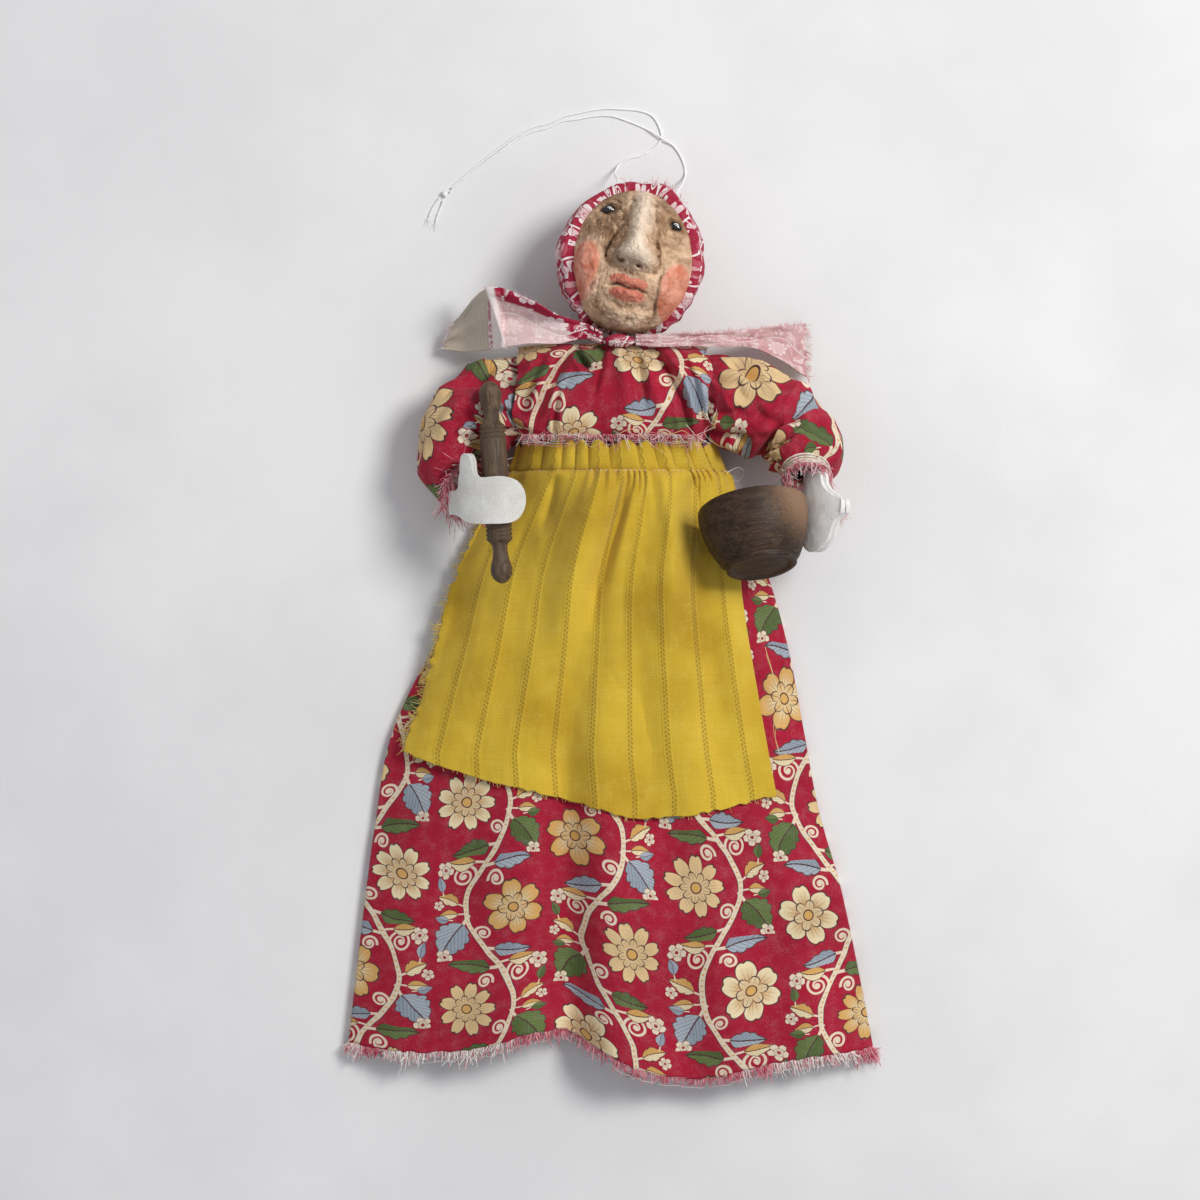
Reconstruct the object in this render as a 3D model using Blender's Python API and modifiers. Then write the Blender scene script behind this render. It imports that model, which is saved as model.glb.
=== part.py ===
"""An apple head doll, lying on its back as it was set down: a dried apple head with a carved face,
a kerchief, a dress over a stuffed body, wire arms in puffed sleeves, a rolling pin in one hand and
a bowl in the other.

The doll lies along Y with its head towards +Y and its face towards +Z. The origin is on the surface
that it lies on, under the middle of its length. Left and right are the doll's own, so its right arm
is at -X.
"""
import math

import bmesh
import bpy
from mathutils import Matrix, Vector

# Overall lengths along the doll, which set the hem, the waist, the neck and the crown
SKIRT_LENGTH = 0.178
BODICE_LENGTH = 0.0325
HEAD_RISE = 0.0435
HEM_Y = -(SKIRT_LENGTH + BODICE_LENGTH + HEAD_RISE) / 2
WAIST_Y = HEM_Y + SKIRT_LENGTH
NECK_Y = WAIST_Y + BODICE_LENGTH
CROWN_Y = NECK_Y + HEAD_RISE

# Clearances and cloth
SEAT_GAP = 0.0003
LOOSE_GAP = 0.0008
CUT_OVERRUN = 0.002
MERGE_LENGTH = 0.00002
CLOTH = 0.0009

# Head, leaning to the doll's left about the neck wire
HEAD_WIDTH = 0.038
HEAD_HEIGHT = 0.0406
HEAD_DEPTH = 0.034
HEAD_X = 0.0059
HEAD_LEAN = math.radians(12.5)
HEAD_HALF = Vector((HEAD_WIDTH, HEAD_HEIGHT, HEAD_DEPTH)) / 2
HEAD_SEGMENTS = 38
HEAD_RINGS = 28
EYE_DIAMETER = 0.0027
EYE_SHOWN_SHARE = 0.15
EYE_SHARES = ((-0.49, 0.62), (0.52, 0.60))

# Kerchief
HOOD_EASE = 0.0006
HOOD_THICKNESS = 0.0011
HOOD_SEGMENTS = 30
HOOD_RINGS = 9
HOOD_PLEAT_DEPTH = 0.0006
HOOD_PLEATS = 10
KNOT_WIDTH = 0.0088
KNOT_HEIGHT = 0.0036
KNOT_DEPTH = 0.0050
TAIL_REACH_RIGHT = 0.0435
TAIL_REACH_LEFT = 0.0500
TAIL_WIDTH = 0.0180
TAIL_HEIGHT = 0.0240

# Neck, body roll and wires
WIRE_DIAMETER = 0.0020
NECK_WIRE_DIAMETER = 0.0025
NECK_WIRE_SUNK = 0.0080
NECK_WIRE_IN_HEAD = 0.0150
NECK_Z = 0.0148
NECK_AXIS_DROP = 0.0018
CORE_WIDTH = 0.0310
CORE_DEPTH = 0.0156
CORE_LENGTH = 0.0575
CORE_TOP_DROP = 0.0040
CORE_Z = 0.0116
CORE_X = 0.0018
CORE_SIDES = 20

# Bodice and arms
SHOULDER_WIDTH = 0.0540
SHOULDER_X = 0.0006
SHOULDER_Z = 0.0116
ARMHOLE_HEIGHT = 0.0260
ARMHOLE_DEPTH = 0.0216
ARMHOLE_DROP = 0.0155
BODICE_DEPTH = 0.0250
BODICE_STATIONS = 17
BODICE_SIDES = 26
PLEAT_DEPTH = 0.0011
PLEAT_COUNT = 9
ELBOW_DIAMETER = 0.0210
SLEEVE_SIDES = 18
CUFF_WALL = 0.0012
CUFF_RECESS = 0.0045

# Right arm and the rolling pin in its hand
RIGHT_ELBOW_X = -0.0407
RIGHT_ELBOW_RISE = 0.0075
RIGHT_ELBOW_Z = 0.0125
RIGHT_ELBOW = Vector((RIGHT_ELBOW_X, WAIST_Y + RIGHT_ELBOW_RISE, RIGHT_ELBOW_Z))
RIGHT_CUFF_DROP = 0.0170
RIGHT_CUFF_LIFT = 0.0050
RIGHT_CUFF = RIGHT_ELBOW + Vector((0.0, -RIGHT_CUFF_DROP, RIGHT_CUFF_LIFT))
RIGHT_CUFF_DIAMETER = 0.0152
RIGHT_SLEEVE_DIAMETER = 0.0184
RIGHT_CUFF_WAY_SHARES = (0.62, -0.36, 0.70)
RIGHT_CUFF_NORMAL = Vector(RIGHT_CUFF_WAY_SHARES).normalized()
PIN_LENGTH = 0.0572
PIN_DIAMETER = 0.0074
PIN_KNOB_DIAMETER = 0.0065
PIN_NECK_DIAMETER = 0.0041
PIN_GROOVE_DEPTH = 0.0004
PIN_GROOVE_PITCH = 0.0012
PIN_GROOVES = 3
PIN_X = -0.0323
PIN_DROP = 0.0085
PIN_Y = WAIST_Y - PIN_DROP
PIN_Z = 0.0274
PIN_LEAN = math.radians(3.7)
PIN_SEGMENTS = 18

# Left arm and the bowl in its hand
LEFT_ELBOW_X = 0.0500
LEFT_ELBOW_RISE = 0.0068
LEFT_ELBOW_Z = 0.0122
LEFT_ELBOW = Vector((LEFT_ELBOW_X, WAIST_Y + LEFT_ELBOW_RISE, LEFT_ELBOW_Z))
LEFT_CUFF_REACH = 0.0054
LEFT_CUFF_DROP = 0.0140
LEFT_CUFF_LIFT = 0.0108
LEFT_CUFF = LEFT_ELBOW + Vector((LEFT_CUFF_REACH, -LEFT_CUFF_DROP, LEFT_CUFF_LIFT))
LEFT_CUFF_DIAMETER = 0.0130
LEFT_SLEEVE_DIAMETER = 0.0184
LEFT_CUFF_WAY_SHARES = (0.10, -0.80, 0.60)
LEFT_CUFF_NORMAL = Vector(LEFT_CUFF_WAY_SHARES).normalized()
BOWL_DIAMETER = 0.0310
BOWL_HEIGHT = 0.0189
BOWL_WALL = 0.0019
BOWL_FLOOR = 0.0034
BOWL_FOOT_DIAMETER = 0.0201
BOWL_FOOT_HEIGHT = 0.0016
BOWL_FOOT_STEP = 0.0006
BOWL_FOOT_RECESS = 0.0006
BOWL_AXIS_SHARES = (-0.150, 0.928, -0.342)
BOWL_AXIS = Vector(BOWL_AXIS_SHARES).normalized()
BOWL_X = 0.0411
BOWL_DROP = 0.0238
BOWL_Z = 0.0294
BOWL_CENTRE = Vector((BOWL_X, WAIST_Y - BOWL_DROP, BOWL_Z))
BOWL_SEGMENTS = 28

# Hands, of two glued layers
HAND_LAYER = 0.0013
GLUE_GAP = 0.0003
PALM_LENGTH = 0.0150
PALM_WIDTH = 0.0130
HAND_BEND_RADIUS = 0.0110
RIGHT_WIRE_TURN = math.radians(-60.0)
RIGHT_WIRE_DROP = 0.0050
LEFT_HAND_LENGTH = 0.0210
LEFT_HAND_WIDTH = 0.0135
LEFT_HAND_TILT = math.radians(-20.0)
LEFT_WIRE_STOP = 0.0034
HAND_SLICES = 9

# Skirt, apron and thread
HEM_WIDTH = 0.1512
SKIRT_WALL = 0.0010
SKIRT_RISE = 0.0220
SKIRT_HEM_RISE = 0.0125
SKIRT_SIDE_RISE = 0.0032
WAIST_LIFT = 0.0020
SKIRT_STATIONS = 13
SKIRT_ACROSS = 31
FOLD_HEIGHT = 0.0045
HEM_DIP = 0.0150
APRON_LENGTH = 0.1025
APRON_WIDTH = 0.1062
APRON_ROWS = 15
APRON_COLUMNS = 19
APRON_FOLD = 0.0030
APRON_TOP_DROP = 0.0008
APRON_DRAPE_SHARE = 0.94
BODICE_HEM_GAP = 0.0006
GATHER_DROP = 0.0046
GATHER_THREAD_DIAMETER = 0.0008
GATHER_POINTS = 20
WRIST_THREAD_DIAMETER = 0.0007
WRIST_THREAD_TURNS = 2.5
WRIST_THREAD_POINTS = 32

# Hanging thread
THREAD_DIAMETER = 0.0006
THREAD_KNOT_DIAMETER = 0.0022
THREAD_POINTS = 32
THREAD_END_POINTS = 5

# Routes of the two strands, from the crown to the knot, as points on their middle line
STRAND_A_ROUTE = (
    (0.0021, 0.1272, 0.0170), (0.0019, 0.1290, 0.0105), (0.0013, 0.1311, 0.0038),
    (0.0027, 0.1337, 0.0006),
    (0.0055, 0.1354, 0.0004), (0.0086, 0.1362, 0.0004), (0.0123, 0.1382, 0.0004),
    (0.0146, 0.1413, 0.0004), (0.0134, 0.1456, 0.0004), (0.0115, 0.1478, 0.0004),
    (0.0081, 0.1490, 0.0004), (0.0038, 0.1494, 0.0004), (-0.0010, 0.1496, 0.0004),
    (-0.0055, 0.1491, 0.0004), (-0.0092, 0.1483, 0.0004), (-0.0132, 0.1474, 0.0004),
    (-0.0175, 0.1455, 0.0004), (-0.0217, 0.1444, 0.0004), (-0.0261, 0.1424, 0.0004),
    (-0.0306, 0.1390, 0.0004), (-0.0349, 0.1358, 0.0004), (-0.0392, 0.1322, 0.0004),
    (-0.0436, 0.1283, 0.0004), (-0.0455, 0.1267, 0.0008),
)
STRAND_B_ROUTE = (
    (0.0183, 0.1240, 0.0170), (0.0193, 0.1256, 0.0110), (0.0206, 0.1281, 0.0046),
    (0.0214, 0.1308, 0.0006),
    (0.0207, 0.1346, 0.0004), (0.0182, 0.1388, 0.0006), (0.0158, 0.1404, 0.0012),
    (0.0128, 0.1423, 0.0011), (0.0098, 0.1440, 0.0004), (0.0050, 0.1460, 0.0004),
    (0.0002, 0.1475, 0.0004), (-0.0050, 0.1474, 0.0004), (-0.0092, 0.1466, 0.0004),
    (-0.0137, 0.1460, 0.0004), (-0.0180, 0.1441, 0.0004), (-0.0221, 0.1431, 0.0004),
    (-0.0266, 0.1410, 0.0004), (-0.0311, 0.1377, 0.0004), (-0.0354, 0.1345, 0.0004),
    (-0.0398, 0.1309, 0.0004), (-0.0442, 0.1270, 0.0004), (-0.0459, 0.1255, 0.0008),
)
THREAD_KNOT_PLACE = (-0.0472, 0.1252, 0.0011)
END_A_ROUTE = (
    (-0.0485, 0.1243, 0.0008), (-0.0501, 0.1222, 0.0004), (-0.0512, 0.1200, 0.0004),
    (-0.0519, 0.1184, 0.0004),
)
END_B_ROUTE = (
    (-0.0475, 0.1236, 0.0008), (-0.0484, 0.1213, 0.0004), (-0.0493, 0.1190, 0.0004),
    (-0.0499, 0.1170, 0.0004),
)

# Places on the carved face: across and up as shares of the head's half width and half height, the
# spread of each form in the same shares, and how far it stands out or sinks as a share of the
# head's half depth
FACE_SHARES = (
    (-0.02, 0.82, 0.13, 0.20, 0.08), (0.00, 0.50, 0.12, 0.24, 0.17), (0.02, 0.20, 0.14, 0.17, 0.19),
    (0.03, 0.02, 0.16, 0.11, 0.24), (-0.15, -0.03, 0.09, 0.08, 0.14), (0.20, -0.04, 0.09, 0.08, 0.14),
    (-0.49, 0.60, 0.20, 0.14, -0.17), (0.52, 0.58, 0.20, 0.14, -0.17), (-0.44, 0.83, 0.28, 0.09, 0.08),
    (0.46, 0.80, 0.28, 0.09, 0.08), (-0.62, -0.26, 0.27, 0.36, 0.13), (0.64, -0.32, 0.27, 0.36, 0.13),
    (-0.30, -0.06, 0.07, 0.20, -0.10), (0.36, -0.08, 0.07, 0.20, -0.10), (-0.37, -0.36, 0.07, 0.20, -0.09),
    (0.43, -0.42, 0.07, 0.20, -0.09), (0.03, -0.36, 0.32, 0.24, 0.11), (0.03, -0.34, 0.23, 0.06, 0.09),
    (0.04, -0.50, 0.20, 0.07, 0.11), (0.03, -0.42, 0.30, 0.03, -0.06), (0.06, -0.64, 0.26, 0.06, -0.09),
    (0.08, -0.82, 0.30, 0.16, 0.16),
)

# Where the kerchief's edge lies round the face: the angle round it as a share of a turn, and how
# far the cloth comes from the back of the head as a share of half a turn
HOOD_EDGE_SHARES = (
    (0.0, 0.640), (0.125, 0.620), (0.25, 0.600), (0.375, 0.655), (0.5, 0.705), (0.625, 0.640),
    (0.75, 0.370), (0.875, 0.560), (1.0, 0.640),
)

# Skirt sides from waist to hem, as shares of its length and of half its hem width
SKIRT_RIGHT_SHARES = (
    (0.0, 0.345), (0.10, 0.440), (0.19, 0.535), (0.266, 0.620), (0.449, 0.825), (0.60, 0.890),
    (0.71, 0.925), (1.0, 1.005),
)
SKIRT_LEFT_SHARES = (
    (0.0, 0.375), (0.10, 0.500), (0.20, 0.598), (0.313, 0.672), (0.441, 0.729), (0.568, 0.785),
    (0.71, 0.878), (1.0, 1.015),
)
# How full the section is, along the length
SKIRT_FULLNESS_SHARES = (
    (0.0, 0.62), (0.08, 0.84), (0.18, 1.00), (0.40, 1.05), (0.70, 0.80), (1.0, 0.70),
)
SKIRT_RISE_SHARES = (
    (0.0, 1.0), (0.16, 0.93), (0.30, 0.75), (0.55, 0.50), (0.80, 0.20), (1.0, 0.0),
)
# How far the hem draws up from its lowest point, across the width
HEM_DIP_SHARES = (
    (-1.0, 0.69), (-0.79, 0.54), (-0.52, 0.59), (-0.19, 0.97), (-0.04, 0.59), (0.11, 0.21),
    (0.34, 0.03), (0.60, 0.31), (1.0, 0.59),
)
# Folds that fan out from the waist: place across the width, spread and height
SKIRT_FOLD_SHARES = (
    (-0.80, 0.12, 0.35), (-0.36, 0.16, 0.55), (-0.16, 0.085, -0.95), (0.05, 0.13, 0.75),
    (0.30, 0.10, -0.25), (0.50, 0.14, 0.35), (0.78, 0.10, 0.35),
)

# Apron sides and hem
APRON_RIGHT_SHARES = (
    (0.0, -0.500), (0.20, -0.715), (0.33, -0.828), (0.50, -0.918), (0.82, -1.105),
)
APRON_LEFT_SHARES = ((0.0, 0.560), (0.07, 0.660), (0.38, 0.700), (0.68, 0.795), (0.94, 0.888))
APRON_HEM_SHARES = (
    (0.0, 0.822), (0.20, 0.890), (0.42, 0.945), (0.62, 0.999), (0.78, 0.990), (1.0, 0.940),
)
APRON_FOLD_SHARES = (
    (0.10, 0.10, 0.45), (0.40, 0.12, 0.35), (0.56, 0.06, -0.35), (0.74, 0.12, 1.0),
    (0.90, 0.06, -0.30),
)

# Tail sections: reach, middle across the doll's length, half width, height above the surface
TAIL_RIGHT_SHARES = (
    (0.00, -0.02, 0.09, 1.00), (0.12, 0.10, 0.12, 0.96), (0.28, 0.08, 0.16, 0.97), (0.47, 0.20, 0.28, 1.02),
    (0.64, 0.30, 0.46, 0.92), (0.74, 0.30, 0.49, 0.66), (0.86, 0.22, 0.42, 0.38), (1.00, 0.06, 0.22, 0.24),
)
TAIL_LEFT_SHARES = (
    (0.00, -0.04, 0.08, 1.02), (0.15, -0.05, 0.10, 1.02), (0.36, -0.03, 0.10, 0.90),
    (0.50, -0.02, 0.12, 0.74), (0.66, 0.00, 0.14, 0.50), (0.83, -0.06, 0.27, 0.30),
    (0.97, -0.17, 0.42, 0.19),
)
TAIL_ACROSS_SHARES = (-1.0, -0.5, 0.0, 0.5, 1.0)

# Outline of the right hand from the wrist round the palm and up over the thumb: along the
# fingers, then across them
RIGHT_HAND_SHARES = (
    (-0.42, -0.30), (-0.14, -0.34), (0.02, -0.46), (0.14, -0.50), (0.70, -0.50), (0.90, -0.36),
    (1.00, -0.06), (0.97, 0.22), (0.84, 0.44), (0.66, 0.51), (0.28, 0.50), (0.22, 0.60),
    (0.20, 0.98), (0.13, 1.12), (0.00, 1.14), (-0.07, 1.04), (-0.08, 0.50), (-0.16, 0.22),
    (-0.42, 0.18),
)
# Outline of the left hand from the wrist round the fingers, with the thumb on the upper side
LEFT_HAND_SHARES = (
    (-0.08, -0.24), (0.14, -0.34), (0.30, -0.48), (0.62, -0.50), (0.86, -0.36), (0.99, -0.08),
    (0.97, 0.16), (0.84, 0.38), (0.62, 0.48), (0.55, 0.55), (0.48, 0.80), (0.38, 0.86),
    (0.28, 0.80), (0.24, 0.52), (0.10, 0.28), (-0.08, 0.20),
)

# Sections of the stuffed body roll: along it from the neck, and how full it is
CORE_SHARES = (
    (0.0, 0.32), (0.03, 0.46), (0.14, 0.74), (0.34, 0.93), (0.60, 1.0), (0.86, 0.96), (0.96, 0.76),
    (1.0, 0.46),
)
# Places of the rings along the upper sleeve, turns of its round end, places along the lower sleeve
UPPER_SLEEVE_SHARES = (0.0, 0.10, 0.25, 0.45, 0.68, 0.90)
ELBOW_TURN_SHARES = (0.0, 0.19, 0.38, 0.57, 0.76, 0.90)
LOWER_SLEEVE_SHARES = (0.0, 0.14, 0.30, 0.46, 0.62, 0.78, 0.90, 1.0)
FOREARM_TURN_SHARE = 0.71
UPPER_ARM_TURN_SHARE = 0.40
SLEEVE_MIDDLE_SHARE = 0.45
WRIST_THREAD_SHARES = (0.96, 0.74)

# Profiles: along the turned piece as a share of its length, and share of the radius there
PIN_KNOB_SHARES = (
    (0.0, 0.0), (0.010, 0.45), (0.028, 0.78), (0.052, 0.97), (0.075, 1.0), (0.105, 0.93),
    (0.135, 0.76),
)
PIN_LOWER_NECK_SHARES = ((0.165, 1.0), (0.190, 1.05))
PIN_UPPER_NECK_SHARES = ((0.805, 1.0), (0.840, 1.05))
PIN_SHOULDER_SHARES = ((0.212, 0.90), (0.790, 0.72))
PIN_GROOVE_START_SHARES = (0.222, 0.710)
BOWL_SIDE_SHARES = (
    (0.00, 0.700), (0.16, 0.790), (0.36, 0.895), (0.58, 0.965), (0.80, 1.000), (1.00, 0.992),
)
BOWL_OUTSIDE_SHARES = (0.08, 0.20, 0.34, 0.48, 0.62, 0.76, 0.90, 1.0)
BOWL_INSIDE_SHARES = (1.0, 0.85, 0.65, 0.45, 0.25, 0.10, 0.0)

COLOURS = {
    "apple": ((0.55, 0.36, 0.22), 0.62, 0.0),
    "bead": ((0.01, 0.01, 0.01), 0.12, 0.0),
    "kerchief": ((0.55, 0.03, 0.08), 0.85, 0.0),
    "dress": ((0.42, 0.01, 0.05), 0.85, 0.0),
    "apron": ((0.62, 0.42, 0.04), 0.90, 0.0),
    "hand": ((0.80, 0.78, 0.70), 0.80, 0.0),
    "wood": ((0.14, 0.09, 0.06), 0.60, 0.0),
    "wire": ((0.50, 0.48, 0.45), 0.40, 1.0),
    "stuffing": ((0.70, 0.66, 0.58), 0.95, 0.0),
    "thread": ((0.85, 0.83, 0.80), 0.80, 0.0),
}


def clear_scene():
    """Remove what the file opened with."""
    for item in list(bpy.data.objects):
        bpy.data.objects.remove(item, do_unlink=True)


def new_collection(name):
    """A collection in the scene."""
    made = bpy.data.collections.new(name)
    bpy.context.scene.collection.children.link(made)
    return made


def finish(name):
    """The plain material of one finish."""
    made = bpy.data.materials.get(name)
    if made is None:
        colour, roughness, metallic = COLOURS[name]
        made = bpy.data.materials.new(name)
        made.use_nodes = True
        shader = made.node_tree.nodes["Principled BSDF"]
        shader.inputs["Base Color"].default_value = (*colour, 1.0)
        shader.inputs["Roughness"].default_value = roughness
        shader.inputs["Metallic"].default_value = metallic
    return made


def smooth_value(table, place):
    """The value at a place along a table of (place, value) pairs, on a smooth curve through them."""
    if place <= table[0][0]:
        return table[0][1]
    if place >= table[-1][0]:
        return table[-1][1]
    index = max(i for i, entry in enumerate(table[:-1]) if entry[0] <= place)
    (x0, y0), (x1, y1) = table[index], table[index + 1]

    def slope(i):
        before, after = table[max(i - 1, 0)], table[min(i + 1, len(table) - 1)]
        return (after[1] - before[1]) / (after[0] - before[0])

    span = x1 - x0
    u = (place - x0) / span
    return (
        (2 * u**3 - 3 * u**2 + 1) * y0 + (u**3 - 2 * u**2 + u) * span * slope(index)
        + (3 * u**2 - 2 * u**3) * y1 + (u**3 - u**2) * span * slope(index + 1)
    )


def section_value(table, place):
    """All the values of a table's section at a place from 0 to 1 along its rows."""
    rows = len(table) - 1
    width = len(table[0])
    columns = [[(i / rows, row[k]) for i, row in enumerate(table)] for k in range(width)]
    return [smooth_value(column, place) for column in columns]


def bump(distance, spread):
    """A smooth hill that is 1 in the middle and falls away over the spread."""
    return math.exp(-((distance / spread) ** 2))


def spread_evenly(first, last, count):
    """Evenly spaced values, ends included."""
    return [first + (last - first) * i / (count - 1) for i in range(count)]


def add_object(name, bm, colour, home, smooth=True):
    """An object from a bmesh, at the world's origin."""
    mesh = bpy.data.meshes.new(name)
    bm.to_mesh(mesh)
    bm.free()
    made = bpy.data.objects.new(name, mesh)
    home.objects.link(made)
    mesh.materials.append(finish(colour))
    if smooth:
        mesh.shade_smooth()
    return made


def loft(name, rings, colour, home):
    """A closed body through rings of points, with both ends filled."""
    bm = bmesh.new()
    rows = [[bm.verts.new(point) for point in ring] for ring in rings]
    count = len(rows[0])
    for lower, upper in zip(rows, rows[1:]):
        for i in range(count):
            j = (i + 1) % count
            bm.faces.new((lower[i], lower[j], upper[j], upper[i]))
    caps = [bm.faces.new(list(reversed(rows[0]))), bm.faces.new(rows[-1])]
    bmesh.ops.poke(bm, faces=caps)
    bmesh.ops.recalc_face_normals(bm, faces=bm.faces)
    return add_object(name, bm, colour, home)


def sheet(name, rows, colour, home, thickness, closed=False, offset=1.0):
    """Cloth through rows of points, thickened away from its face."""
    bm = bmesh.new()
    grid = [[bm.verts.new(point) for point in row] for row in rows]
    across = len(grid[0])
    for lower, upper in zip(grid, grid[1:]):
        for i in range(across if closed else across - 1):
            j = (i + 1) % across
            bm.faces.new((lower[i], lower[j], upper[j], upper[i]))
    made = add_object(name, bm, colour, home)
    solid = made.modifiers.new("Cloth", "SOLIDIFY")
    solid.thickness = thickness
    solid.offset = offset
    solid.use_even_offset = False
    return made


def ring_points(centre, normal, across, deep, count):
    """Points on an oval about a centre, square to a normal, from its half width and half depth."""
    side = Vector((0.0, 0.0, 1.0)).cross(normal).normalized()
    top = normal.cross(side).normalized()
    turns = [2 * math.pi * i / count for i in range(count)]
    return [centre + side * across * math.cos(a) + top * deep * math.sin(a) for a in turns]


def rod(name, start, end, diameter, colour, home, segments=12):
    """A round bar between two points."""
    along = end - start
    bm = bmesh.new()
    place = Matrix.Translation((start + end) / 2) @ along.to_track_quat("Z", "Y").to_matrix().to_4x4()
    bmesh.ops.create_cone(
        bm, cap_ends=True, segments=segments, radius1=diameter / 2, radius2=diameter / 2,
        depth=along.length, matrix=place,
    )
    return add_object(name, bm, colour, home)


def ball(name, centre, size, colour, home, segments=16, rings=10):
    """An ellipsoid of the given size about a centre."""
    bm = bmesh.new()
    stretch = Matrix.Diagonal((*(size / 2), 1.0))
    bmesh.ops.create_uvsphere(
        bm, u_segments=segments, v_segments=rings, radius=1.0, matrix=Matrix.Translation(centre) @ stretch
    )
    return add_object(name, bm, colour, home)


def tube(name, points, diameter, colour, home, closed=False):
    """A thread or wire: a curve with a round bevel."""
    curve = bpy.data.curves.new(name, "CURVE")
    curve.dimensions = "3D"
    curve.bevel_depth = diameter / 2
    curve.bevel_resolution = 2
    curve.use_fill_caps = not closed
    spline = curve.splines.new("POLY")
    spline.points.add(len(points) - 1)
    for knot, point in zip(spline.points, points):
        knot.co = (*point, 1.0)
    spline.use_cyclic_u = closed
    curve.materials.append(finish(colour))
    made = bpy.data.objects.new(name, curve)
    home.objects.link(made)
    return made


def through(route, count):
    """Evenly spaced points on a smooth curve through a route's own points."""
    points = [Vector(point) for point in route]
    lengths = [0.0]
    for before, after in zip(points, points[1:]):
        lengths.append(lengths[-1] + (after - before).length)
    tables = [[(s, point[k]) for s, point in zip(lengths, points)] for k in range(3)]
    stops = spread_evenly(0.0, lengths[-1], count)
    return [Vector([smooth_value(table, s) for table in tables]) for s in stops]


def cut(target, cutter):
    """Take a cutter's shape out of a piece."""
    cutter.hide_render = True
    cutter.display_type = "WIRE"
    hole = target.modifiers.new("Cut", "BOOLEAN")
    hole.operation = "DIFFERENCE"
    hole.solver = "EXACT"
    hole.object = cutter


def hang_on(empty, *pieces):
    """Parent pieces to the empty on their joint's axis, where they are."""
    for piece in pieces:
        piece.parent = empty
        piece.matrix_parent_inverse = empty.matrix_world.inverted()


def joint_empty(name, place, home, parent=None):
    """An empty on a joint's axis."""
    made = bpy.data.objects.new(name, None)
    made.location = place
    home.objects.link(made)
    bpy.context.view_layer.update()
    if parent is not None:
        hang_on(parent, made)
        bpy.context.view_layer.update()
    return made


# The head's own frame: X across the face, Y up it and Z out of it
HOOD_OUTSIDE = HOOD_EASE + HOOD_THICKNESS
HEAD_CENTRE = Vector((
    HEAD_X, CROWN_Y - HEAD_HALF.y - HOOD_OUTSIDE, HEAD_HALF.z + HOOD_OUTSIDE + SEAT_GAP,
))
HEAD_FRAME = Matrix.Translation(HEAD_CENTRE) @ Matrix.Rotation(-HEAD_LEAN, 4, "Z")
HEAD_UP = Vector((math.sin(HEAD_LEAN), math.cos(HEAD_LEAN), 0.0))
NECK_TOP = HEAD_CENTRE - HEAD_UP * HEAD_HALF.y - Vector((0.0, 0.0, NECK_AXIS_DROP))
KNOT_PLACE = Vector((NECK_TOP.x + KNOT_HEIGHT / 4, NECK_Y - KNOT_HEIGHT / 4, TAIL_HEIGHT))


def face_rise(across, up):
    """How far the carving stands out at a place given in shares of the head's half sizes."""
    rise = sum(h * bump(across - x, w) * bump(up - y, t) for x, y, w, t, h in FACE_SHARES)
    return rise * HEAD_HALF.z


def shown_share(direction):
    """How much of the carving there is at a direction: all on the face, none under the kerchief."""
    turn = (math.atan2(direction.y, direction.x) / (2 * math.pi)) % 1.0
    edge = math.pi * (1.0 - smooth_value(HOOD_EDGE_SHARES, turn))
    polar = math.acos(max(-1.0, min(1.0, direction.z)))
    bare = min(1.0, max(0.0, (0.95 - polar / edge) / 0.30))
    return bare * bare * (3.0 - 2.0 * bare) * min(1.0, max(0.0, 2.5 * direction.z))


def on_ball(polar, turn):
    """The unit direction at a polar angle from Z and a turn about it."""
    return Vector((
        math.sin(polar) * math.cos(turn), math.sin(polar) * math.sin(turn), math.cos(polar),
    ))


def head_point(direction):
    """A point on the carved head, in its own frame, from a unit direction."""
    point = Vector([direction[k] * HEAD_HALF[k] for k in range(3)])
    point.z += face_rise(direction.x, direction.y) * shown_share(direction)
    return point


def front_crowded(polar):
    """Move a polar angle from the face's middle so that rings crowd on the face."""
    share = polar / math.pi
    return math.pi * (0.62 * share + 0.38 * share**2.2)


def build_head(home):
    """The dried apple, a ball pressed into a face. Its sockets and its bore are cut later."""
    bm = bmesh.new()
    bmesh.ops.create_uvsphere(bm, u_segments=HEAD_SEGMENTS, v_segments=HEAD_RINGS, radius=1.0)
    for vert in bm.verts:
        polar = front_crowded(math.acos(max(-1.0, min(1.0, vert.co.z))))
        turn = math.atan2(vert.co.y, vert.co.x)
        vert.co = HEAD_FRAME @ head_point(on_ball(polar, turn))
    return add_object("apple_head", bm, "apple", home)


def eye_centres():
    """Where the two beads sit, half sunk in their sockets."""
    places = []
    for across, up in EYE_SHARES:
        depth = math.sqrt(1.0 - across**2 - up**2)
        point = head_point(Vector((across, up, depth)))
        point.z += EYE_DIAMETER * (EYE_SHOWN_SHARE - 0.5) + EYE_DIAMETER / 4
        places.append(HEAD_FRAME @ point)
    return places


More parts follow.
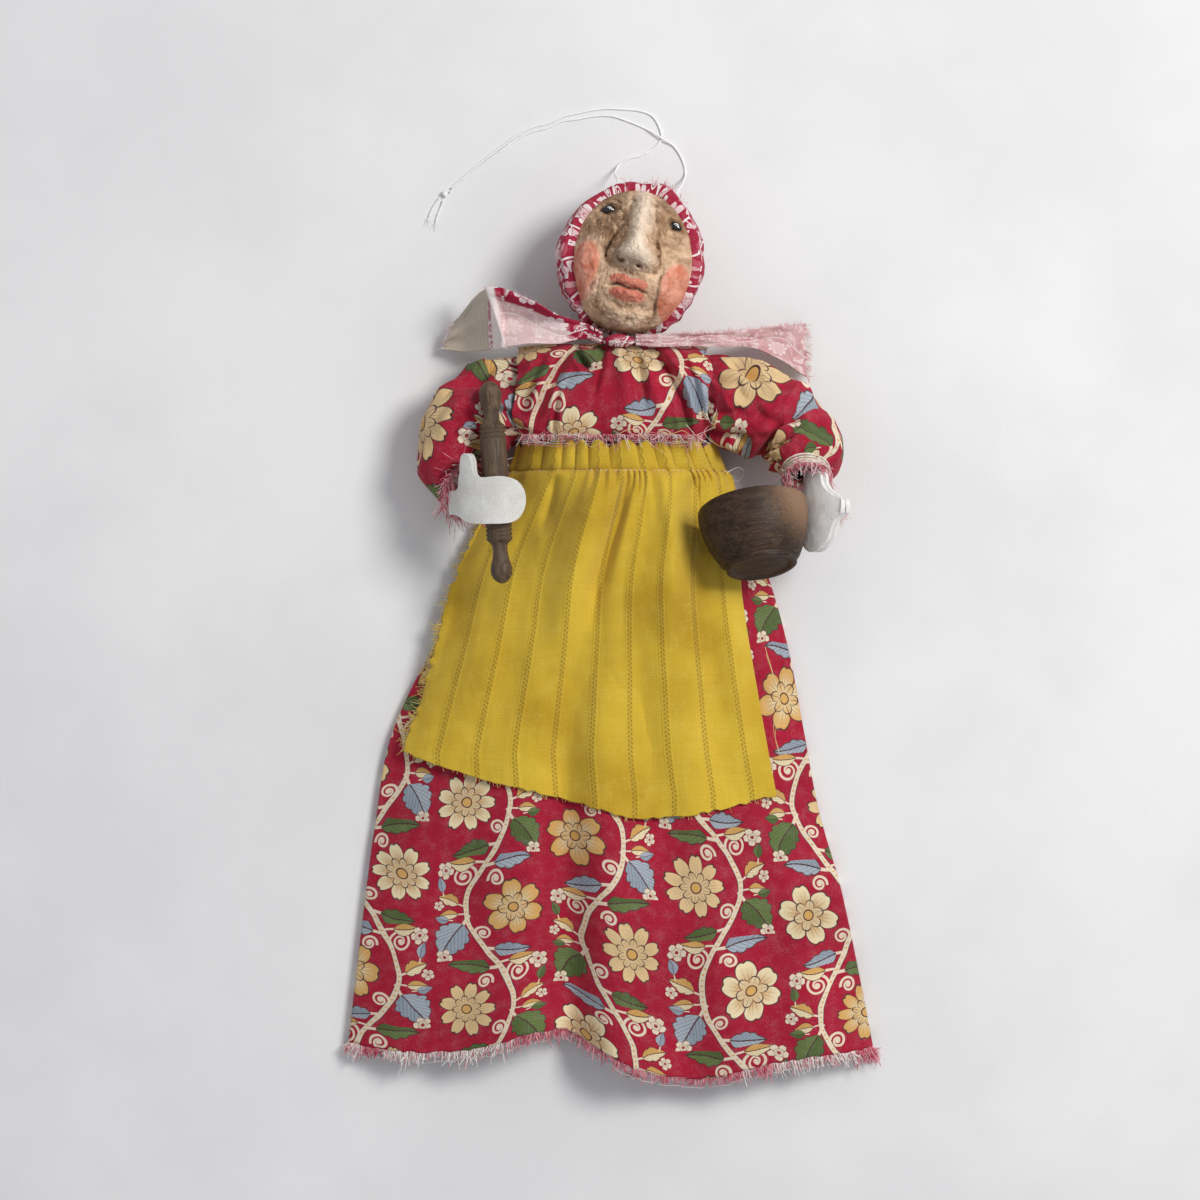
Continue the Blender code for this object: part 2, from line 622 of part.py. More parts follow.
def build_hood(home):
    """The kerchief over the head, open round the face and gathered under the chin."""
    half = HEAD_HALF + Vector((HOOD_EASE, HOOD_EASE, HOOD_EASE))
    bm = bmesh.new()
    pole = bm.verts.new(HEAD_FRAME @ Vector((0.0, 0.0, -half.z)))
    rings = []
    for ring in range(1, HOOD_RINGS + 1):
        row = []
        for i in range(HOOD_SEGMENTS):
            turn = 2 * math.pi * i / HOOD_SEGMENTS
            edge = math.pi * smooth_value(HOOD_EDGE_SHARES, i / HOOD_SEGMENTS)
            back = edge * ring / HOOD_RINGS
            pleat = HOOD_PLEAT_DEPTH * (ring / HOOD_RINGS) * (0.5 + 0.5 * math.cos(HOOD_PLEATS * turn))
            shape = on_ball(math.pi - back, turn)
            place = Vector([shape[k] * (half[k] + pleat) for k in range(3)])
            row.append(bm.verts.new(HEAD_FRAME @ place))
        rings.append(row)
    for i in range(HOOD_SEGMENTS):
        j = (i + 1) % HOOD_SEGMENTS
        bm.faces.new((pole, rings[0][j], rings[0][i]))
        for lower, upper in zip(rings, rings[1:]):
            bm.faces.new((lower[i], lower[j], upper[j], upper[i]))
    made = add_object("kerchief_hood", bm, "kerchief", home)
    wall = made.modifiers.new("Cloth", "SOLIDIFY")
    wall.thickness = HOOD_THICKNESS
    wall.offset = 1.0
    return made


def build_tail(name, side, reach, shares, home):
    """One end of the kerchief, spread over the shoulder."""
    start = Vector((KNOT_PLACE.x + side * (KNOT_WIDTH / 2 + SEAT_GAP), NECK_Y, 0.0))
    rows = []
    for place in spread_evenly(0.0, 1.0, 13):
        out, middle, width, height = section_value(shares, place)
        row = []
        for across in TAIL_ACROSS_SHARES:
            row.append(Vector((
                start.x + side * out * reach,
                start.y + TAIL_WIDTH * (middle + width * across),
                TAIL_HEIGHT * height,
            )))
        rows.append(row if side < 0 else list(reversed(row)))
    return sheet(name, rows, "kerchief", home, CLOTH)


def core_rings(grown):
    """Rings of the stuffed body roll from its neck to its lower end, grown all round by a clearance."""
    rings = []
    top = NECK_Y - CORE_TOP_DROP
    for place, full in CORE_SHARES:
        y = top + grown - (CORE_LENGTH + 2 * grown) * place
        blend = min(1.0, place * 2)
        centre_x = NECK_TOP.x + (CORE_X - NECK_TOP.x) * blend
        centre = Vector((centre_x, y, NECK_Z + (CORE_Z - NECK_Z) * blend))
        half_width = CORE_WIDTH / 2 * full + grown
        half_depth = CORE_DEPTH / 2 * min(1.0, full * 1.1) + grown
        turns = [2 * math.pi * i / CORE_SIDES for i in range(CORE_SIDES)]
        offsets = [Vector((half_width * math.cos(a), 0.0, half_depth * math.sin(a))) for a in turns]
        rings.append([centre + offset for offset in offsets])
    return rings


def armhole_centre(side):
    """The middle of the seam between bodice and sleeve, on the shoulder's axis."""
    return Vector((SHOULDER_X + side * SHOULDER_WIDTH / 2, NECK_Y - ARMHOLE_DROP, SHOULDER_Z))


def build_bodice(home):
    """The gathered bodice, lofted between the armholes, with pleats that fan out from the neck."""
    radius, shallow = ARMHOLE_HEIGHT / 2, ARMHOLE_DEPTH / 2
    middle_z = BODICE_DEPTH / 2 + LOOSE_GAP
    bottom = WAIST_Y + BODICE_HEM_GAP
    rings = []
    for place in spread_evenly(-1.0, 1.0, BODICE_STATIONS):
        x = SHOULDER_X + place * SHOULDER_WIDTH / 2
        inner = 1.0 - abs(place) ** 5
        neck = bump(x - NECK_TOP.x, SHOULDER_WIDTH / 7)
        shoulder = armhole_centre(1)
        low = shoulder.y - radius + (bottom - shoulder.y + radius) * (1.0 - place**6)
        climb = max(neck, inner * 0.45)
        high = shoulder.y + radius + (NECK_Y - SEAT_GAP - shoulder.y - radius) * climb
        half_depth = shallow + (BODICE_DEPTH / 2 - shallow) * inner
        centre_z = SHOULDER_Z + (middle_z - SHOULDER_Z) * inner
        square = 2.0 + 0.7 * inner
        row = []
        for i in range(BODICE_SIDES):
            a = 2 * math.pi * i / BODICE_SIDES
            cosine, sine = math.cos(a), math.sin(a)
            up = math.copysign(abs(cosine) ** (2 / square), cosine)
            out = math.copysign(abs(sine) ** (2 / square), sine)
            y = (low + high) / 2 + up * (high - low) / 2
            z = centre_z + out * half_depth
            fan = math.atan2(x - NECK_TOP.x, NECK_Y + radius - y)
            if sine > 0.0:
                z += PLEAT_DEPTH * inner * sine * math.cos(2 * PLEAT_COUNT * fan)
            row.append(Vector((x, y, z)))
        rings.append(row)
    return loft("bodice", rings, "dress", home)


def build_upper_sleeve(name, side, elbow, home):
    """The puffed sleeve from its seam at the armhole to the round of the elbow."""
    seam = armhole_centre(side) + Vector((side * SEAT_GAP, 0.0, 0.0))
    out = Vector((float(side), 0.0, 0.0))
    along = (elbow - seam).normalized()
    elbow_radius = ELBOW_DIAMETER / 2
    reach = (elbow - seam).length
    rings = []
    for place in UPPER_SLEEVE_SHARES:
        bow = out * (reach * 0.16 * math.sin(math.pi * place))
        normal = (out * (1.0 - place) + along * place).normalized()
        puff = 1.0 - 0.05 * math.sin(2 * math.pi * place)
        across = (ARMHOLE_HEIGHT / 2 * (1.0 - place) + elbow_radius * place) * puff
        deep = (ARMHOLE_DEPTH / 2 * (1.0 - place) + elbow_radius * place) * puff
        centre = seam.lerp(elbow, place) + bow
        rings.append(ring_points(centre, normal, across, deep, SLEEVE_SIDES))
    for share in ELBOW_TURN_SHARES:
        turn = share * math.pi / 2
        middle = elbow + along * elbow_radius * math.sin(turn)
        radius = elbow_radius * math.cos(turn)
        rings.append(ring_points(middle, along, radius, radius, SLEEVE_SIDES))
    return loft(name, rings, "dress", home)


def mouth_axis(side, elbow, cuff):
    """The way the lower sleeve leaves the elbow, turned away from the crook so that it clears it."""
    forearm = (cuff - elbow).normalized()
    upper = (armhole_centre(side) - elbow).normalized()
    return (forearm * FOREARM_TURN_SHARE - upper * UPPER_ARM_TURN_SHARE).normalized()


def sleeve_section(place, side, elbow, cuff, normal, diameters):
    """The middle, heading and radius of the lower sleeve at a share of its length."""
    leave = mouth_axis(side, elbow, cuff)
    mouth, middle, wrist = diameters
    first = elbow + leave * ELBOW_DIAMETER * 0.275
    handle = (cuff - first).length * 0.45
    a, b = first + leave * handle, cuff - normal * handle
    rest = 1.0 - place
    centre = first * rest**3 + a * 3 * rest**2 * place + b * 3 * rest * place**2 + cuff * place**3
    heading = (a - first) * rest**2 + (b - a) * 2 * rest * place + (cuff - b) * place**2
    full = smooth_value(((0.0, mouth), (SLEEVE_MIDDLE_SHARE, middle), (1.0, wrist)), place)
    return centre, heading.normalized(), full / 2


def build_lower_sleeve(name, side, elbow, cuff, normal, diameters, home, cutters):
    """The sleeve from the elbow to its cuff, hollowed where it fits the elbow and at the wrist."""
    rings = []
    for place in LOWER_SLEEVE_SHARES:
        centre, heading, radius = sleeve_section(place, side, elbow, cuff, normal, diameters)
        rings.append(ring_points(centre, heading, radius, radius, SLEEVE_SIDES))
    inside = diameters[-1] / 2 - CUFF_WALL
    deepest = cuff - normal * CUFF_RECESS
    rings.append(ring_points(cuff, normal, inside, inside, SLEEVE_SIDES))
    rings.append(ring_points(deepest, normal, inside * 0.9, inside * 0.9, SLEEVE_SIDES))
    made = loft(name, rings, "dress", home)
    size = ELBOW_DIAMETER + 3 * SEAT_GAP
    hollow = ball(name + "_elbow_hollow", elbow, Vector((size, size, size)), "dress", cutters, 28, 20)
    cut(made, hollow)
    return made


def turned(name, profile, colour, home, segments):
    """A turned piece about its own Z from a profile of (along, radius) pairs, lowest first."""
    bm = bmesh.new()
    outline = [bm.verts.new((radius, 0.0, along)) for along, radius in reversed(profile)]
    for upper, lower in zip(outline, outline[1:]):
        bm.edges.new((upper, lower))
    made = add_object(name, bm, colour, home)
    spin = made.modifiers.new("Turn", "SCREW")
    spin.steps = segments
    spin.render_steps = segments
    spin.use_merge_vertices = True
    spin.merge_threshold = MERGE_LENGTH
    spin.use_smooth_shade = True
    return made


def pin_profile():
    """The rolling pin's radius along its length, from its lower knob to its upper one."""
    knob, neck, body = PIN_KNOB_DIAMETER / 2, PIN_NECK_DIAMETER / 2, PIN_DIAMETER / 2
    lower_end, upper_end = PIN_SHOULDER_SHARES
    profile = [(PIN_LENGTH * place * 0.9, knob * share * 0.95) for place, share in PIN_KNOB_SHARES]
    profile += [(PIN_LENGTH * place, neck * share) for place, share in PIN_LOWER_NECK_SHARES]
    profile.append((PIN_LENGTH * lower_end[0], body * lower_end[1]))
    for start in PIN_GROOVE_START_SHARES:
        first = PIN_LENGTH * start
        profile.append((first, body))
        for groove in range(PIN_GROOVES):
            at = first + PIN_GROOVE_PITCH * (groove + 0.5)
            profile.append((at, body - PIN_GROOVE_DEPTH))
            profile.append((first + PIN_GROOVE_PITCH * (groove + 1), body))
    profile.append((PIN_LENGTH * upper_end[0], body * upper_end[1]))
    profile += [(PIN_LENGTH * place, neck * share) for place, share in PIN_UPPER_NECK_SHARES]
    for place, share in reversed(PIN_KNOB_SHARES):
        profile.append((PIN_LENGTH * (1.0 - place), knob * share))
    return profile


def build_pin(home):
    """The rolling pin, turned in one piece, held under the right palm."""
    made = turned("rolling_pin", pin_profile(), "wood", home, PIN_SEGMENTS)
    along = Vector((-math.sin(PIN_LEAN), math.cos(PIN_LEAN), 0.0))
    turn = along.to_track_quat("Z", "X").to_matrix().to_4x4()
    foot = Vector((PIN_X, PIN_Y, PIN_Z)) - along * PIN_LENGTH / 2
    made.matrix_world = Matrix.Translation(foot) @ turn
    return made


def bowl_radius(height):
    """The bowl's outer radius at a height above its foot."""
    share = max(0.0, (height - BOWL_FOOT_HEIGHT) / (BOWL_HEIGHT - BOWL_FOOT_HEIGHT))
    return BOWL_DIAMETER / 2 * smooth_value(BOWL_SIDE_SHARES, share)


def bowl_reach(way):
    """How far the bowl reaches from its middle along a direction."""
    lean = way.dot(BOWL_AXIS)
    heights = spread_evenly(BOWL_FOOT_HEIGHT, BOWL_HEIGHT, 2 * len(BOWL_SIDE_SHARES))
    flat = math.sqrt(1.0 - lean**2)
    return max(bowl_radius(h) * flat + (h - BOWL_HEIGHT / 2) * lean for h in heights)


def build_bowl(home):
    """The turned bowl with its foot and a hollow that the profile follows inside."""
    foot = BOWL_FOOT_DIAMETER / 2
    outer = [(BOWL_FOOT_RECESS, 0.0), (BOWL_FOOT_RECESS, foot * 0.80), (0.0, foot * 0.84), (0.0, foot)]
    outer += [(BOWL_FOOT_HEIGHT, foot), (BOWL_FOOT_HEIGHT, foot + BOWL_FOOT_STEP)]
    for share in BOWL_OUTSIDE_SHARES:
        height = BOWL_FOOT_HEIGHT + (BOWL_HEIGHT - BOWL_FOOT_HEIGHT) * share
        outer.append((height, bowl_radius(height)))
    inner = []
    for share in BOWL_INSIDE_SHARES:
        height = BOWL_FLOOR + (BOWL_HEIGHT - BOWL_FLOOR) * share
        rounding = math.sqrt(max(0.0, 1.0 - (1.0 - share) ** 4))
        inner.append((height, (bowl_radius(height) - BOWL_WALL) * rounding))
    made = turned("bowl", outer + inner, "wood", home, BOWL_SEGMENTS)
    turn = BOWL_AXIS.to_track_quat("Z", "Y").to_matrix().to_4x4()
    made.matrix_world = Matrix.Translation(BOWL_CENTRE - BOWL_AXIS * BOWL_HEIGHT / 2) @ turn
    return made


def hand_layer(name, outline, bend, side, home):
    """One glued layer of a hand: an outline cut into strips, bent and thickened to one side."""
    bm = bmesh.new()
    face = bm.faces.new([bm.verts.new((x, y, 0.0)) for x, y in outline])
    face.normal_update()
    for axis in (Vector((1.0, 0.0, 0.0)), Vector((0.0, 1.0, 0.0))):
        reach = [axis.dot(vert.co) for vert in bm.verts]
        for place in spread_evenly(min(reach), max(reach), HAND_SLICES)[1:-1]:
            parts = bm.verts[:] + bm.edges[:] + bm.faces[:]
            bmesh.ops.bisect_plane(
                bm, geom=parts, dist=MERGE_LENGTH, plane_co=axis * place, plane_no=axis
            )
    bmesh.ops.triangulate(bm, faces=bm.faces)
    for vert in bm.verts:
        vert.co = bend(vert.co.x, vert.co.y)
    made = add_object(name, bm, "hand", home)
    layer = made.modifiers.new("Layer", "SOLIDIFY")
    layer.thickness = HAND_LAYER
    layer.offset = side
    return made


def over_pin(turn, y, lift):
    """A place above the right hand's palm side, which bends round an axle under the rolling pin."""
    axle = PIN_Z + PIN_DIAMETER / 2 + SEAT_GAP - HAND_BEND_RADIUS
    reach = HAND_BEND_RADIUS + lift
    return Vector((PIN_X + reach * math.sin(turn), y, axle + reach * math.cos(turn)))


def build_right_hand(home):
    """Two glued layers that lie over the rolling pin and bend down to the wrist."""
    outline = [(PALM_LENGTH * along, PALM_WIDTH * across) for along, across in RIGHT_HAND_SHARES]
    start = Vector((-PALM_LENGTH * 0.52, RIGHT_ELBOW.y - PALM_WIDTH * 1.62, 0.0))

    def layer_bend(lift):
        def bend(along, across):
            return over_pin((start.x + along) / HAND_BEND_RADIUS, start.y + across, lift)
        return bend

    inner = hand_layer("right_hand_palm", outline, layer_bend(0.0), 1.0, home)
    outer = hand_layer("right_hand_back", outline, layer_bend(HAND_LAYER + GLUE_GAP), 1.0, home)
    return [inner, outer]


def build_left_hand(home):
    """Two glued layers that lie along the bowl's wall, thumb uppermost."""
    length, width = LEFT_HAND_LENGTH, LEFT_HAND_WIDTH
    outline = [(length * along, width * across) for along, across in LEFT_HAND_SHARES]
    away = Vector((math.cos(LEFT_HAND_TILT), 0.0, math.sin(LEFT_HAND_TILT)))
    rise = Vector((-math.sin(LEFT_HAND_TILT), 0.0, math.cos(LEFT_HAND_TILT)))
    palm = BOWL_CENTRE + away * (bowl_reach(away) + SEAT_GAP)
    palm.y = LEFT_CUFF.y

    def layer_bend(lift):
        def bend(along, across):
            return palm + away * lift + rise * across - Vector((0.0, along, 0.0))
        return bend

    inner = hand_layer("left_hand_palm", outline, layer_bend(0.0), -1.0, home)
    outer = hand_layer("left_hand_back", outline, layer_bend(HAND_LAYER + GLUE_GAP), -1.0, home)
    return [inner, outer]


def skirt_sides(length_share):
    """The skirt's middle and half width at a share of its length."""
    half = HEM_WIDTH / 2
    right = -half * smooth_value(SKIRT_RIGHT_SHARES, length_share)
    left = half * smooth_value(SKIRT_LEFT_SHARES, length_share)
    return (left + right) / 2, (left - right) / 2


def skirt_height(x, y):
    """The height of the skirt's front above the surface at a place."""
    down = max(0.0, (WAIST_Y - y) / SKIRT_LENGTH)
    middle, half = skirt_sides(down)
    across = max(-1.0, min(1.0, (x - middle) / half))
    rise = SKIRT_HEM_RISE + (SKIRT_RISE - SKIRT_HEM_RISE) * smooth_value(SKIRT_RISE_SHARES, down)
    full = smooth_value(SKIRT_FULLNESS_SHARES, down)
    folds = sum(h * bump(across - s, w) for s, w, h in SKIRT_FOLD_SHARES)
    crown = (1.0 - across**2) ** full
    open_out = min(1.0, down) ** 1.3 * (1.0 - across**6)
    return SKIRT_SIDE_RISE + (rise - SKIRT_SIDE_RISE) * crown + FOLD_HEIGHT * folds * open_out


def build_skirt(home):
    """The skirt: a tube of cloth from waist to open hem, flat where it lies, folded in front."""
    turns = spread_evenly(0.0, math.pi, SKIRT_ACROSS)
    rows = []
    for place in spread_evenly(0.0, 1.0, SKIRT_STATIONS):
        front, back = [], []
        for turn in turns:
            across = -math.cos(turn)
            dip = HEM_DIP * smooth_value(HEM_DIP_SHARES, across) * place**2
            y = WAIST_Y - place * (SKIRT_LENGTH - dip)
            middle, half = skirt_sides((WAIST_Y - y) / SKIRT_LENGTH)
            x = middle + half * across
            front.append(Vector((x, y, skirt_height(x, y))))
            lift = WAIST_LIFT * max(0.0, 1.0 - place * 6)
            back.append(Vector((x, y, lift)))
        rim = slice(1, -1)
        middle_height = SKIRT_SIDE_RISE / 2
        back[0].z = back[-1].z = middle_height + back[0].z
        rows.append(back + list(reversed(front[rim])))
    return sheet("skirt", rows, "dress", home, SKIRT_WALL, closed=True, offset=-1.0)


def apron_place(across, down):
    """A place on the apron from shares of its width and length."""
    length = APRON_LENGTH * smooth_value(APRON_HEM_SHARES, across)
    along = down * length / APRON_LENGTH
    right = APRON_WIDTH / 2 * smooth_value(APRON_RIGHT_SHARES, along)
    left = APRON_WIDTH / 2 * smooth_value(APRON_LEFT_SHARES, along)
    return right + (left - right) * across, WAIST_Y - APRON_TOP_DROP - down * length


def apron_height(x, y, across, down):
    """The height of the apron's underside at a place on it."""
    folds = sum(h * bump(across - s, w) for s, w, h in APRON_FOLD_SHARES)
    swell = math.sin(math.pi * min(1.0, down * 1.25)) if down < 0.8 else 0.0
    middle, _ = skirt_sides(max(0.0, WAIST_Y - y) / SKIRT_LENGTH)
    under = max(skirt_height(middle + (x - middle) * APRON_DRAPE_SHARE, y), skirt_height(x, y))
    return under + LOOSE_GAP + APRON_FOLD * max(0.0, folds) * swell


def build_apron(home):
    """The apron: a sheet over the skirt, gathered at the waist and wider than it is towards its hem."""
    rows = []
    for down in spread_evenly(0.0, 1.0, APRON_ROWS):
        row = []
        for across in spread_evenly(0.0, 1.0, APRON_COLUMNS):
            x, y = apron_place(across, down)
            row.append(Vector((x, y, apron_height(x, y, across, down))))
        rows.append(list(reversed(row)))
    return sheet("apron", rows, "apron", home, CLOTH)


def build_gather_thread(home):
    """The thread that draws the apron in, right round the waist."""
    y = WAIST_Y - GATHER_DROP
    middle, half = skirt_sides(GATHER_DROP / SKIRT_LENGTH)
    radius = GATHER_THREAD_DIAMETER / 2
    under = []
    for across in spread_evenly(1.0, 0.0, GATHER_POINTS):
        length = APRON_LENGTH * smooth_value(APRON_HEM_SHARES, across)
        down = (GATHER_DROP - APRON_TOP_DROP) / length
        x, _ = apron_place(across, down)
        under.append(Vector((x, y, apron_height(x, y, across, down))))
    lift = CLOTH + 2 * SEAT_GAP + radius
    points = []
    for i, point in enumerate(under):
        along = (under[max(i - 1, 0)] - under[min(i + 1, len(under) - 1)]).normalized()
        points.append(point + Vector((-along.z, 0.0, along.x)) * lift)
    reach = half + 2 * CLOTH + LOOSE_GAP + radius
    for turn in spread_evenly(math.pi, 2 * math.pi, GATHER_POINTS // 2):
        points.append(Vector((middle + reach * math.cos(turn), y, radius)))
    return tube("gather_thread", points, GATHER_THREAD_DIAMETER, "thread", home, closed=True)


def build_wrist_thread(diameters, home):
    """The thread wound round the left sleeve above the hand."""
    first, last = WRIST_THREAD_SHARES
    lift = LOOSE_GAP + SEAT_GAP
    points = []
    for share in spread_evenly(0.0, 1.0, WRIST_THREAD_POINTS):
        place = first + (last - first) * share
        centre, heading, radius = sleeve_section(
            place, 1, LEFT_ELBOW, LEFT_CUFF, LEFT_CUFF_NORMAL, diameters
        )
        side = Vector((1.0, 0.0, 0.0)).cross(heading).normalized()
        top = heading.cross(side).normalized()
        turn = 2 * math.pi * WRIST_THREAD_TURNS * share
        points.append(centre + (side * math.cos(turn) + top * math.sin(turn)) * (radius + lift))
    return tube("wrist_thread", points, WRIST_THREAD_DIAMETER, "thread", home)


def build_arm(side, names, elbow, cuff, normal, diameters, wire_end, home, cutters):
    """One arm without its hand: both sleeves and both wires."""
    upper = build_upper_sleeve(names + "_upper_sleeve", side, elbow, home)
    lower = build_lower_sleeve(
        names + "_lower_sleeve", side, elbow, cuff, normal, diameters, home, cutters
    )
    seam = armhole_centre(side) + Vector((side * 2 * SEAT_GAP, 0.0, 0.0))
    upper_wire = rod(names + "_upper_arm_wire", seam, elbow, WIRE_DIAMETER, "wire", home)
    bore = WIRE_DIAMETER + 2 * SEAT_GAP
    along = (elbow - seam).normalized()
    start = seam - along * CUT_OVERRUN
    cut(upper, rod(names + "_upper_bore", start, elbow + along * SEAT_GAP, bore, "wire", cutters))
    forearm = (cuff - elbow).normalized()
    first = elbow + forearm * (ELBOW_DIAMETER / 2 + LOOSE_GAP)
    forearm_wire = tube(names + "_forearm_wire", (first, *wire_end), WIRE_DIAMETER, "wire", home)
    past = cuff + forearm * CUT_OVERRUN
    cut(lower, rod(names + "_lower_bore", elbow, past, bore, "wire", cutters))
    return upper, lower, upper_wire, forearm_wire


def main():
    """Build every piece and hang the moving ones on their joints."""
    clear_scene()
    doll = new_collection("apple_head_doll")
    cutters = new_collection("cutters")

    head = build_head(doll)
    eyes = []
    for name, place in zip(("right_eye", "left_eye"), eye_centres()):
        size = Vector((EYE_DIAMETER, EYE_DIAMETER, EYE_DIAMETER))
        eyes.append(ball(name, place, size, "bead", doll, 14, 9))
        grown = size + 2 * Vector((SEAT_GAP, SEAT_GAP, SEAT_GAP))
        cut(head, ball(name + "_socket", place, grown, "bead", cutters, 14, 9))
    hood = build_hood(doll)

    neck_foot = Vector((NECK_TOP.x, NECK_Y - CORE_TOP_DROP - NECK_WIRE_SUNK, NECK_Z))
    neck_bend = Vector((NECK_TOP.x, NECK_Y + SEAT_GAP, NECK_Z))
    neck_tip = NECK_TOP + HEAD_UP * NECK_WIRE_IN_HEAD
    tube("neck_wire", (neck_foot, neck_bend, NECK_TOP, neck_tip), NECK_WIRE_DIAMETER, "wire", doll)
    neck_bore = NECK_WIRE_DIAMETER + 2 * SEAT_GAP
    bore_top = neck_tip + HEAD_UP * SEAT_GAP
    bore_foot = NECK_TOP - HEAD_UP * CUT_OVERRUN * 2
    cut(head, rod("head_bore", bore_foot, bore_top, neck_bore, "wire", cutters, 16))

    core = loft("body_roll", core_rings(0.0), "stuffing", doll)
    core_cutter = loft("body_roll_space", core_rings(SEAT_GAP), "stuffing", cutters)
    bodice = build_bodice(doll)
    cut(bodice, core_cutter)
    low = neck_foot - Vector((0.0, SEAT_GAP, 0.0))
    high = neck_bend + Vector((0.0, CUT_OVERRUN, 0.0))
    neck_space = rod("neck_space", low, high, neck_bore, "wire", cutters, 16)
    cut(bodice, neck_space)
    cut(core, neck_space)
    ends = [armhole_centre(side) - Vector((side * 2 * SEAT_GAP, 0.0, 0.0)) for side in (-1, 1)]
    rod("shoulder_wire", ends[0], ends[1], WIRE_DIAMETER, "wire", doll)
    beyond = Vector((CUT_OVERRUN, 0.0, 0.0))
    wide = WIRE_DIAMETER + 2 * SEAT_GAP
    shoulder_bore = rod("shoulder_bore", ends[0] - beyond, ends[1] + beyond, wide, "wire", cutters, 16)
    cut(bodice, shoulder_bore)
    cut(core, shoulder_bore)

    skirt = build_skirt(doll)
    apron = build_apron(doll)
    build_gather_thread(doll)
    knot_size = Vector((KNOT_WIDTH, KNOT_HEIGHT, KNOT_DEPTH))
    ball("kerchief_knot", KNOT_PLACE, knot_size, "kerchief", doll, 14, 9)
    build_tail("kerchief_tail_right", -1, TAIL_REACH_RIGHT, TAIL_RIGHT_SHARES, doll)
    build_tail("kerchief_tail_left", 1, TAIL_REACH_LEFT, TAIL_LEFT_SHARES, doll)

    mouth = ELBOW_DIAMETER * math.sin(math.radians(50.0))
    right_sizes = (mouth, RIGHT_SLEEVE_DIAMETER, RIGHT_CUFF_DIAMETER)
    left_sizes = (mouth, LEFT_SLEEVE_DIAMETER, LEFT_CUFF_DIAMETER)
    under_palm = -(WIRE_DIAMETER / 2 + SEAT_GAP)
    right_end = (RIGHT_CUFF, over_pin(RIGHT_WIRE_TURN, RIGHT_CUFF.y - RIGHT_WIRE_DROP, under_palm))
    left_end = (LEFT_CUFF - (LEFT_CUFF - LEFT_ELBOW).normalized() * LEFT_WIRE_STOP,)
    right = build_arm(
        -1, "right", RIGHT_ELBOW, RIGHT_CUFF, RIGHT_CUFF_NORMAL, right_sizes, right_end, doll, cutters
    )
    left = build_arm(
        1, "left", LEFT_ELBOW, LEFT_CUFF, LEFT_CUFF_NORMAL, left_sizes, left_end, doll, cutters
    )
    right_hand = build_right_hand(doll)
    left_hand = build_left_hand(doll)
    pin = build_pin(doll)
    bowl = build_bowl(doll)
    wrist_thread = build_wrist_thread(left_sizes, doll)

    strand_a = through(STRAND_A_ROUTE, THREAD_POINTS)
    strand_b = through(STRAND_B_ROUTE, THREAD_POINTS)
    tube("thread_strand_a", strand_a, THREAD_DIAMETER, "thread", doll)
    tube("thread_strand_b", strand_b, THREAD_DIAMETER, "thread", doll)
    size = Vector((THREAD_KNOT_DIAMETER, THREAD_KNOT_DIAMETER, THREAD_KNOT_DIAMETER))
    ball("thread_knot", Vector(THREAD_KNOT_PLACE), size, "thread", doll, 12, 8)
    end_a = through(END_A_ROUTE, THREAD_END_POINTS)
    end_b = through(END_B_ROUTE, THREAD_END_POINTS)
    tube("thread_end_a", end_a, THREAD_DIAMETER, "thread", doll)
    tube("thread_end_b", end_b, THREAD_DIAMETER, "thread", doll)

    head_joint = joint_empty("head_turn_axis", NECK_TOP, doll)
    hang_on(head_joint, head, hood, *eyes)
    right_shoulder = joint_empty("right_shoulder_axis", armhole_centre(-1), doll)
    left_shoulder = joint_empty("left_shoulder_axis", armhole_centre(1), doll)
    hang_on(right_shoulder, right[0], right[2])
    hang_on(left_shoulder, left[0], left[2])
    right_elbow = joint_empty("right_elbow_axis", RIGHT_ELBOW, doll, right_shoulder)
    left_elbow = joint_empty("left_elbow_axis", LEFT_ELBOW, doll, left_shoulder)
    hang_on(right_elbow, right[1], right[3], pin, *right_hand)
    hang_on(left_elbow, left[1], left[3], bowl, wrist_thread, *left_hand)


main()
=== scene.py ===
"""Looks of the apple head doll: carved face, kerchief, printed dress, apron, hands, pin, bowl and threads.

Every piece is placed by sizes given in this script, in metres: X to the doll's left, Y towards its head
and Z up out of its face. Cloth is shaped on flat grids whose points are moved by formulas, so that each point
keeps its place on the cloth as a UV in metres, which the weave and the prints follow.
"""
import logging
import math
from dataclasses import dataclass
from enum import Enum
from typing import Callable, Sequence

import bmesh
import bpy
import numpy as np
from mathutils import Matrix, Vector


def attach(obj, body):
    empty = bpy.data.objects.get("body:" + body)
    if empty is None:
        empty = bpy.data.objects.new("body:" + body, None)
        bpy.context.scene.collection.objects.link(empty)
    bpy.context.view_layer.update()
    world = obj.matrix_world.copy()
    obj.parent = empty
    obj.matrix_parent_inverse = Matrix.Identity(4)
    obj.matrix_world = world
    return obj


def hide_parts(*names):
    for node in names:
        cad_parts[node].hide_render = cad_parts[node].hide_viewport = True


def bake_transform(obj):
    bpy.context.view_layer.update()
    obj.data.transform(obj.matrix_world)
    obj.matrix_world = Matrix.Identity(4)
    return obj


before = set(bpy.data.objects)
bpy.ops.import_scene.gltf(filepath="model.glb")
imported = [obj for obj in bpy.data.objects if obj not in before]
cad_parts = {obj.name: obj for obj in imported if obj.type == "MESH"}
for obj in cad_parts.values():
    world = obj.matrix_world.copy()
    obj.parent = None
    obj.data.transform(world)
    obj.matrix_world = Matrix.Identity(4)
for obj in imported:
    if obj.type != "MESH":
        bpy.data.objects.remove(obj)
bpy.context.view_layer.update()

LOG = logging.getLogger("apple_head_doll")
Colour = tuple[float, float, float, float]
Table = Sequence[tuple[float, float]]
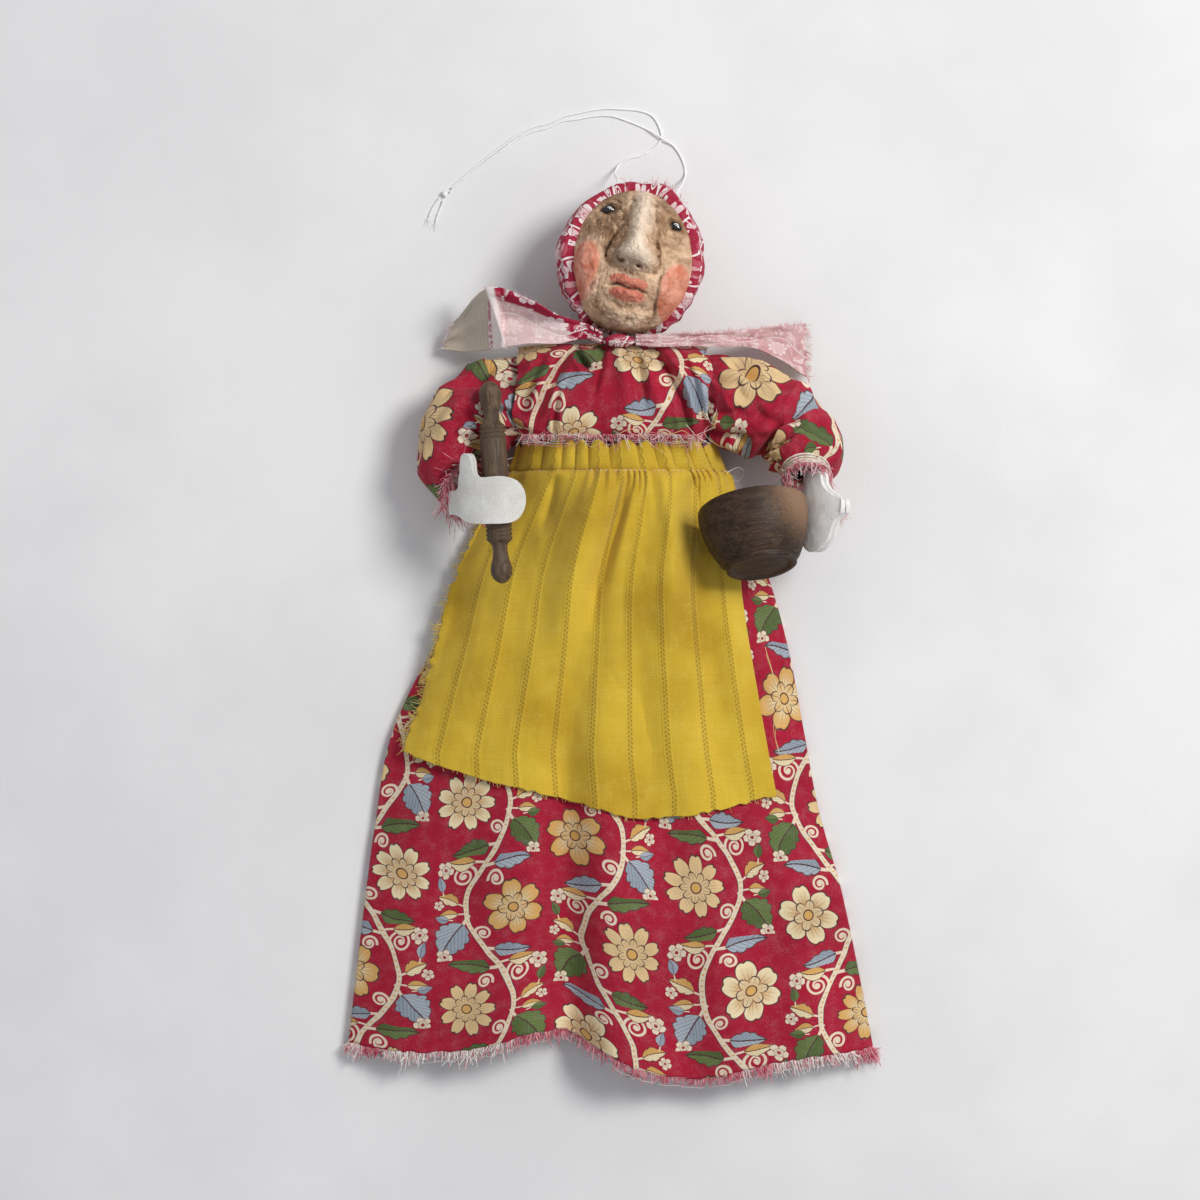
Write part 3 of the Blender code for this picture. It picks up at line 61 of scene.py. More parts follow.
Points = np.ndarray


# Numbers and shapes

def table_value(table: Table, places: Points) -> Points:
    """Read a smooth curve through (place, value) pairs.

    Args:
        table: The pairs, in order of place.
        places: Where to read it; past the ends it keeps the end values.

    Returns:
        The values at the places.
    """
    xs = np.array([entry[0] for entry in table], float)
    ys = np.array([entry[1] for entry in table], float)
    last = len(xs) - 1
    before = np.maximum(np.arange(last + 1) - 1, 0)
    after = np.minimum(np.arange(last + 1) + 1, last)
    slopes = (ys[after] - ys[before]) / (xs[after] - xs[before])
    p = np.clip(np.asarray(places, float), xs[0], xs[-1])
    i = np.clip(np.searchsorted(xs, p, side="right") - 1, 0, last - 1)
    span = xs[i + 1] - xs[i]
    t = (p - xs[i]) / span
    return (
        (2 * t**3 - 3 * t**2 + 1) * ys[i] + (t**3 - 2 * t**2 + t) * span * slopes[i]
        + (3 * t**2 - 2 * t**3) * ys[i + 1] + (t**3 - t**2) * span * slopes[i + 1]
    )


def hill(distance: Points, spread: Points) -> Points:
    """A smooth hill that is 1 in the middle and falls away over the spread."""
    return np.exp(-((distance / spread) ** 2))


def step(value: Points, low: float, high: float) -> Points:
    """A smooth step from 0 at low to 1 at high, which may be the lower of the two."""
    t = np.clip((value - low) / (high - low), 0.0, 1.0)
    return t * t * (3 - 2 * t)


def lattice_value(ix: Points, iy: Points, iz: Points, seed: int) -> Points:
    """A fixed number from -1 to 1 for each whole place in space.

    Args:
        ix, iy, iz: Whole places in space.
        seed: Which set of numbers.

    Returns:
        The numbers.
    """
    mixed = (ix * 73856093) ^ (iy * 19349663) ^ (iz * 83492791) ^ (seed * 2654435 + 97)
    mixed = ((mixed ^ (mixed >> 13)) * 1274126177) & 0x7FFFFFFF
    mixed = mixed ^ (mixed >> 15)
    return (mixed & 0xFFFF) / 32767.5 - 1.0


def noise(x: Points, y: Points, z: Points | float = 0.0, seed: int = 0) -> Points:
    """Smooth noise from -1 to 1 with features one unit apart.

    Args:
        x, y, z: Places, one unit for a feature.
        seed: Which pattern.

    Returns:
        The noise at each place.
    """
    x, y, z = np.broadcast_arrays(np.asarray(x, float), y, z)
    ix, iy, iz = (np.floor(v).astype(np.int64) for v in (x, y, z))
    fx, fy, fz = x - ix, y - iy, z - iz
    fx, fy, fz = (f * f * (3 - 2 * f) for f in (fx, fy, fz))
    total = np.zeros_like(fx)
    for dx in (0, 1):
        for dy in (0, 1):
            for dz in (0, 1):
                weight = (fx if dx else 1 - fx) * (fy if dy else 1 - fy) * (fz if dz else 1 - fz)
                total += weight * lattice_value(ix + dx, iy + dy, iz + dz, seed)
    return total


def fractal(x: Points, y: Points, z: Points | float = 0.0, octaves: int = 3, seed: int = 0) -> Points:
    """Noise at several scales, each finer one half as strong.

    Args:
        x, y, z: Places, one unit for the broadest feature.
        octaves: How many scales are added.
        seed: Which pattern.

    Returns:
        The noise at each place.
    """
    total, strength = 0.0, 1.0
    for octave in range(octaves):
        scale = 2.0**octave
        total = total + strength * noise(x * scale, y * scale, np.asarray(z) * scale, seed + octave)
        strength *= 0.5
    return total


def segment_distance(x: Points, y: Points, route: Sequence[tuple[float, float]]) -> tuple[Points, Points]:
    """Distance to a broken line, and the share of the way along it at its nearest point.

    Args:
        x, y: The points to measure from.
        route: The line's corners.

    Returns:
        The distances and the shares along the line.
    """
    best = np.full(np.shape(x), np.inf)
    along = np.zeros(np.shape(x))
    count = len(route) - 1
    for i, ((x0, y0), (x1, y1)) in enumerate(zip(route, route[1:])):
        dx, dy = x1 - x0, y1 - y0
        t = np.clip(((x - x0) * dx + (y - y0) * dy) / (dx * dx + dy * dy), 0, 1)
        distance = np.hypot(x - x0 - t * dx, y - y0 - t * dy)
        nearer = distance < best
        best = np.where(nearer, distance, best)
        along = np.where(nearer, (i + t) / count, along)
    return best, along


def through(route: Sequence[Sequence[float]], count: int) -> Points:
    """Evenly spaced points on a smooth curve through a route's own points.

    Args:
        route: The points of the route.
        count: How many points to give.

    Returns:
        The points.
    """
    points = np.array(route, float)
    lengths = np.concatenate([[0.0], np.cumsum(np.linalg.norm(np.diff(points, axis=0), axis=1))])
    stops = np.linspace(0.0, lengths[-1], count)
    return np.stack(
        [table_value(list(zip(lengths, points[:, k])), stops) for k in range(points.shape[1])], axis=1
    )


def unit(vectors: Points) -> Points:
    """Vectors made one long."""
    return vectors / np.maximum(np.linalg.norm(vectors, axis=-1, keepdims=True), 1e-12)


# Making objects

def add_object(name: str, mesh: bpy.types.Mesh) -> bpy.types.Object:
    """Link a smooth-shaded object for a mesh into the scene.

    Args:
        name: The object's name.
        mesh: Its mesh.

    Returns:
        The object.
    """
    made = bpy.data.objects.new(name, mesh)
    bpy.context.scene.collection.objects.link(made)
    mesh.shade_smooth()
    return made


def from_bmesh(name: str, bm: bmesh.types.BMesh) -> bpy.types.Object:
    """Turn a finished bmesh into an object.

    Args:
        name: The object's name.
        bm: The finished bmesh.

    Returns:
        The object.
    """
    mesh = bpy.data.meshes.new(name)
    bm.to_mesh(mesh)
    bm.free()
    return add_object(name, mesh)


def cloth_piece(
    name: str, across: int, down: int, shape: Callable[[Points, Points], tuple[Points, Points]],
    closed: bool = False, thickness: float = 0.0, offset: float = -1.0, shares: bool = False,
) -> bpy.types.Object:
    """Shape cloth on a flat grid.

    Args:
        name: The object's name.
        across: Steps across the cloth.
        down: Steps down the cloth.
        shape: Takes shares across and down, and gives the points and their places on the flat cloth,
            in metres.
        closed: Whether the first and last columns meet in a seam.
        thickness: The cloth's thickness; none leaves a bare surface.
        offset: To which side it thickens, as Solidify counts it.
        shares: Whether the material can read the shares across and down as "upper" and "along".

    Returns:
        The cloth's object.
    """
    bm = bmesh.new()
    bmesh.ops.create_grid(bm, x_segments=across, y_segments=down, size=0.5)
    mesh = bpy.data.meshes.new(name)
    bm.to_mesh(mesh)
    bm.free()
    flat = np.empty(len(mesh.vertices) * 3)
    mesh.vertices.foreach_get("co", flat)
    flat = flat.reshape(-1, 3)
    points, places = shape(flat[:, 0] + 0.5, flat[:, 1] + 0.5)
    mesh.vertices.foreach_set("co", np.asarray(points, float).ravel())
    corner = np.empty(len(mesh.loops), np.int32)
    mesh.loops.foreach_get("vertex_index", corner)
    layer = mesh.uv_layers.new(name="Cloth")
    layer.uv.foreach_set("vector", places[corner].astype(np.float32).ravel())
    if closed:
        bm = bmesh.new()
        bm.from_mesh(mesh)
        bmesh.ops.remove_doubles(bm, verts=bm.verts, dist=1e-6)
        bm.to_mesh(mesh)
        bm.free()
    mesh.update()
    made = add_object(name, mesh)
    if shares:
        set_attribute(made, "upper", flat[:, 0] + 0.5)
        set_attribute(made, "along", flat[:, 1] + 0.5)
    if thickness:
        wall = made.modifiers.new("Cloth", "SOLIDIFY")
        wall.thickness = thickness
        wall.offset = offset
        wall.use_even_offset = False
    return made


def set_attribute(made: bpy.types.Object, name: str, values: Points) -> None:
    """Keep one number for each vertex of an object, for its material."""
    layer = made.data.attributes.new(name, "FLOAT", "POINT")
    layer.data.foreach_set("value", np.asarray(values, np.float32))


def vertex_points(made: bpy.types.Object) -> Points:
    """The points of an object's mesh.

    Args:
        made: The object.

    Returns:
        Its points, one in each row.
    """
    flat = np.empty(len(made.data.vertices) * 3)
    made.data.vertices.foreach_get("co", flat)
    return flat.reshape(-1, 3)


def apply_curve(made: bpy.types.Object) -> bpy.types.Object:
    """Replace a curve object by the same one as a mesh.

    Args:
        made: The curve object.

    Returns:
        The mesh object.
    """
    bpy.context.view_layer.update()
    shaped = made.evaluated_get(bpy.context.evaluated_depsgraph_get())
    mesh = bpy.data.meshes.new_from_object(shaped)
    name = made.name
    curve = made.data
    bpy.data.objects.remove(made, do_unlink=True)
    bpy.data.curves.remove(curve)
    mesh.name = name
    return add_object(name, mesh)


def strand_bundle(
    name: str, strands: Sequence[tuple[Points, float, int]], finishes: Sequence[bpy.types.Material],
    sides: int = 0,
) -> bpy.types.Object:
    """Many separate thin strands as one mesh.

    Args:
        name: The object's name.
        strands: For each strand its points, its radius and the number of its material.
        finishes: The materials, in order.
        sides: The bevel's resolution; none makes four sides.

    Returns:
        The mesh object.
    """
    curve = bpy.data.curves.new(name, "CURVE")
    curve.dimensions = "3D"
    curve.bevel_depth = 1.0
    curve.bevel_resolution = sides
    curve.use_fill_caps = True
    for material in finishes:
        curve.materials.append(material)
    for points, radius, slot in strands:
        spline = curve.splines.new("POLY")
        spline.points.add(len(points) - 1)
        spline.points.foreach_set("co", np.column_stack([points, np.ones(len(points))]).ravel())
        taper = radius * np.linspace(1.0, 0.7, len(points))
        spline.points.foreach_set("radius", taper)
        spline.material_index = slot
    made = bpy.data.objects.new(name, curve)
    bpy.context.scene.collection.objects.link(made)
    return apply_curve(made)


def swept_thread(
    name: str, path: Points, diameter: float, plies: int = 2, pitch: float = 0.0012, closed_ends: bool = True,
) -> bpy.types.Object:
    """A plied thread: a round grid swept along a path, with the plies as lobes that turn on the way.

    Args:
        name: The object's name.
        path: Points on the thread's middle line.
        diameter: The thread's diameter over its lobes.
        plies: How many strands are twisted together.
        pitch: The length of one full turn of the twist.
        closed_ends: Whether the ends are drawn to a point.

    Returns:
        The thread's mesh object.
    """
    steps = np.linalg.norm(np.diff(path, axis=0), axis=1)
    lengths = np.concatenate([[0.0], np.cumsum(steps)])
    total = lengths[-1]
    rings = max(12, int(total / pitch * 7))
    tangent = unit(np.gradient(path, axis=0))
    around = 8

    def shape(u: Points, v: Points) -> tuple[Points, Points]:
        """Place the grid's points round the path."""
        at = v * total
        centre = np.stack([np.interp(at, lengths, path[:, k]) for k in range(3)], axis=1)
        along = unit(np.stack([np.interp(at, lengths, tangent[:, k]) for k in range(3)], axis=1))
        side = unit(np.cross(along, np.array([0.013, 0.031, 1.0])))
        up = np.cross(side, along)
        angle = 2 * np.pi * u
        twist = 2 * np.pi * at / pitch
        lobe = np.abs(np.cos((angle - twist) * plies / 2)) ** 0.6
        radius = diameter / 2 * (0.68 + 0.32 * lobe)
        if closed_ends:
            radius = radius * np.sqrt(np.clip(np.minimum(at, total - at) / (diameter / 2), 0.0, 1.0))
        ring = side * np.cos(angle)[:, None] + up * np.sin(angle)[:, None]
        return centre + ring * radius[:, None], np.stack([u * diameter * 3, at], axis=1)

    return cloth_piece(name, around, rings, shape, closed=True)


# Shader nodes

class Graph:
    """Short calls for adding and joining shader nodes in one tree."""

    def __init__(self, tree: bpy.types.NodeTree) -> None:
        """Keep the tree that nodes are added to."""
        self.tree = tree

    def add(self, kind: str, **settings: object) -> bpy.types.Node:
        """Add a node of a kind, with its settings.

        Args:
            kind: The node's type.
            settings: Values for its properties.

        Returns:
            The node.
        """
        made = self.tree.nodes.new(kind)
        for key, value in settings.items():
            setattr(made, key, value)
        return made

    def feed(self, socket: bpy.types.NodeSocket, value: object) -> None:
        """Join a socket to an input, or set the input's own value."""
        if isinstance(value, bpy.types.NodeSocket):
            self.tree.links.new(value, socket)
        else:
            socket.default_value = value

    def math(
        self, operation: str, a: object, b: object = 0.0, c: object = 0.0, clamp: bool = False
    ) -> bpy.types.NodeSocket:
        """One number worked out from others.

        Args:
            operation: What is worked out.
            a, b, c: The numbers or sockets it takes.
            clamp: Whether the result is kept from 0 to 1.

        Returns:
            The result.
        """
        node = self.add("ShaderNodeMath", operation=operation, use_clamp=clamp)
        for socket, value in zip(node.inputs, (a, b, c)):
            self.feed(socket, value)
        return node.outputs[0]

    def vector(
        self, operation: str, a: object, b: object = (0.0, 0.0, 0.0), scale: object = 1.0
    ) -> bpy.types.NodeSocket:
        """One vector, or its length, worked out from others.

        Args:
            operation: What is worked out.
            a, b: The vectors or sockets it takes.
            scale: The number that it scales by.

        Returns:
            The result.
        """
        node = self.add("ShaderNodeVectorMath", operation=operation)
        self.feed(node.inputs[0], a)
        if operation == "SCALE":
            self.feed(node.inputs["Scale"], scale)
        else:
            self.feed(node.inputs[1], b)
        return node.outputs["Value" if operation in ("LENGTH", "DISTANCE", "DOT_PRODUCT") else "Vector"]

    def mix(self, factor: object, a: object, b: object, blend: str = "MIX") -> bpy.types.NodeSocket:
        """A colour between two others.

        Args:
            factor: How much of the second colour shows.
            a, b: The two colours.
            blend: How they are blended.

        Returns:
            The colour.
        """
        node = self.add("ShaderNodeMix", data_type="RGBA", blend_type=blend)
        self.feed(node.inputs[0], factor)
        self.feed(node.inputs[6], a)
        self.feed(node.inputs[7], b)
        return node.outputs[2]

    def smooth(
        self, value: object, low: float, high: float, to_low: float = 0.0, to_high: float = 1.0
    ) -> bpy.types.NodeSocket:
        """A smooth step of a number between two others.

        Args:
            value: The number.
            low, high: Where the step begins and ends.
            to_low, to_high: The values before and after the step.

        Returns:
            The stepped number.
        """
        node = self.add("ShaderNodeMapRange", interpolation_type="SMOOTHSTEP")
        for socket, number in zip(node.inputs, (value, low, high, to_low, to_high)):
            self.feed(socket, number)
        return node.outputs[0]

    def split(self, vector: object) -> tuple[bpy.types.NodeSocket, ...]:
        """The three numbers of a vector.

        Args:
            vector: The vector.

        Returns:
            Its three numbers.
        """
        node = self.add("ShaderNodeSeparateXYZ")
        self.feed(node.inputs[0], vector)
        return tuple(node.outputs)

    def join(self, x: object, y: object, z: object = 0.0) -> bpy.types.NodeSocket:
        """A vector of three numbers.

        Args:
            x, y, z: The three numbers.

        Returns:
            The vector.
        """
        node = self.add("ShaderNodeCombineXYZ")
        for socket, value in zip(node.inputs, (x, y, z)):
            self.feed(socket, value)
        return node.outputs[0]

    def noise(
        self, vector: object, scale: float, detail: float = 2.0, rough: float = 0.5, warp: float = 0.0
    ) -> bpy.types.NodeSocket:
        """Noise from 0 to 1 on a vector.

        Args:
            vector: The place.
            scale: Features for each unit.
            detail: How many finer scales.
            rough: How strong the finer scales are.
            warp: How far the pattern is bent.

        Returns:
            The noise.
        """
        node = self.add("ShaderNodeTexNoise")
        self.feed(node.inputs["Vector"], vector)
        for key, value in (("Scale", scale), ("Detail", detail), ("Roughness", rough), ("Distortion", warp)):
            node.inputs[key].default_value = value
        return node.outputs[0]

    def scaled(self, vector: object, by: tuple[float, float, float]) -> bpy.types.NodeSocket:
        """A vector stretched along its axes."""
        return self.vector("MULTIPLY", vector, by)

    def attribute(self, name: str) -> bpy.types.NodeSocket:
        """A number that a mesh keeps for each vertex."""
        return self.add("ShaderNodeAttribute", attribute_name=name).outputs["Fac"]

    def cloth_place(self) -> bpy.types.NodeSocket:
        """The place on the flat cloth, in metres."""
        return self.add("ShaderNodeUVMap", uv_map="Cloth").outputs[0]

    def object_place(self) -> bpy.types.NodeSocket:
        """The place in the object's own frame, in metres."""
        return self.add("ShaderNodeTexCoord").outputs["Object"]

    def bump(
        self, height: object, strength: float, distance: float, under: object = None
    ) -> bpy.types.NodeSocket:
        """A normal bent by a height, over another normal if one is given.

        Args:
            height: The height.
            strength: How strong the bend is.
            distance: What a height of 1 stands for, in metres.
            under: A normal to add to.

        Returns:
            The normal.
        """
        node = self.add("ShaderNodeBump")
        node.inputs["Strength"].default_value = strength
        node.inputs["Distance"].default_value = distance
        self.feed(node.inputs["Height"], height)
        if under is not None:
            self.feed(node.inputs["Normal"], under)
        return node.outputs[0]

    def group(self, tree: bpy.types.NodeTree, **values: object) -> bpy.types.Node:
        """Place a shared node group and feed its inputs, whose names have spaces for underscores.

        Args:
            tree: The shared group.
            values: What its inputs get.

        Returns:
            The placed group.
        """
        node = self.add("ShaderNodeGroup", node_tree=tree)
        for key, value in values.items():
            self.feed(node.inputs[key.replace("_", " ")], value)
        return node


SOCKETS = {"f": "NodeSocketFloat", "v": "NodeSocketVector", "c": "NodeSocketColor"}


def shared_group(
    name: str, inputs: Sequence[tuple[str, str]], outputs: Sequence[tuple[str, str]]
) -> tuple[Graph, dict, bpy.types.Node]:
    """Start a shared node group.

    Args:
        name: The group's name.
        inputs: Each input's name and kind, f for a number, v for a vector, c for a colour.
        outputs: The same for the outputs.

    Returns:
        The graph to add to, the inputs' sockets by name, and the node that takes the results.
    """
    tree = bpy.data.node_groups.new(name, "ShaderNodeTree")
    for label, kind in inputs:
        tree.interface.new_socket(label, in_out="INPUT", socket_type=SOCKETS[kind])
    for label, kind in outputs:
        tree.interface.new_socket(label, in_out="OUTPUT", socket_type=SOCKETS[kind])
    graph = Graph(tree)
    given = graph.add("NodeGroupInput")
    result = graph.add("NodeGroupOutput")
    return graph, {socket.name: socket for socket in given.outputs}, result


def flower_group() -> bpy.types.NodeTree:
    """A round blossom with petals, drawn over a ground colour.

    Returns:
        The node group.
    """
    g, i, out = shared_group("Printed blossom", (
        ("Place", "v"), ("Ground", "c"), ("Tip", "c"), ("Base", "c"), ("Line", "c"), ("Eye", "c"),
        ("X", "f"), ("Y", "f"), ("Radius", "f"), ("Petals", "f"), ("Turn", "f"),
    ), (("Color", "c"),))
    x, y, _ = g.split(g.vector("SUBTRACT", i["Place"], g.join(i["X"], i["Y"])))
    r = g.math(
        "DIVIDE", g.math("POWER", g.math("ADD", g.math("MULTIPLY", x, x), g.math("MULTIPLY", y, y)), 0.5),
        i["Radius"]
    )
    angle = g.math("ADD", g.math("ARCTAN2", y, x), i["Turn"])
    half = g.math("MULTIPLY", angle, g.math("MULTIPLY", i["Petals"], 0.5))
    crest = g.math("ABSOLUTE", g.math("COSINE", half))
    trough = g.math("ABSOLUTE", g.math("SINE", half))
    reach = g.math("ADD", 0.56, g.math("MULTIPLY", 0.42, g.math("POWER", crest, 0.75)))
    notch = g.math("MULTIPLY", g.math("POWER", crest, 26.0), 0.07)
    reach = g.math("SUBTRACT", reach, notch)
    share = g.math("DIVIDE", r, reach)
    fill = g.mix(g.smooth(share, 0.18, 0.95), i["Base"], i["Tip"])
    streak = g.math("SINE", g.math("MULTIPLY", angle, g.math("MULTIPLY", i["Petals"], 5.0)))
    streak_mask = g.math("MULTIPLY", g.smooth(streak, 0.55, 0.95), g.smooth(share, 0.92, 0.35))
    fill = g.mix(g.math("MULTIPLY", streak_mask, 0.55), fill, i["Line"])
    gap = g.math("MULTIPLY", g.smooth(crest, 0.20, 0.07), g.smooth(share, 0.25, 0.5))
    fill = g.mix(g.math("MULTIPLY", gap, 0.9), fill, i["Line"])
    inner = g.math("ADD", 0.27, g.math("MULTIPLY", 0.22, g.math("POWER", trough, 0.7)))
    beside = g.math("ABSOLUTE", g.math("SUBTRACT", r, inner))
    lit = g.math("MULTIPLY", g.smooth(g.math("SUBTRACT", inner, r), 0.0, 0.03), 0.45)
    fill = g.mix(lit, fill, i["Tip"])
    fill = g.mix(g.smooth(beside, 0.030, 0.012), fill, i["Line"])
    fill = g.mix(g.smooth(r, 0.17, 0.14), fill, i["Eye"])
    fill = g.mix(g.smooth(g.math("ABSOLUTE", g.math("SUBTRACT", r, 0.165)), 0.03, 0.012), fill, i["Line"])
    edge = g.math("ABSOLUTE", g.math("SUBTRACT", r, reach))
    shape = g.mix(g.smooth(g.math("SUBTRACT", reach, r), -0.015, 0.015), i["Ground"], fill)
    g.feed(out.inputs["Color"], g.mix(g.smooth(edge, 0.036, 0.014), shape, i["Line"]))
    return g.tree


def leaf_group() -> bpy.types.NodeTree:
    """A leaf in two tones with a midrib and side veins, drawn over a ground colour.

    Returns:
        The node group.
    """
    g, i, out = shared_group("Printed leaf", (
        ("Place", "v"), ("Ground", "c"), ("Light", "c"), ("Dark", "c"), ("Line", "c"), ("Stem", "c"),
        ("X", "f"), ("Y", "f"), ("Length", "f"), ("Width", "f"), ("Turn", "f"), ("Curl", "f"), ("Lobes", "f"),
    ), (("Color", "c"),))
    x, y, _ = g.split(g.vector("SUBTRACT", i["Place"], g.join(i["X"], i["Y"])))
    cosine, sine = g.math("COSINE", i["Turn"]), g.math("SINE", i["Turn"])
    a = g.math("ADD", g.math("MULTIPLY", x, cosine), g.math("MULTIPLY", y, sine))
    b = g.math("SUBTRACT", g.math("MULTIPLY", y, cosine), g.math("MULTIPLY", x, sine))
    a, b = g.math("DIVIDE", a, i["Length"]), g.math("DIVIDE", b, i["Length"])
    way = a
    inside_ends = g.math("MULTIPLY", g.smooth(a, 0.0, 0.012), g.smooth(a, 1.0, 0.988))
    a = g.math("MINIMUM", g.math("MAXIMUM", a, 0.0), 1.0)
    bow = g.math("MULTIPLY", i["Curl"], g.math("MULTIPLY", a, g.math("SUBTRACT", 1.0, a)))
    b = g.math("SUBTRACT", b, bow)
    side = g.math("ABSOLUTE", b)
    swell = g.math("SINE", g.math("MULTIPLY", g.math("POWER", a, 0.72), math.pi))
    lobes = g.math("ABSOLUTE", g.math("SINE", g.math("MULTIPLY", a, g.math("MULTIPLY", i["Lobes"], math.pi))))
    lobes = g.math("ADD", 0.74, g.math("MULTIPLY", 0.26, g.math("POWER", lobes, 0.5)))
    width = g.math("MULTIPLY", g.math("MULTIPLY", swell, lobes), i["Width"])
    inside = g.math("SUBTRACT", width, side)
    fill = g.mix(g.smooth(b, -0.004, 0.004), i["Dark"], i["Light"])
    vein = g.math("SINE", g.math("MULTIPLY", g.math("SUBTRACT", a, g.math("MULTIPLY", side, 1.5)), 44.0))
    fill = g.mix(g.math("MULTIPLY", g.smooth(vein, 0.72, 0.98), 0.5), fill, i["Line"])
    fill = g.mix(g.smooth(side, 0.022, 0.010), fill, i["Line"])
    fill = g.mix(g.smooth(inside, 0.034, 0.016), fill, i["Line"])
    mask = g.math("MULTIPLY", g.smooth(inside, -0.010, 0.010), inside_ends)
    stalk = g.math(
        "MULTIPLY", g.smooth(side, 0.046, 0.030),
        g.math("MULTIPLY", g.smooth(way, -0.30, -0.28), g.smooth(way, 0.05, 0.02))
    )
    ground = g.mix(stalk, i["Ground"], i["Stem"])
    g.feed(out.inputs["Color"], g.mix(mask, ground, fill))
    return g.tree


def tendril_group() -> bpy.types.NodeTree:
    """A tendril that winds up into a tight spiral with a bud in its middle, drawn over a ground colour.

    Returns:
        The node group.
    """
    g, i, out = shared_group("Printed tendril", (
        ("Place", "v"), ("Ground", "c"), ("Stem", "c"),
        ("X", "f"), ("Y", "f"), ("Radius", "f"), ("Start", "f"), ("Sweep", "f"), ("Width", "f"),
        ("Hand", "f"),
    ), (("Color", "c"),))
    x, y, _ = g.split(g.vector("SUBTRACT", i["Place"], g.join(i["X"], i["Y"])))
    y = g.math("MULTIPLY", y, i["Hand"])
    r = g.math("POWER", g.math("ADD", g.math("MULTIPLY", x, x), g.math("MULTIPLY", y, y)), 0.5)
    angle = g.math("SUBTRACT", g.math("ARCTAN2", y, x), i["Start"])
    turn = g.math("FRACT", g.math("DIVIDE", angle, 2 * math.pi))
    mask: object = 0.0
    for winding in range(3):
        t = g.math("DIVIDE", g.math("MULTIPLY", g.math("ADD", turn, winding), 2 * math.pi), i["Sweep"])
        want = g.math("MULTIPLY", i["Radius"], g.math("SUBTRACT", 1.0, g.math("MULTIPLY", t, 0.88)))
        off = g.math("ABSOLUTE", g.math("SUBTRACT", r, want))
        width = g.math("MULTIPLY", i["Width"], g.math("SUBTRACT", 1.0, g.math("MULTIPLY", t, 0.40)))
        part = g.math(
            "MULTIPLY", g.smooth(g.math("SUBTRACT", width, off), -0.10, 0.10), g.smooth(t, 1.0, 0.97)
        )
        mask = g.math("MAXIMUM", mask, part)
    leaflet = g.math("DIVIDE", g.vector("DISTANCE", g.join(x, y), g.join(0.0, 0.0)), i["Width"])
    mask = g.math("MAXIMUM", mask, g.smooth(leaflet, 2.1, 1.7))
    g.feed(out.inputs["Color"], g.mix(mask, i["Ground"], i["Stem"]))
    return g.tree


@dataclass(frozen=True)
class PrintColours:
    """The inks of a print."""
    ground: Colour
    vine: Colour
    tip: Colour
    base: Colour
    gold: Colour
    light: Colour
    dark: Colour
    soft: Colour
    deep: Colour
    line: Colour
    eye: Colour


DRESS_INKS = PrintColours(
    ground=(0.420, 0.007, 0.034, 1.0), vine=(0.80, 0.66, 0.50, 1.0), tip=(0.84, 0.70, 0.44, 1.0),
    base=(0.60, 0.32, 0.11, 1.0), gold=(0.68, 0.38, 0.11, 1.0), light=(0.38, 0.43, 0.49, 1.0),
    dark=(0.130, 0.190, 0.055, 1.0), soft=(0.29, 0.345, 0.41, 1.0), deep=(0.085, 0.135, 0.035, 1.0),
    line=(0.075, 0.030, 0.030, 1.0), eye=(0.42, 0.02, 0.04, 1.0),
)
KERCHIEF_INKS = PrintColours(
    ground=(0.400, 0.014, 0.050, 1.0), vine=(0.88, 0.80, 0.80, 1.0), tip=(0.88, 0.80, 0.80, 1.0),
    base=(0.60, 0.25, 0.28, 1.0), gold=(0.78, 0.58, 0.59, 1.0), light=(0.84, 0.72, 0.72, 1.0),
    dark=(0.66, 0.36, 0.39, 1.0), soft=(0.60, 0.24, 0.28, 1.0), deep=(0.50, 0.09, 0.13, 1.0),
    line=(0.40, 0.016, 0.050, 1.0), eye=(0.40, 0.014, 0.05, 1.0),
)


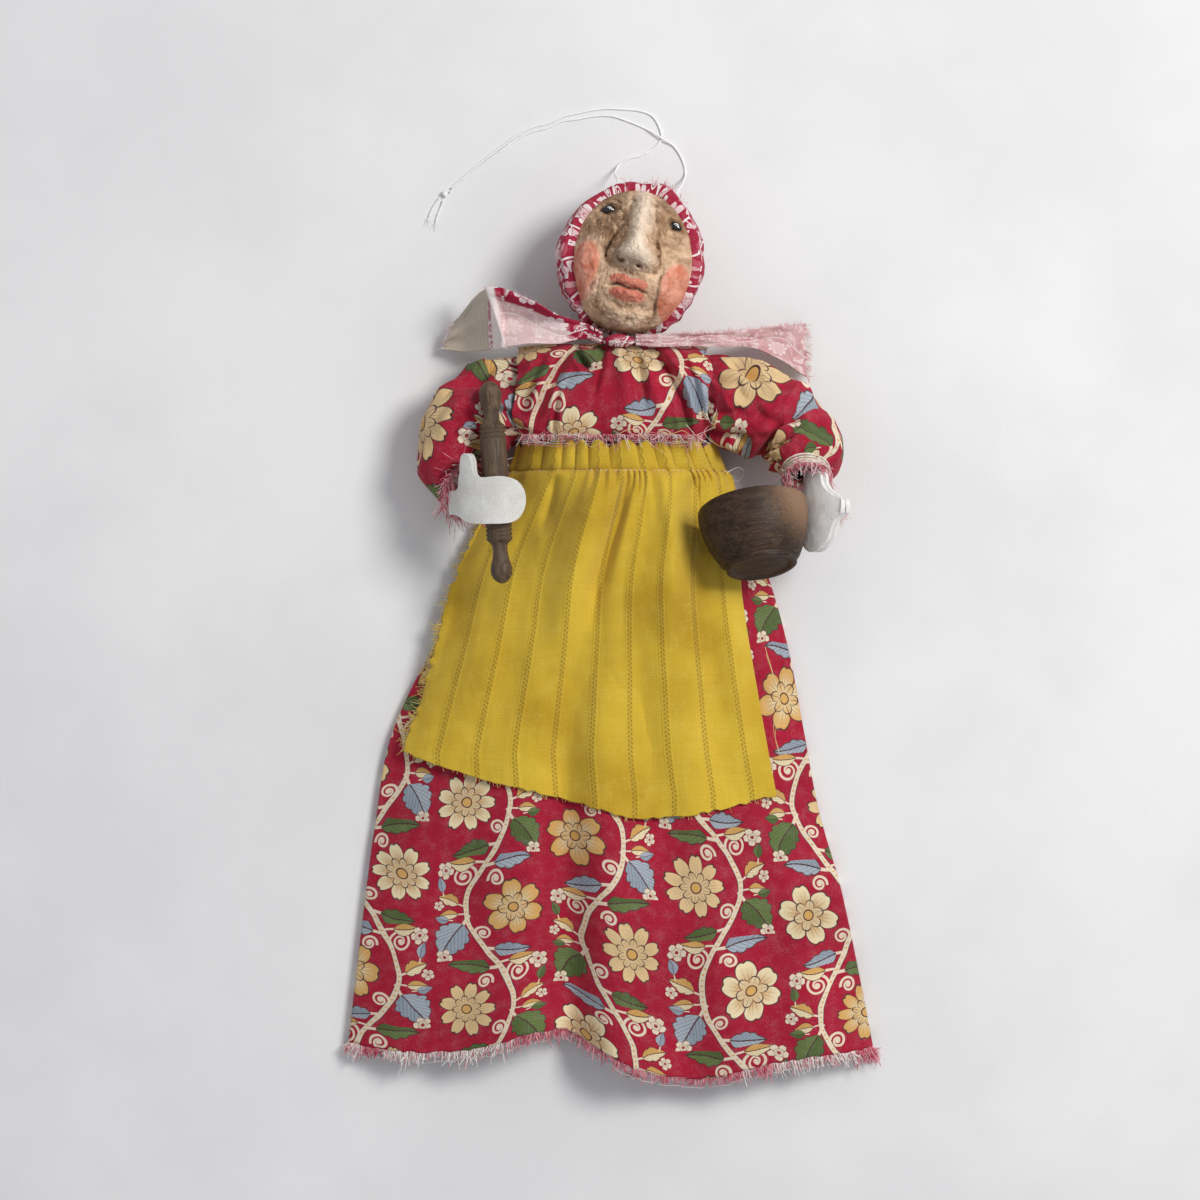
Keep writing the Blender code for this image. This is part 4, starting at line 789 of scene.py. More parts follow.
def trailing_print(
    name: str, inks: PrintColours, motifs: dict[str, bpy.types.NodeTree]
) -> bpy.types.NodeTree:
    """A trailing vine with blossoms, leaves and tendrils, in columns that mirror each half turn of the vine.

    Args:
        name: The group's name.
        inks: The print's colours.
        motifs: The shared groups that draw a blossom, a leaf and a tendril.

    Returns:
        The group, which takes a place on the cloth in metres and a number of pattern steps for each metre.
    """
    g, i, out = shared_group(name, (("Cloth", "v"), ("Scale", "f")), (("Color", "c"), ("Ink", "f")))
    column, half_turn, sway = 34.0, 32.0, 7.0
    place = g.vector("SCALE", i["Cloth"], scale=i["Scale"])
    warp = g.add("ShaderNodeTexNoise")
    g.feed(warp.inputs["Vector"], place)
    warp.inputs["Scale"].default_value = 0.05
    bend = g.vector("SCALE", g.vector("SUBTRACT", warp.outputs[1], (0.5, 0.5, 0.5)), scale=4.5)
    u, v, _ = g.split(g.vector("ADD", place, bend))
    k = g.math("ROUND", g.math("DIVIDE", u, column))
    x = g.math("SUBTRACT", u, g.math("MULTIPLY", k, column))
    v = g.math("ADD", v, g.math("MULTIPLY", k, 11.0))
    j = g.math("FLOOR", g.math("DIVIDE", v, half_turn))
    y = g.math("SUBTRACT", v, g.math("MULTIPLY", g.math("ADD", j, 0.5), half_turn))
    flip = g.math("SUBTRACT", 1.0, g.math("MULTIPLY", 2.0, g.math("FLOORED_MODULO", j, 2.0)))
    x = g.math("MULTIPLY", x, flip)
    cell = g.join(x, y)
    odd = g.math("FLOORED_MODULO", g.math("ADD", j, k), 2.0)
    third = g.math("DIVIDE", g.math("FLOORED_MODULO", g.math("ADD", g.math("MULTIPLY", k, 2.0), j), 3.0), 2.0)
    colour = g.mix(g.noise(place, 0.35, 3.0), inks.ground, tuple(0.86 * c for c in inks.ground[:3]) + (1.0,))

    turn = g.math("DIVIDE", g.math("MULTIPLY", y, math.pi), half_turn)
    line = g.math("MULTIPLY", sway, g.math("COSINE", turn))
    slope = g.math("MULTIPLY", sway * math.pi / half_turn, g.math("SINE", turn))
    slant = g.math("POWER", g.math("ADD", 1.0, g.math("MULTIPLY", slope, slope)), 0.5)
    off = g.math("DIVIDE", g.math("ABSOLUTE", g.math("SUBTRACT", x, line)), slant)
    colour = g.mix(g.smooth(off, 1.02, 0.86), colour, inks.line)
    colour = g.mix(g.smooth(off, 0.82, 0.66), colour, inks.vine)
    dots = g.math(
        "MULTIPLY", g.smooth(off, 0.42, 0.25), g.smooth(g.math("SINE", g.math("MULTIPLY", y, 4.2)), 0.4, 0.8)
    )
    colour = g.mix(dots, colour, inks.gold)

    for cx, cy, radius, start, sweep, hand in (
        (7.45, 10.60, 3.5, 2.653, 12.6, -1.0), (2.25, -7.85, 2.5, -0.488, 11.0, 1.0),
        (-1.9, 9.2, 2.4, -0.25, 11.0, 1.0),
    ):
        node = g.group(
            motifs["tendril"], Place=cell, Ground=colour, Stem=inks.vine, X=cx, Y=cy, Radius=radius,
            Start=start, Sweep=sweep, Width=0.40, Hand=hand,
        )
        colour = node.outputs[0]
    light = g.mix(odd, inks.light, inks.dark)
    dark = g.mix(odd, inks.soft, inks.deep)
    for cx, cy, length, width, angle, curl, lobes, golden in (
        (7.9, -5.2, 12.6, 0.40, -1.02, 0.35, 5.0, 0), (-1.0, 13.3, 12.4, 0.25, 3.02, -0.20, 4.0, 0),
        (-0.6, -13.2, 11.4, 0.25, 3.30, 0.20, 4.0, 0), (9.0, 1.6, 7.6, 0.30, 0.42, 0.35, 3.0, 1),
        (4.6, 14.4, 8.6, 0.24, 0.10, -0.30, 1.0, 1), (9.4, -2.0, 6.2, 0.26, -0.05, 0.25, 1.0, 1),
        (12.2, -3.6, 4.6, 0.30, 0.20, -0.25, 1.0, 0), (14.0, 6.2, 4.8, 0.30, 1.30, 0.25, 1.0, 0),
    ):
        node = g.group(
            motifs["leaf"], Place=cell, Ground=colour, Light=inks.gold if golden else light,
            Dark=inks.tip if golden else dark, Line=inks.line, Stem=inks.vine, X=cx, Y=cy, Length=length,
            Width=width,
            Turn=angle, Curl=curl, Lobes=lobes,
        )
        colour = node.outputs[0]
    tip = g.mix(third, inks.tip, inks.gold)
    base = g.mix(third, inks.base, inks.tip)
    petals = g.math("ADD", 6.0, g.math("MULTIPLY", odd, 3.0))
    node = g.group(
        motifs["flower"], Place=cell, Ground=colour, Tip=tip, Base=base, Line=inks.line, Eye=inks.gold,
        X=-7.0, Y=0.0, Radius=9.4, Petals=petals, Turn=g.math("MULTIPLY", j, 0.7),
    )
    colour = node.outputs[0]
    for cx, cy, radius in ((13.6, -15.0, 2.5), (13.4, 12.6, 2.9), (15.2, 1.4, 1.9)):
        node = g.group(
            motifs["flower"], Place=cell, Ground=colour, Tip=inks.vine, Base=inks.vine, Line=inks.line,
            Eye=inks.eye, X=cx, Y=cy, Radius=radius, Petals=5.0, Turn=0.5,
        )
        colour = node.outputs[0]
    g.feed(out.inputs["Color"], colour)
    g.feed(out.inputs["Ink"], g.vector("DISTANCE", colour, inks.ground[:3]))
    return g.tree


def weave_group() -> bpy.types.NodeTree:
    """Plain weave: threads that pass over and under, uneven from thread to thread.

    Returns:
        The node group.
    """
    g, i, out = shared_group(
        "Plain weave", (("Cloth", "v"), ("Count", "f"), ("Slub", "f")), (("Height", "f"), ("Shade", "f"))
    )
    uneven = g.math("MULTIPLY", g.math("SUBTRACT", g.noise(i["Cloth"], 260.0, 3.0), 0.5), i["Slub"])
    u, v, _ = g.split(g.vector("SCALE", i["Cloth"], scale=i["Count"]))
    u, v = g.math("ADD", u, uneven), g.math("ADD", v, uneven)
    over = g.math("FLOORED_MODULO", g.math("ADD", g.math("FLOOR", u), g.math("FLOOR", v)), 2.0)
    warp = g.math("ABSOLUTE", g.math("SINE", g.math("MULTIPLY", u, math.pi)))
    weft = g.math("ABSOLUTE", g.math("SINE", g.math("MULTIPLY", v, math.pi)))
    height = g.math(
        "ADD", g.math("MULTIPLY", over, warp), g.math("MULTIPLY", g.math("SUBTRACT", 1.0, over), weft)
    )
    threads = g.add("ShaderNodeTexNoise")
    g.feed(threads.inputs["Vector"], g.scaled(i["Cloth"], (60.0, 2600.0, 1.0)))
    threads.inputs["Scale"].default_value = 1.0
    other = g.add("ShaderNodeTexNoise")
    g.feed(other.inputs["Vector"], g.scaled(i["Cloth"], (2600.0, 60.0, 1.0)))
    other.inputs["Scale"].default_value = 1.0
    streaks = g.math("MULTIPLY", g.math("ADD", threads.outputs[0], other.outputs[0]), 0.5)
    g.feed(
        out.inputs["Height"], g.math("ADD", g.math("MULTIPLY", height, 0.7), g.math("MULTIPLY", streaks, 0.6))
    )
    # Shade: uneven tone from thread to thread, with painted shade on the threads where they pass under.
    g.feed(
        out.inputs["Shade"], g.math("ADD", g.math("MULTIPLY", streaks, 0.7), g.math("MULTIPLY", height, 0.3))
    )
    return g.tree


def fuzz_group() -> bpy.types.NodeTree:
    """Fine lint on worn cotton, as a height and a mask.

    Returns:
        The node group.
    """
    g, i, out = shared_group(
        "Cotton lint", (("Place", "v"), ("Scale", "f")), (("Height", "f"), ("Mask", "f"))
    )
    place = g.vector("SCALE", i["Place"], scale=i["Scale"])
    fine = g.noise(place, 1.0, 5.0, 0.7, 1.2)
    broad = g.noise(place, 0.12, 2.0)
    g.feed(out.inputs["Height"], g.math("ADD", g.math("MULTIPLY", fine, 0.6), g.math("MULTIPLY", broad, 0.4)))
    g.feed(out.inputs["Mask"], g.smooth(g.math("ADD", fine, g.math("MULTIPLY", broad, 0.5)), 0.72, 0.95))
    return g.tree


# Finishes

class ClothSide(Enum):
    """The two sides of a cloth."""

    RIGHT = "right"
    WRONG = "wrong"


def new_finish(name: str) -> tuple[bpy.types.Material, Graph, bpy.types.Node]:
    """Start a material.

    Args:
        name: The material's name.

    Returns:
        The material, the graph of its nodes and its main shader.
    """
    material = bpy.data.materials.new(name)
    material.use_nodes = True
    graph = Graph(material.node_tree)
    return material, graph, material.node_tree.nodes["Principled BSDF"]


def wool_colour(g: Graph, colour: object, place: object, amount: float = 0.16) -> bpy.types.NodeSocket:
    """A colour that drifts a little lighter and darker over the cloth.

    Args:
        g: The material's graph.
        colour: The colour to vary.
        place: The place on the cloth.
        amount: How much darker it gets.

    Returns:
        The varied colour.
    """
    broad = g.noise(place, 34.0, 3.0, 0.6)
    level = g.smooth(broad, 0.25, 0.75, 1.0 - amount, 1.0 + amount * 0.4)
    return g.mix(1.0, colour, g.join(level, level, level), "MULTIPLY")


@dataclass(frozen=True)
class ClothFinish:
    """Printed cotton, or its paler wrong side.

    Attributes:
        name: The material's name.
        prints: The group that draws the print.
        weave: The group of the plain weave.
        lint: The group of the worn lint.
        scale: Pattern steps for each metre of cloth.
        offset: Where on the pattern the piece was cut, in metres.
        side: Which side of the cloth it is; on the wrong side the print shows through.
        count: Threads in each metre.
        faded: How far the whole print is washed out.
    """

    name: str
    prints: bpy.types.NodeTree
    weave: bpy.types.NodeTree
    lint: bpy.types.NodeTree
    scale: float
    offset: tuple[float, float] = (0.0, 0.0)
    side: ClothSide = ClothSide.RIGHT
    count: float = 3300.0
    faded: float = 0.0

    def make(self) -> bpy.types.Material:
        """Build the material's nodes.

        Returns:
            The material.
        """
        material, g, shader = new_finish(self.name)
        cloth = g.cloth_place()
        moved = g.vector("ADD", cloth, (*self.offset, 0.0))
        drawn = g.group(self.prints, Cloth=moved, Scale=self.scale)
        colour = drawn.outputs["Color"]
        if self.side is ClothSide.WRONG:
            colour = g.mix(0.60, colour, (0.80, 0.70, 0.68, 1.0))
        elif self.faded:
            colour = g.mix(self.faded, colour, (0.80, 0.72, 0.70, 1.0))
        threads = g.group(self.weave, Cloth=cloth, Count=self.count, Slub=1.6)
        shade = g.smooth(threads.outputs["Shade"], 0.15, 0.8, 0.80, 1.10)
        colour = g.mix(1.0, colour, g.join(shade, shade, shade), "MULTIPLY")
        colour = wool_colour(g, colour, cloth)
        fluff = g.group(self.lint, Place=cloth, Scale=2400.0)
        colour = g.mix(g.math("MULTIPLY", fluff.outputs["Mask"], 0.07), colour, (0.85, 0.78, 0.75, 1.0))
        g.feed(shader.inputs["Base Color"], colour)
        g.feed(shader.inputs["Roughness"], g.smooth(threads.outputs["Height"], 0.2, 1.0, 0.95, 0.78))
        shader.inputs["Specular IOR Level"].default_value = 0.22
        shader.inputs["Sheen Weight"].default_value = 0.05
        shader.inputs["Sheen Roughness"].default_value = 0.5
        fine = g.bump(threads.outputs["Height"], 0.55, 0.00009)
        g.feed(shader.inputs["Normal"], g.bump(g.noise(cloth, 420.0, 3.0, 0.6), 0.5, 0.0003, fine))
        return material


@dataclass(frozen=True)
class YarnFinish:
    """Cotton yarn, a little uneven from strand to strand."""

    name: str
    low: Colour
    high: Colour
    roughness: float = 0.9

    def make(self) -> bpy.types.Material:
        """Build the material's nodes.

        Returns:
            The material.
        """
        material, g, shader = new_finish(self.name)
        place = g.object_place()
        g.feed(
            shader.inputs["Base Color"],
            g.mix(g.smooth(g.noise(place, 700.0, 2.0), 0.3, 0.7), self.low, self.high)
        )
        g.feed(
            shader.inputs["Roughness"],
            g.smooth(g.noise(place, 3000.0, 2.0), 0.2, 0.8, self.roughness - 0.1, self.roughness)
        )
        shader.inputs["Specular IOR Level"].default_value = 0.25
        g.feed(shader.inputs["Normal"], g.bump(g.noise(place, 6000.0, 3.0), 0.4, 0.00008))
        return material


@dataclass(frozen=True)
class ApronFinish:
    """Mustard wool cloth with rows of drawn-thread openwork that run down it."""

    weave: bpy.types.NodeTree
    lint: bpy.types.NodeTree
    side: ClothSide = ClothSide.RIGHT

    def make(self) -> bpy.types.Material:
        """Build the material's nodes.

        Returns:
            The material.
        """
        material, g, shader = new_finish("apron_back" if self.side is ClothSide.WRONG else "apron_cloth")
        cloth = g.cloth_place()
        wander = g.math("MULTIPLY", g.math("SUBTRACT", g.noise(cloth, 30.0, 2.0), 0.5), 0.0012)
        u, v, _ = g.split(cloth)
        u = g.math("ADD", u, wander)
        row = g.math("DIVIDE", g.math("SUBTRACT", u, 0.0099), 0.01115)
        near = g.math("MULTIPLY", g.math("SUBTRACT", row, g.math("ROUND", row)), 11.15)
        beside = g.math("ABSOLUTE", near)
        rung = g.math("DIVIDE", v, 0.00125)
        open_work: object = 0.0
        for column, shift in ((-0.40, 0.0), (0.40, 0.5)):
            stop = g.math("SUBTRACT", g.math("FRACT", g.math("ADD", rung, shift)), 0.5)
            lean = g.math("ADD", column, g.math("MULTIPLY", stop, -1.1 * column))
            wide = g.math("DIVIDE", g.math("SUBTRACT", near, lean), 0.27)
            hole = g.vector("LENGTH", g.join(wide, g.math("DIVIDE", stop, 0.34)))
            open_work = g.math("MAXIMUM", open_work, g.smooth(hole, 1.15, 0.75))
        bars = g.math("SUBTRACT", 1.0, open_work)
        in_row = g.smooth(beside, 1.00, 0.80)
        lips = g.math("MULTIPLY", g.smooth(beside, 0.80, 0.95), g.smooth(beside, 1.45, 1.10))
        base = (0.590, 0.380, 0.024, 1.0)
        pale = (0.730, 0.505, 0.048, 1.0)
        threads = g.group(self.weave, Cloth=cloth, Count=2250.0, Slub=2.2)
        colour = g.mix(g.smooth(threads.outputs["Shade"], 0.2, 0.8), base, pale)
        broad = g.noise(cloth, 26.0, 3.0)
        colour = g.mix(g.smooth(broad, 0.38, 0.70), colour, (0.475, 0.285, 0.016, 1.0))
        fluff = g.group(self.lint, Place=cloth, Scale=1500.0)
        colour = g.mix(g.math("MULTIPLY", fluff.outputs["Mask"], 0.28), colour, (0.80, 0.60, 0.11, 1.0))
        # Painted highlight: the raised lips beside each row paler.
        colour = g.mix(g.math("MULTIPLY", lips, 0.22), colour, pale)
        colour = g.mix(g.math("MULTIPLY", in_row, 0.07), colour, (0.36, 0.215, 0.018, 1.0))
        # Painted shade in the openwork holes.
        colour = g.mix(g.math("MULTIPLY", open_work, 0.60), colour, (0.330, 0.195, 0.016, 1.0))
        g.feed(shader.inputs["Base Color"], colour)
        g.feed(shader.inputs["Roughness"], g.smooth(fluff.outputs["Height"], 0.3, 0.7, 0.98, 0.86))
        shader.inputs["Specular IOR Level"].default_value = 0.15
        shader.inputs["Sheen Weight"].default_value = 0.18
        height = g.math(
            "ADD", g.math("MULTIPLY", threads.outputs["Height"], 0.5),
            g.math("MULTIPLY", fluff.outputs["Height"], 0.9)
        )
        height = g.math("SUBTRACT", height, g.math("MULTIPLY", open_work, 1.6))
        height = g.math(
            "ADD", height, g.math("MULTIPLY", g.math("MAXIMUM", lips, g.math("MULTIPLY", bars, in_row)), 0.8)
        )
        g.feed(shader.inputs["Normal"], g.bump(height, 0.75, 0.00016))
        return material


# Skirt and apron

@dataclass(frozen=True)
class SkirtShape:
    """The skirt's outline and height, with the apron that lies over it."""
    hem_y: float = -0.127
    length: float = 0.178
    hem_width: float = 0.1512
    rise: float = 0.0220
    hem_rise: float = 0.0125
    side_rise: float = 0.0032
    waist_lift: float = 0.0020
    fold_height: float = 0.0076
    dip: float = 0.0150
    right: Table = (
        (0.0, 0.345), (0.10, 0.440), (0.19, 0.535), (0.266, 0.620), (0.449, 0.825), (0.60, 0.890),
        (0.71, 0.925), (1.0, 1.005),
    )
    left: Table = (
        (0.0, 0.375), (0.10, 0.500), (0.20, 0.598), (0.313, 0.672), (0.441, 0.729), (0.568, 0.785),
        (0.71, 0.878), (1.0, 1.015),
    )
    fullness: Table = ((0.0, 0.62), (0.08, 0.84), (0.18, 1.00), (0.40, 1.05), (0.70, 0.80), (1.0, 0.70))
    rises: Table = ((0.0, 1.0), (0.16, 0.93), (0.30, 0.75), (0.55, 0.50), (0.80, 0.20), (1.0, 0.0))
    dips: Table = (
        (-1.0, 0.69), (-0.79, 0.54), (-0.52, 0.59), (-0.19, 0.97), (-0.04, 0.59), (0.11, 0.21),
        (0.34, 0.03), (0.60, 0.31), (1.0, 0.59),
    )
    folds: tuple = (
        (-0.80, 0.12, 0.35), (-0.36, 0.16, 0.55), (-0.16, 0.085, -0.95), (0.05, 0.13, 0.75),
        (0.30, 0.10, -0.25), (0.50, 0.14, 0.35), (0.78, 0.10, 0.35),
    )
    apron_length: float = 0.1025
    apron_width: float = 0.1062
    apron_fold: float = 0.0030
    apron_drop: float = 0.0008
    apron_drape: float = 0.94
    apron_right: Table = ((0.0, -0.500), (0.20, -0.715), (0.33, -0.828), (0.50, -0.918), (0.82, -1.105))
    apron_left: Table = ((0.0, 0.560), (0.07, 0.660), (0.38, 0.700), (0.68, 0.795), (0.94, 0.888))
    apron_hem: Table = (
        (0.0, 0.822), (0.20, 0.890), (0.42, 0.945), (0.62, 0.999), (0.78, 0.990), (1.0, 0.940)
    )
    apron_folds: tuple = (
        (0.10, 0.10, 0.45), (0.40, 0.12, 0.35), (0.56, 0.06, -0.35), (0.74, 0.12, 1.0), (0.90, 0.06, -0.30),
    )

    @property
    def waist_y(self) -> float:
        """Where the skirt meets the bodice."""
        return self.hem_y + self.length

    def sides(self, down: Points) -> tuple[Points, Points]:
        """The skirt's middle and half width at a share of its length.

        Args:
            down: Shares of the way down the skirt.

        Returns:
            The middles and the half widths.
        """
        half = self.hem_width / 2
        right = -half * table_value(self.right, down)
        left = half * table_value(self.left, down)
        return (left + right) / 2, (left - right) / 2

    def height(self, x: Points, y: Points) -> Points:
        """The height of the skirt's front above the floor.

        Args:
            x, y: Places seen from above.

        Returns:
            The heights.
        """
        down = np.maximum(0.0, (self.waist_y - y) / self.length)
        middle, half = self.sides(down)
        across = np.clip((x - middle) / half, -1.0, 1.0)
        rise = self.hem_rise + (self.rise - self.hem_rise) * table_value(self.rises, down)
        full = table_value(self.fullness, down)
        folds = sum(h * hill(across - s, w) for s, w, h in self.folds)
        crown = (1.0 - across**2) ** full
        open_out = np.minimum(1.0, down) ** 1.3 * (1.0 - across**6)
        return self.side_rise + (rise - self.side_rise) * crown + self.fold_height * folds * open_out

    def wrinkles(self, x: Points, y: Points) -> Points:
        """Small soft creases that run down the skirt, none of them at its sides.

        Args:
            x, y: Places seen from above.

        Returns:
            The heights of the creases.
        """
        down = np.clip((self.waist_y - y) / self.length, 0.0, 1.0)
        middle, half = self.sides(down)
        across = (x - middle) / half
        edge = step(np.abs(across), 1.0, 0.9)
        long = noise(across * 9.0, down * 2.6, 0.0, 5) * 0.00075
        short = fractal(x * 150.0, y * 60.0, 0.0, 3, 9) * 0.00020
        return (long * (0.25 + 0.75 * down) + short) * edge

    def apron_place(self, across: Points, down: Points) -> tuple[Points, Points]:
        """A place on the apron from shares of its width and length.

        Args:
            across: Shares of the apron's width.
            down: Shares of its length.

        Returns:
            The places from left to right and up.
        """
        length = self.apron_length * table_value(self.apron_hem, across)
        along = down * length / self.apron_length
        right = self.apron_width / 2 * table_value(self.apron_right, along)
        left = self.apron_width / 2 * table_value(self.apron_left, along)
        return right + (left - right) * across, self.waist_y - self.apron_drop - down * length

    def apron_height(self, x: Points, y: Points, across: Points, down: Points) -> Points:
        """The height of the apron's underside.

        Args:
            x, y: Places seen from above.
            across: Shares of the apron's width.
            down: Shares of its length.

        Returns:
            The heights.
        """
        folds = sum(h * hill(across - s, w) for s, w, h in self.apron_folds)
        swell = np.where(down < 0.8, np.sin(np.pi * np.minimum(1.0, down * 1.25)), 0.0)
        middle, _ = self.sides(np.maximum(0.0, self.waist_y - y) / self.length)
        under = np.maximum(self.height(middle + (x - middle) * self.apron_drape, y), self.height(x, y))
        return under + 0.0008 + self.apron_fold * np.maximum(0.0, folds) * swell


def fringe(
    roots: Points, ways: Points, lengths: Points, spread: float, seed: int, slots: Sequence[int],
    radius: float = 0.00007,
    droop: float = 0.3, points: int = 5, low: float = 0.0004,
) -> list[tuple[Points, float, int]]:
    """Frayed threads from a cut edge.

    Args:
        roots: Where each thread starts.
        ways: Which way each one points.
        lengths: How long each one is.
        spread: How far they stray from their way.
        seed: The start of the random numbers.
        slots: The material numbers to choose from.
        radius: The threads' radius.
        droop: How far they sink, as a share of their length.
        points: Points on each thread.
        low: The lowest height that a thread may reach.

    Returns:
        The threads as points, radius and material number.
    """
    chance = np.random.default_rng(seed)
    made = []
    for root, way, length in zip(roots, ways, lengths):
        heading = way + chance.normal(0.0, spread, 3)
        heading /= np.linalg.norm(heading)
        curl = chance.normal(0.0, 0.35 * length, 3)
        t = np.linspace(0.0, 1.0, points)[:, None]
        path = root + heading * t * length + curl * t**2 + np.array([0.0, 0.0, -droop * length]) * t**2
        path[:, 2] = np.maximum(path[:, 2], low)
        made.append((path, radius * chance.uniform(0.7, 1.3), slots[chance.integers(len(slots))]))
    return made


@dataclass
class Skirt:
    """The skirt of printed cotton, hollow and open at its hem, with a frayed edge."""

    shape: SkirtShape
    finishes: dict[str, bpy.types.Material]

    def place(self, u: Points, v: Points) -> tuple[Points, Points]:
        """Shape the tube: its back flat on the floor and its front folded.

        Args:
            u: Shares of the way across the cloth.
            v: Shares of the way down the cloth.

        Returns:
            The points and their places on the flat cloth.
        """
        s = self.shape
        across = -np.cos(2 * np.pi * u)
        front = u > 0.5
        dip = s.dip * table_value(s.dips, across) * v**2
        y = s.waist_y - v * (s.length - dip)
        middle, half = s.sides((s.waist_y - y) / s.length)
        ragged = noise(across * 60.0, 0.0, 3.0, 11) * 0.00035 * step(v, 0.96, 1.0)
        x = middle + half * across
        rim = s.side_rise / 2 + s.waist_lift * np.maximum(0.0, 1.0 - v * 6)
        turn_in = step(np.abs(np.sin(2 * np.pi * u)), 0.0, 0.10)
        high = s.height(x, y) + s.wrinkles(x, y)
        low = s.waist_lift * np.maximum(0.0, 1.0 - v * 6) + 0.00005
        z = np.where(front, rim + (high - rim) * turn_in, rim + (low - rim) * turn_in)
        width = 0.5 * (half + s.hem_width / 2)
        side = np.where(front, 1.0, -1.0)
        flat = np.stack([np.where(front, 0.0, 0.31) + side * across * width, -(v * s.length)], axis=1)
        return np.stack([x, y - ragged, np.maximum(z, 0.00005)], axis=1), flat

    def build(self) -> None:
        """Make the cloth and its fringe."""
        cloth = cloth_piece("skirt_cloth", 300, 230, self.place, closed=True, thickness=0.0006, offset=-1.0)
        for name in ("dress", "dress_back", "fray_pink"):
            cloth.data.materials.append(self.finishes[name])
        wall = cloth.modifiers["Cloth"]
        wall.material_offset = 1
        wall.material_offset_rim = 2
        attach(cloth, "torso")
        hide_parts("skirt")
        hem = self.fringe()
        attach(hem, "torso")
        LOG.info("skirt")

    def fringe(self) -> bpy.types.Object:
        """The frayed hem, thick on the front and sparse on the back.

        Returns:
            The fringe.
        """
        chance = np.random.default_rng(21)
        strands = []
        for count, front, slots in (
            (1500, True, (0, 2, 0)), (1500, True, (1, 1, 1, 0)), (300, False, (0, 1, 2)),
        ):
            u = chance.uniform(0.505, 0.995, count) if front else chance.uniform(0.005, 0.495, count)
            u = np.sort(u)
            if front:
                zone = noise(u * 15.0, 0.0, 0.0, 33) + 0.25 * noise(u * 60.0, 0.0, 0.0, 34)
                u = u[(zone > 0.0) == (slots[0] == 1)]
                count = len(u)
            edge, _ = self.place(u, np.full(count, 0.996))
            before, _ = self.place(u, np.full(count, 0.97))
            edge[:, 2] -= 0.0003 if front else -0.0003
            ways = unit(edge - before)
            tuft = 0.5 + 0.5 * noise(u * 46.0, 0.0, 0.0, 31)
            lengths = (0.0018 + 0.0018 * tuft) * chance.uniform(0.75, 1.2, count)
            strands += fringe(edge, ways, lengths, 0.13, 22 + front, slots, 0.00013, 0.14, points=4)
        weft = []
        for offset, slot in ((0.0012, 0), (0.0021, 2), (0.0029, 1)):
            for start in np.arange(0.508, 0.98, 0.031):
                u = np.linspace(start, start + 0.028, 22)
                edge, _ = self.place(u, np.full(22, 0.999))
                sway = 0.0003 * noise(u * 120.0, offset * 1000, 0.0, 41)
                edge[:, 1] -= offset + sway
                edge[:, 2] = np.maximum(edge[:, 2] - 0.0004 - offset * 0.2, 0.0004)
                weft.append((edge, 0.00007, slot))
        tangle = (
            (
                (0.0085, -0.1215, 0.012), (0.0060, -0.1245, 0.007), (0.0042, -0.1262, 0.003),
                (0.0060, -0.1268, 0.0008), (0.0082, -0.1262, 0.0006), (0.0068, -0.1254, 0.0010),
                (0.0048, -0.1266, 0.0005),
            ),
            (
                (0.0100, -0.1222, 0.011), (0.0072, -0.1256, 0.005), (0.0085, -0.1266, 0.0012),
                (0.0062, -0.1262, 0.0006), (0.0050, -0.1252, 0.0006), (0.0060, -0.1264, 0.0011),
            ),
        )
        weft += [(through(route, 26), 0.00008, 3) for route in tangle]
        order = ("fray_pink", "fray_white", "fray_red", "fray_dark")
        return strand_bundle("skirt_fringe", strands + weft, [self.finishes[name] for name in order])


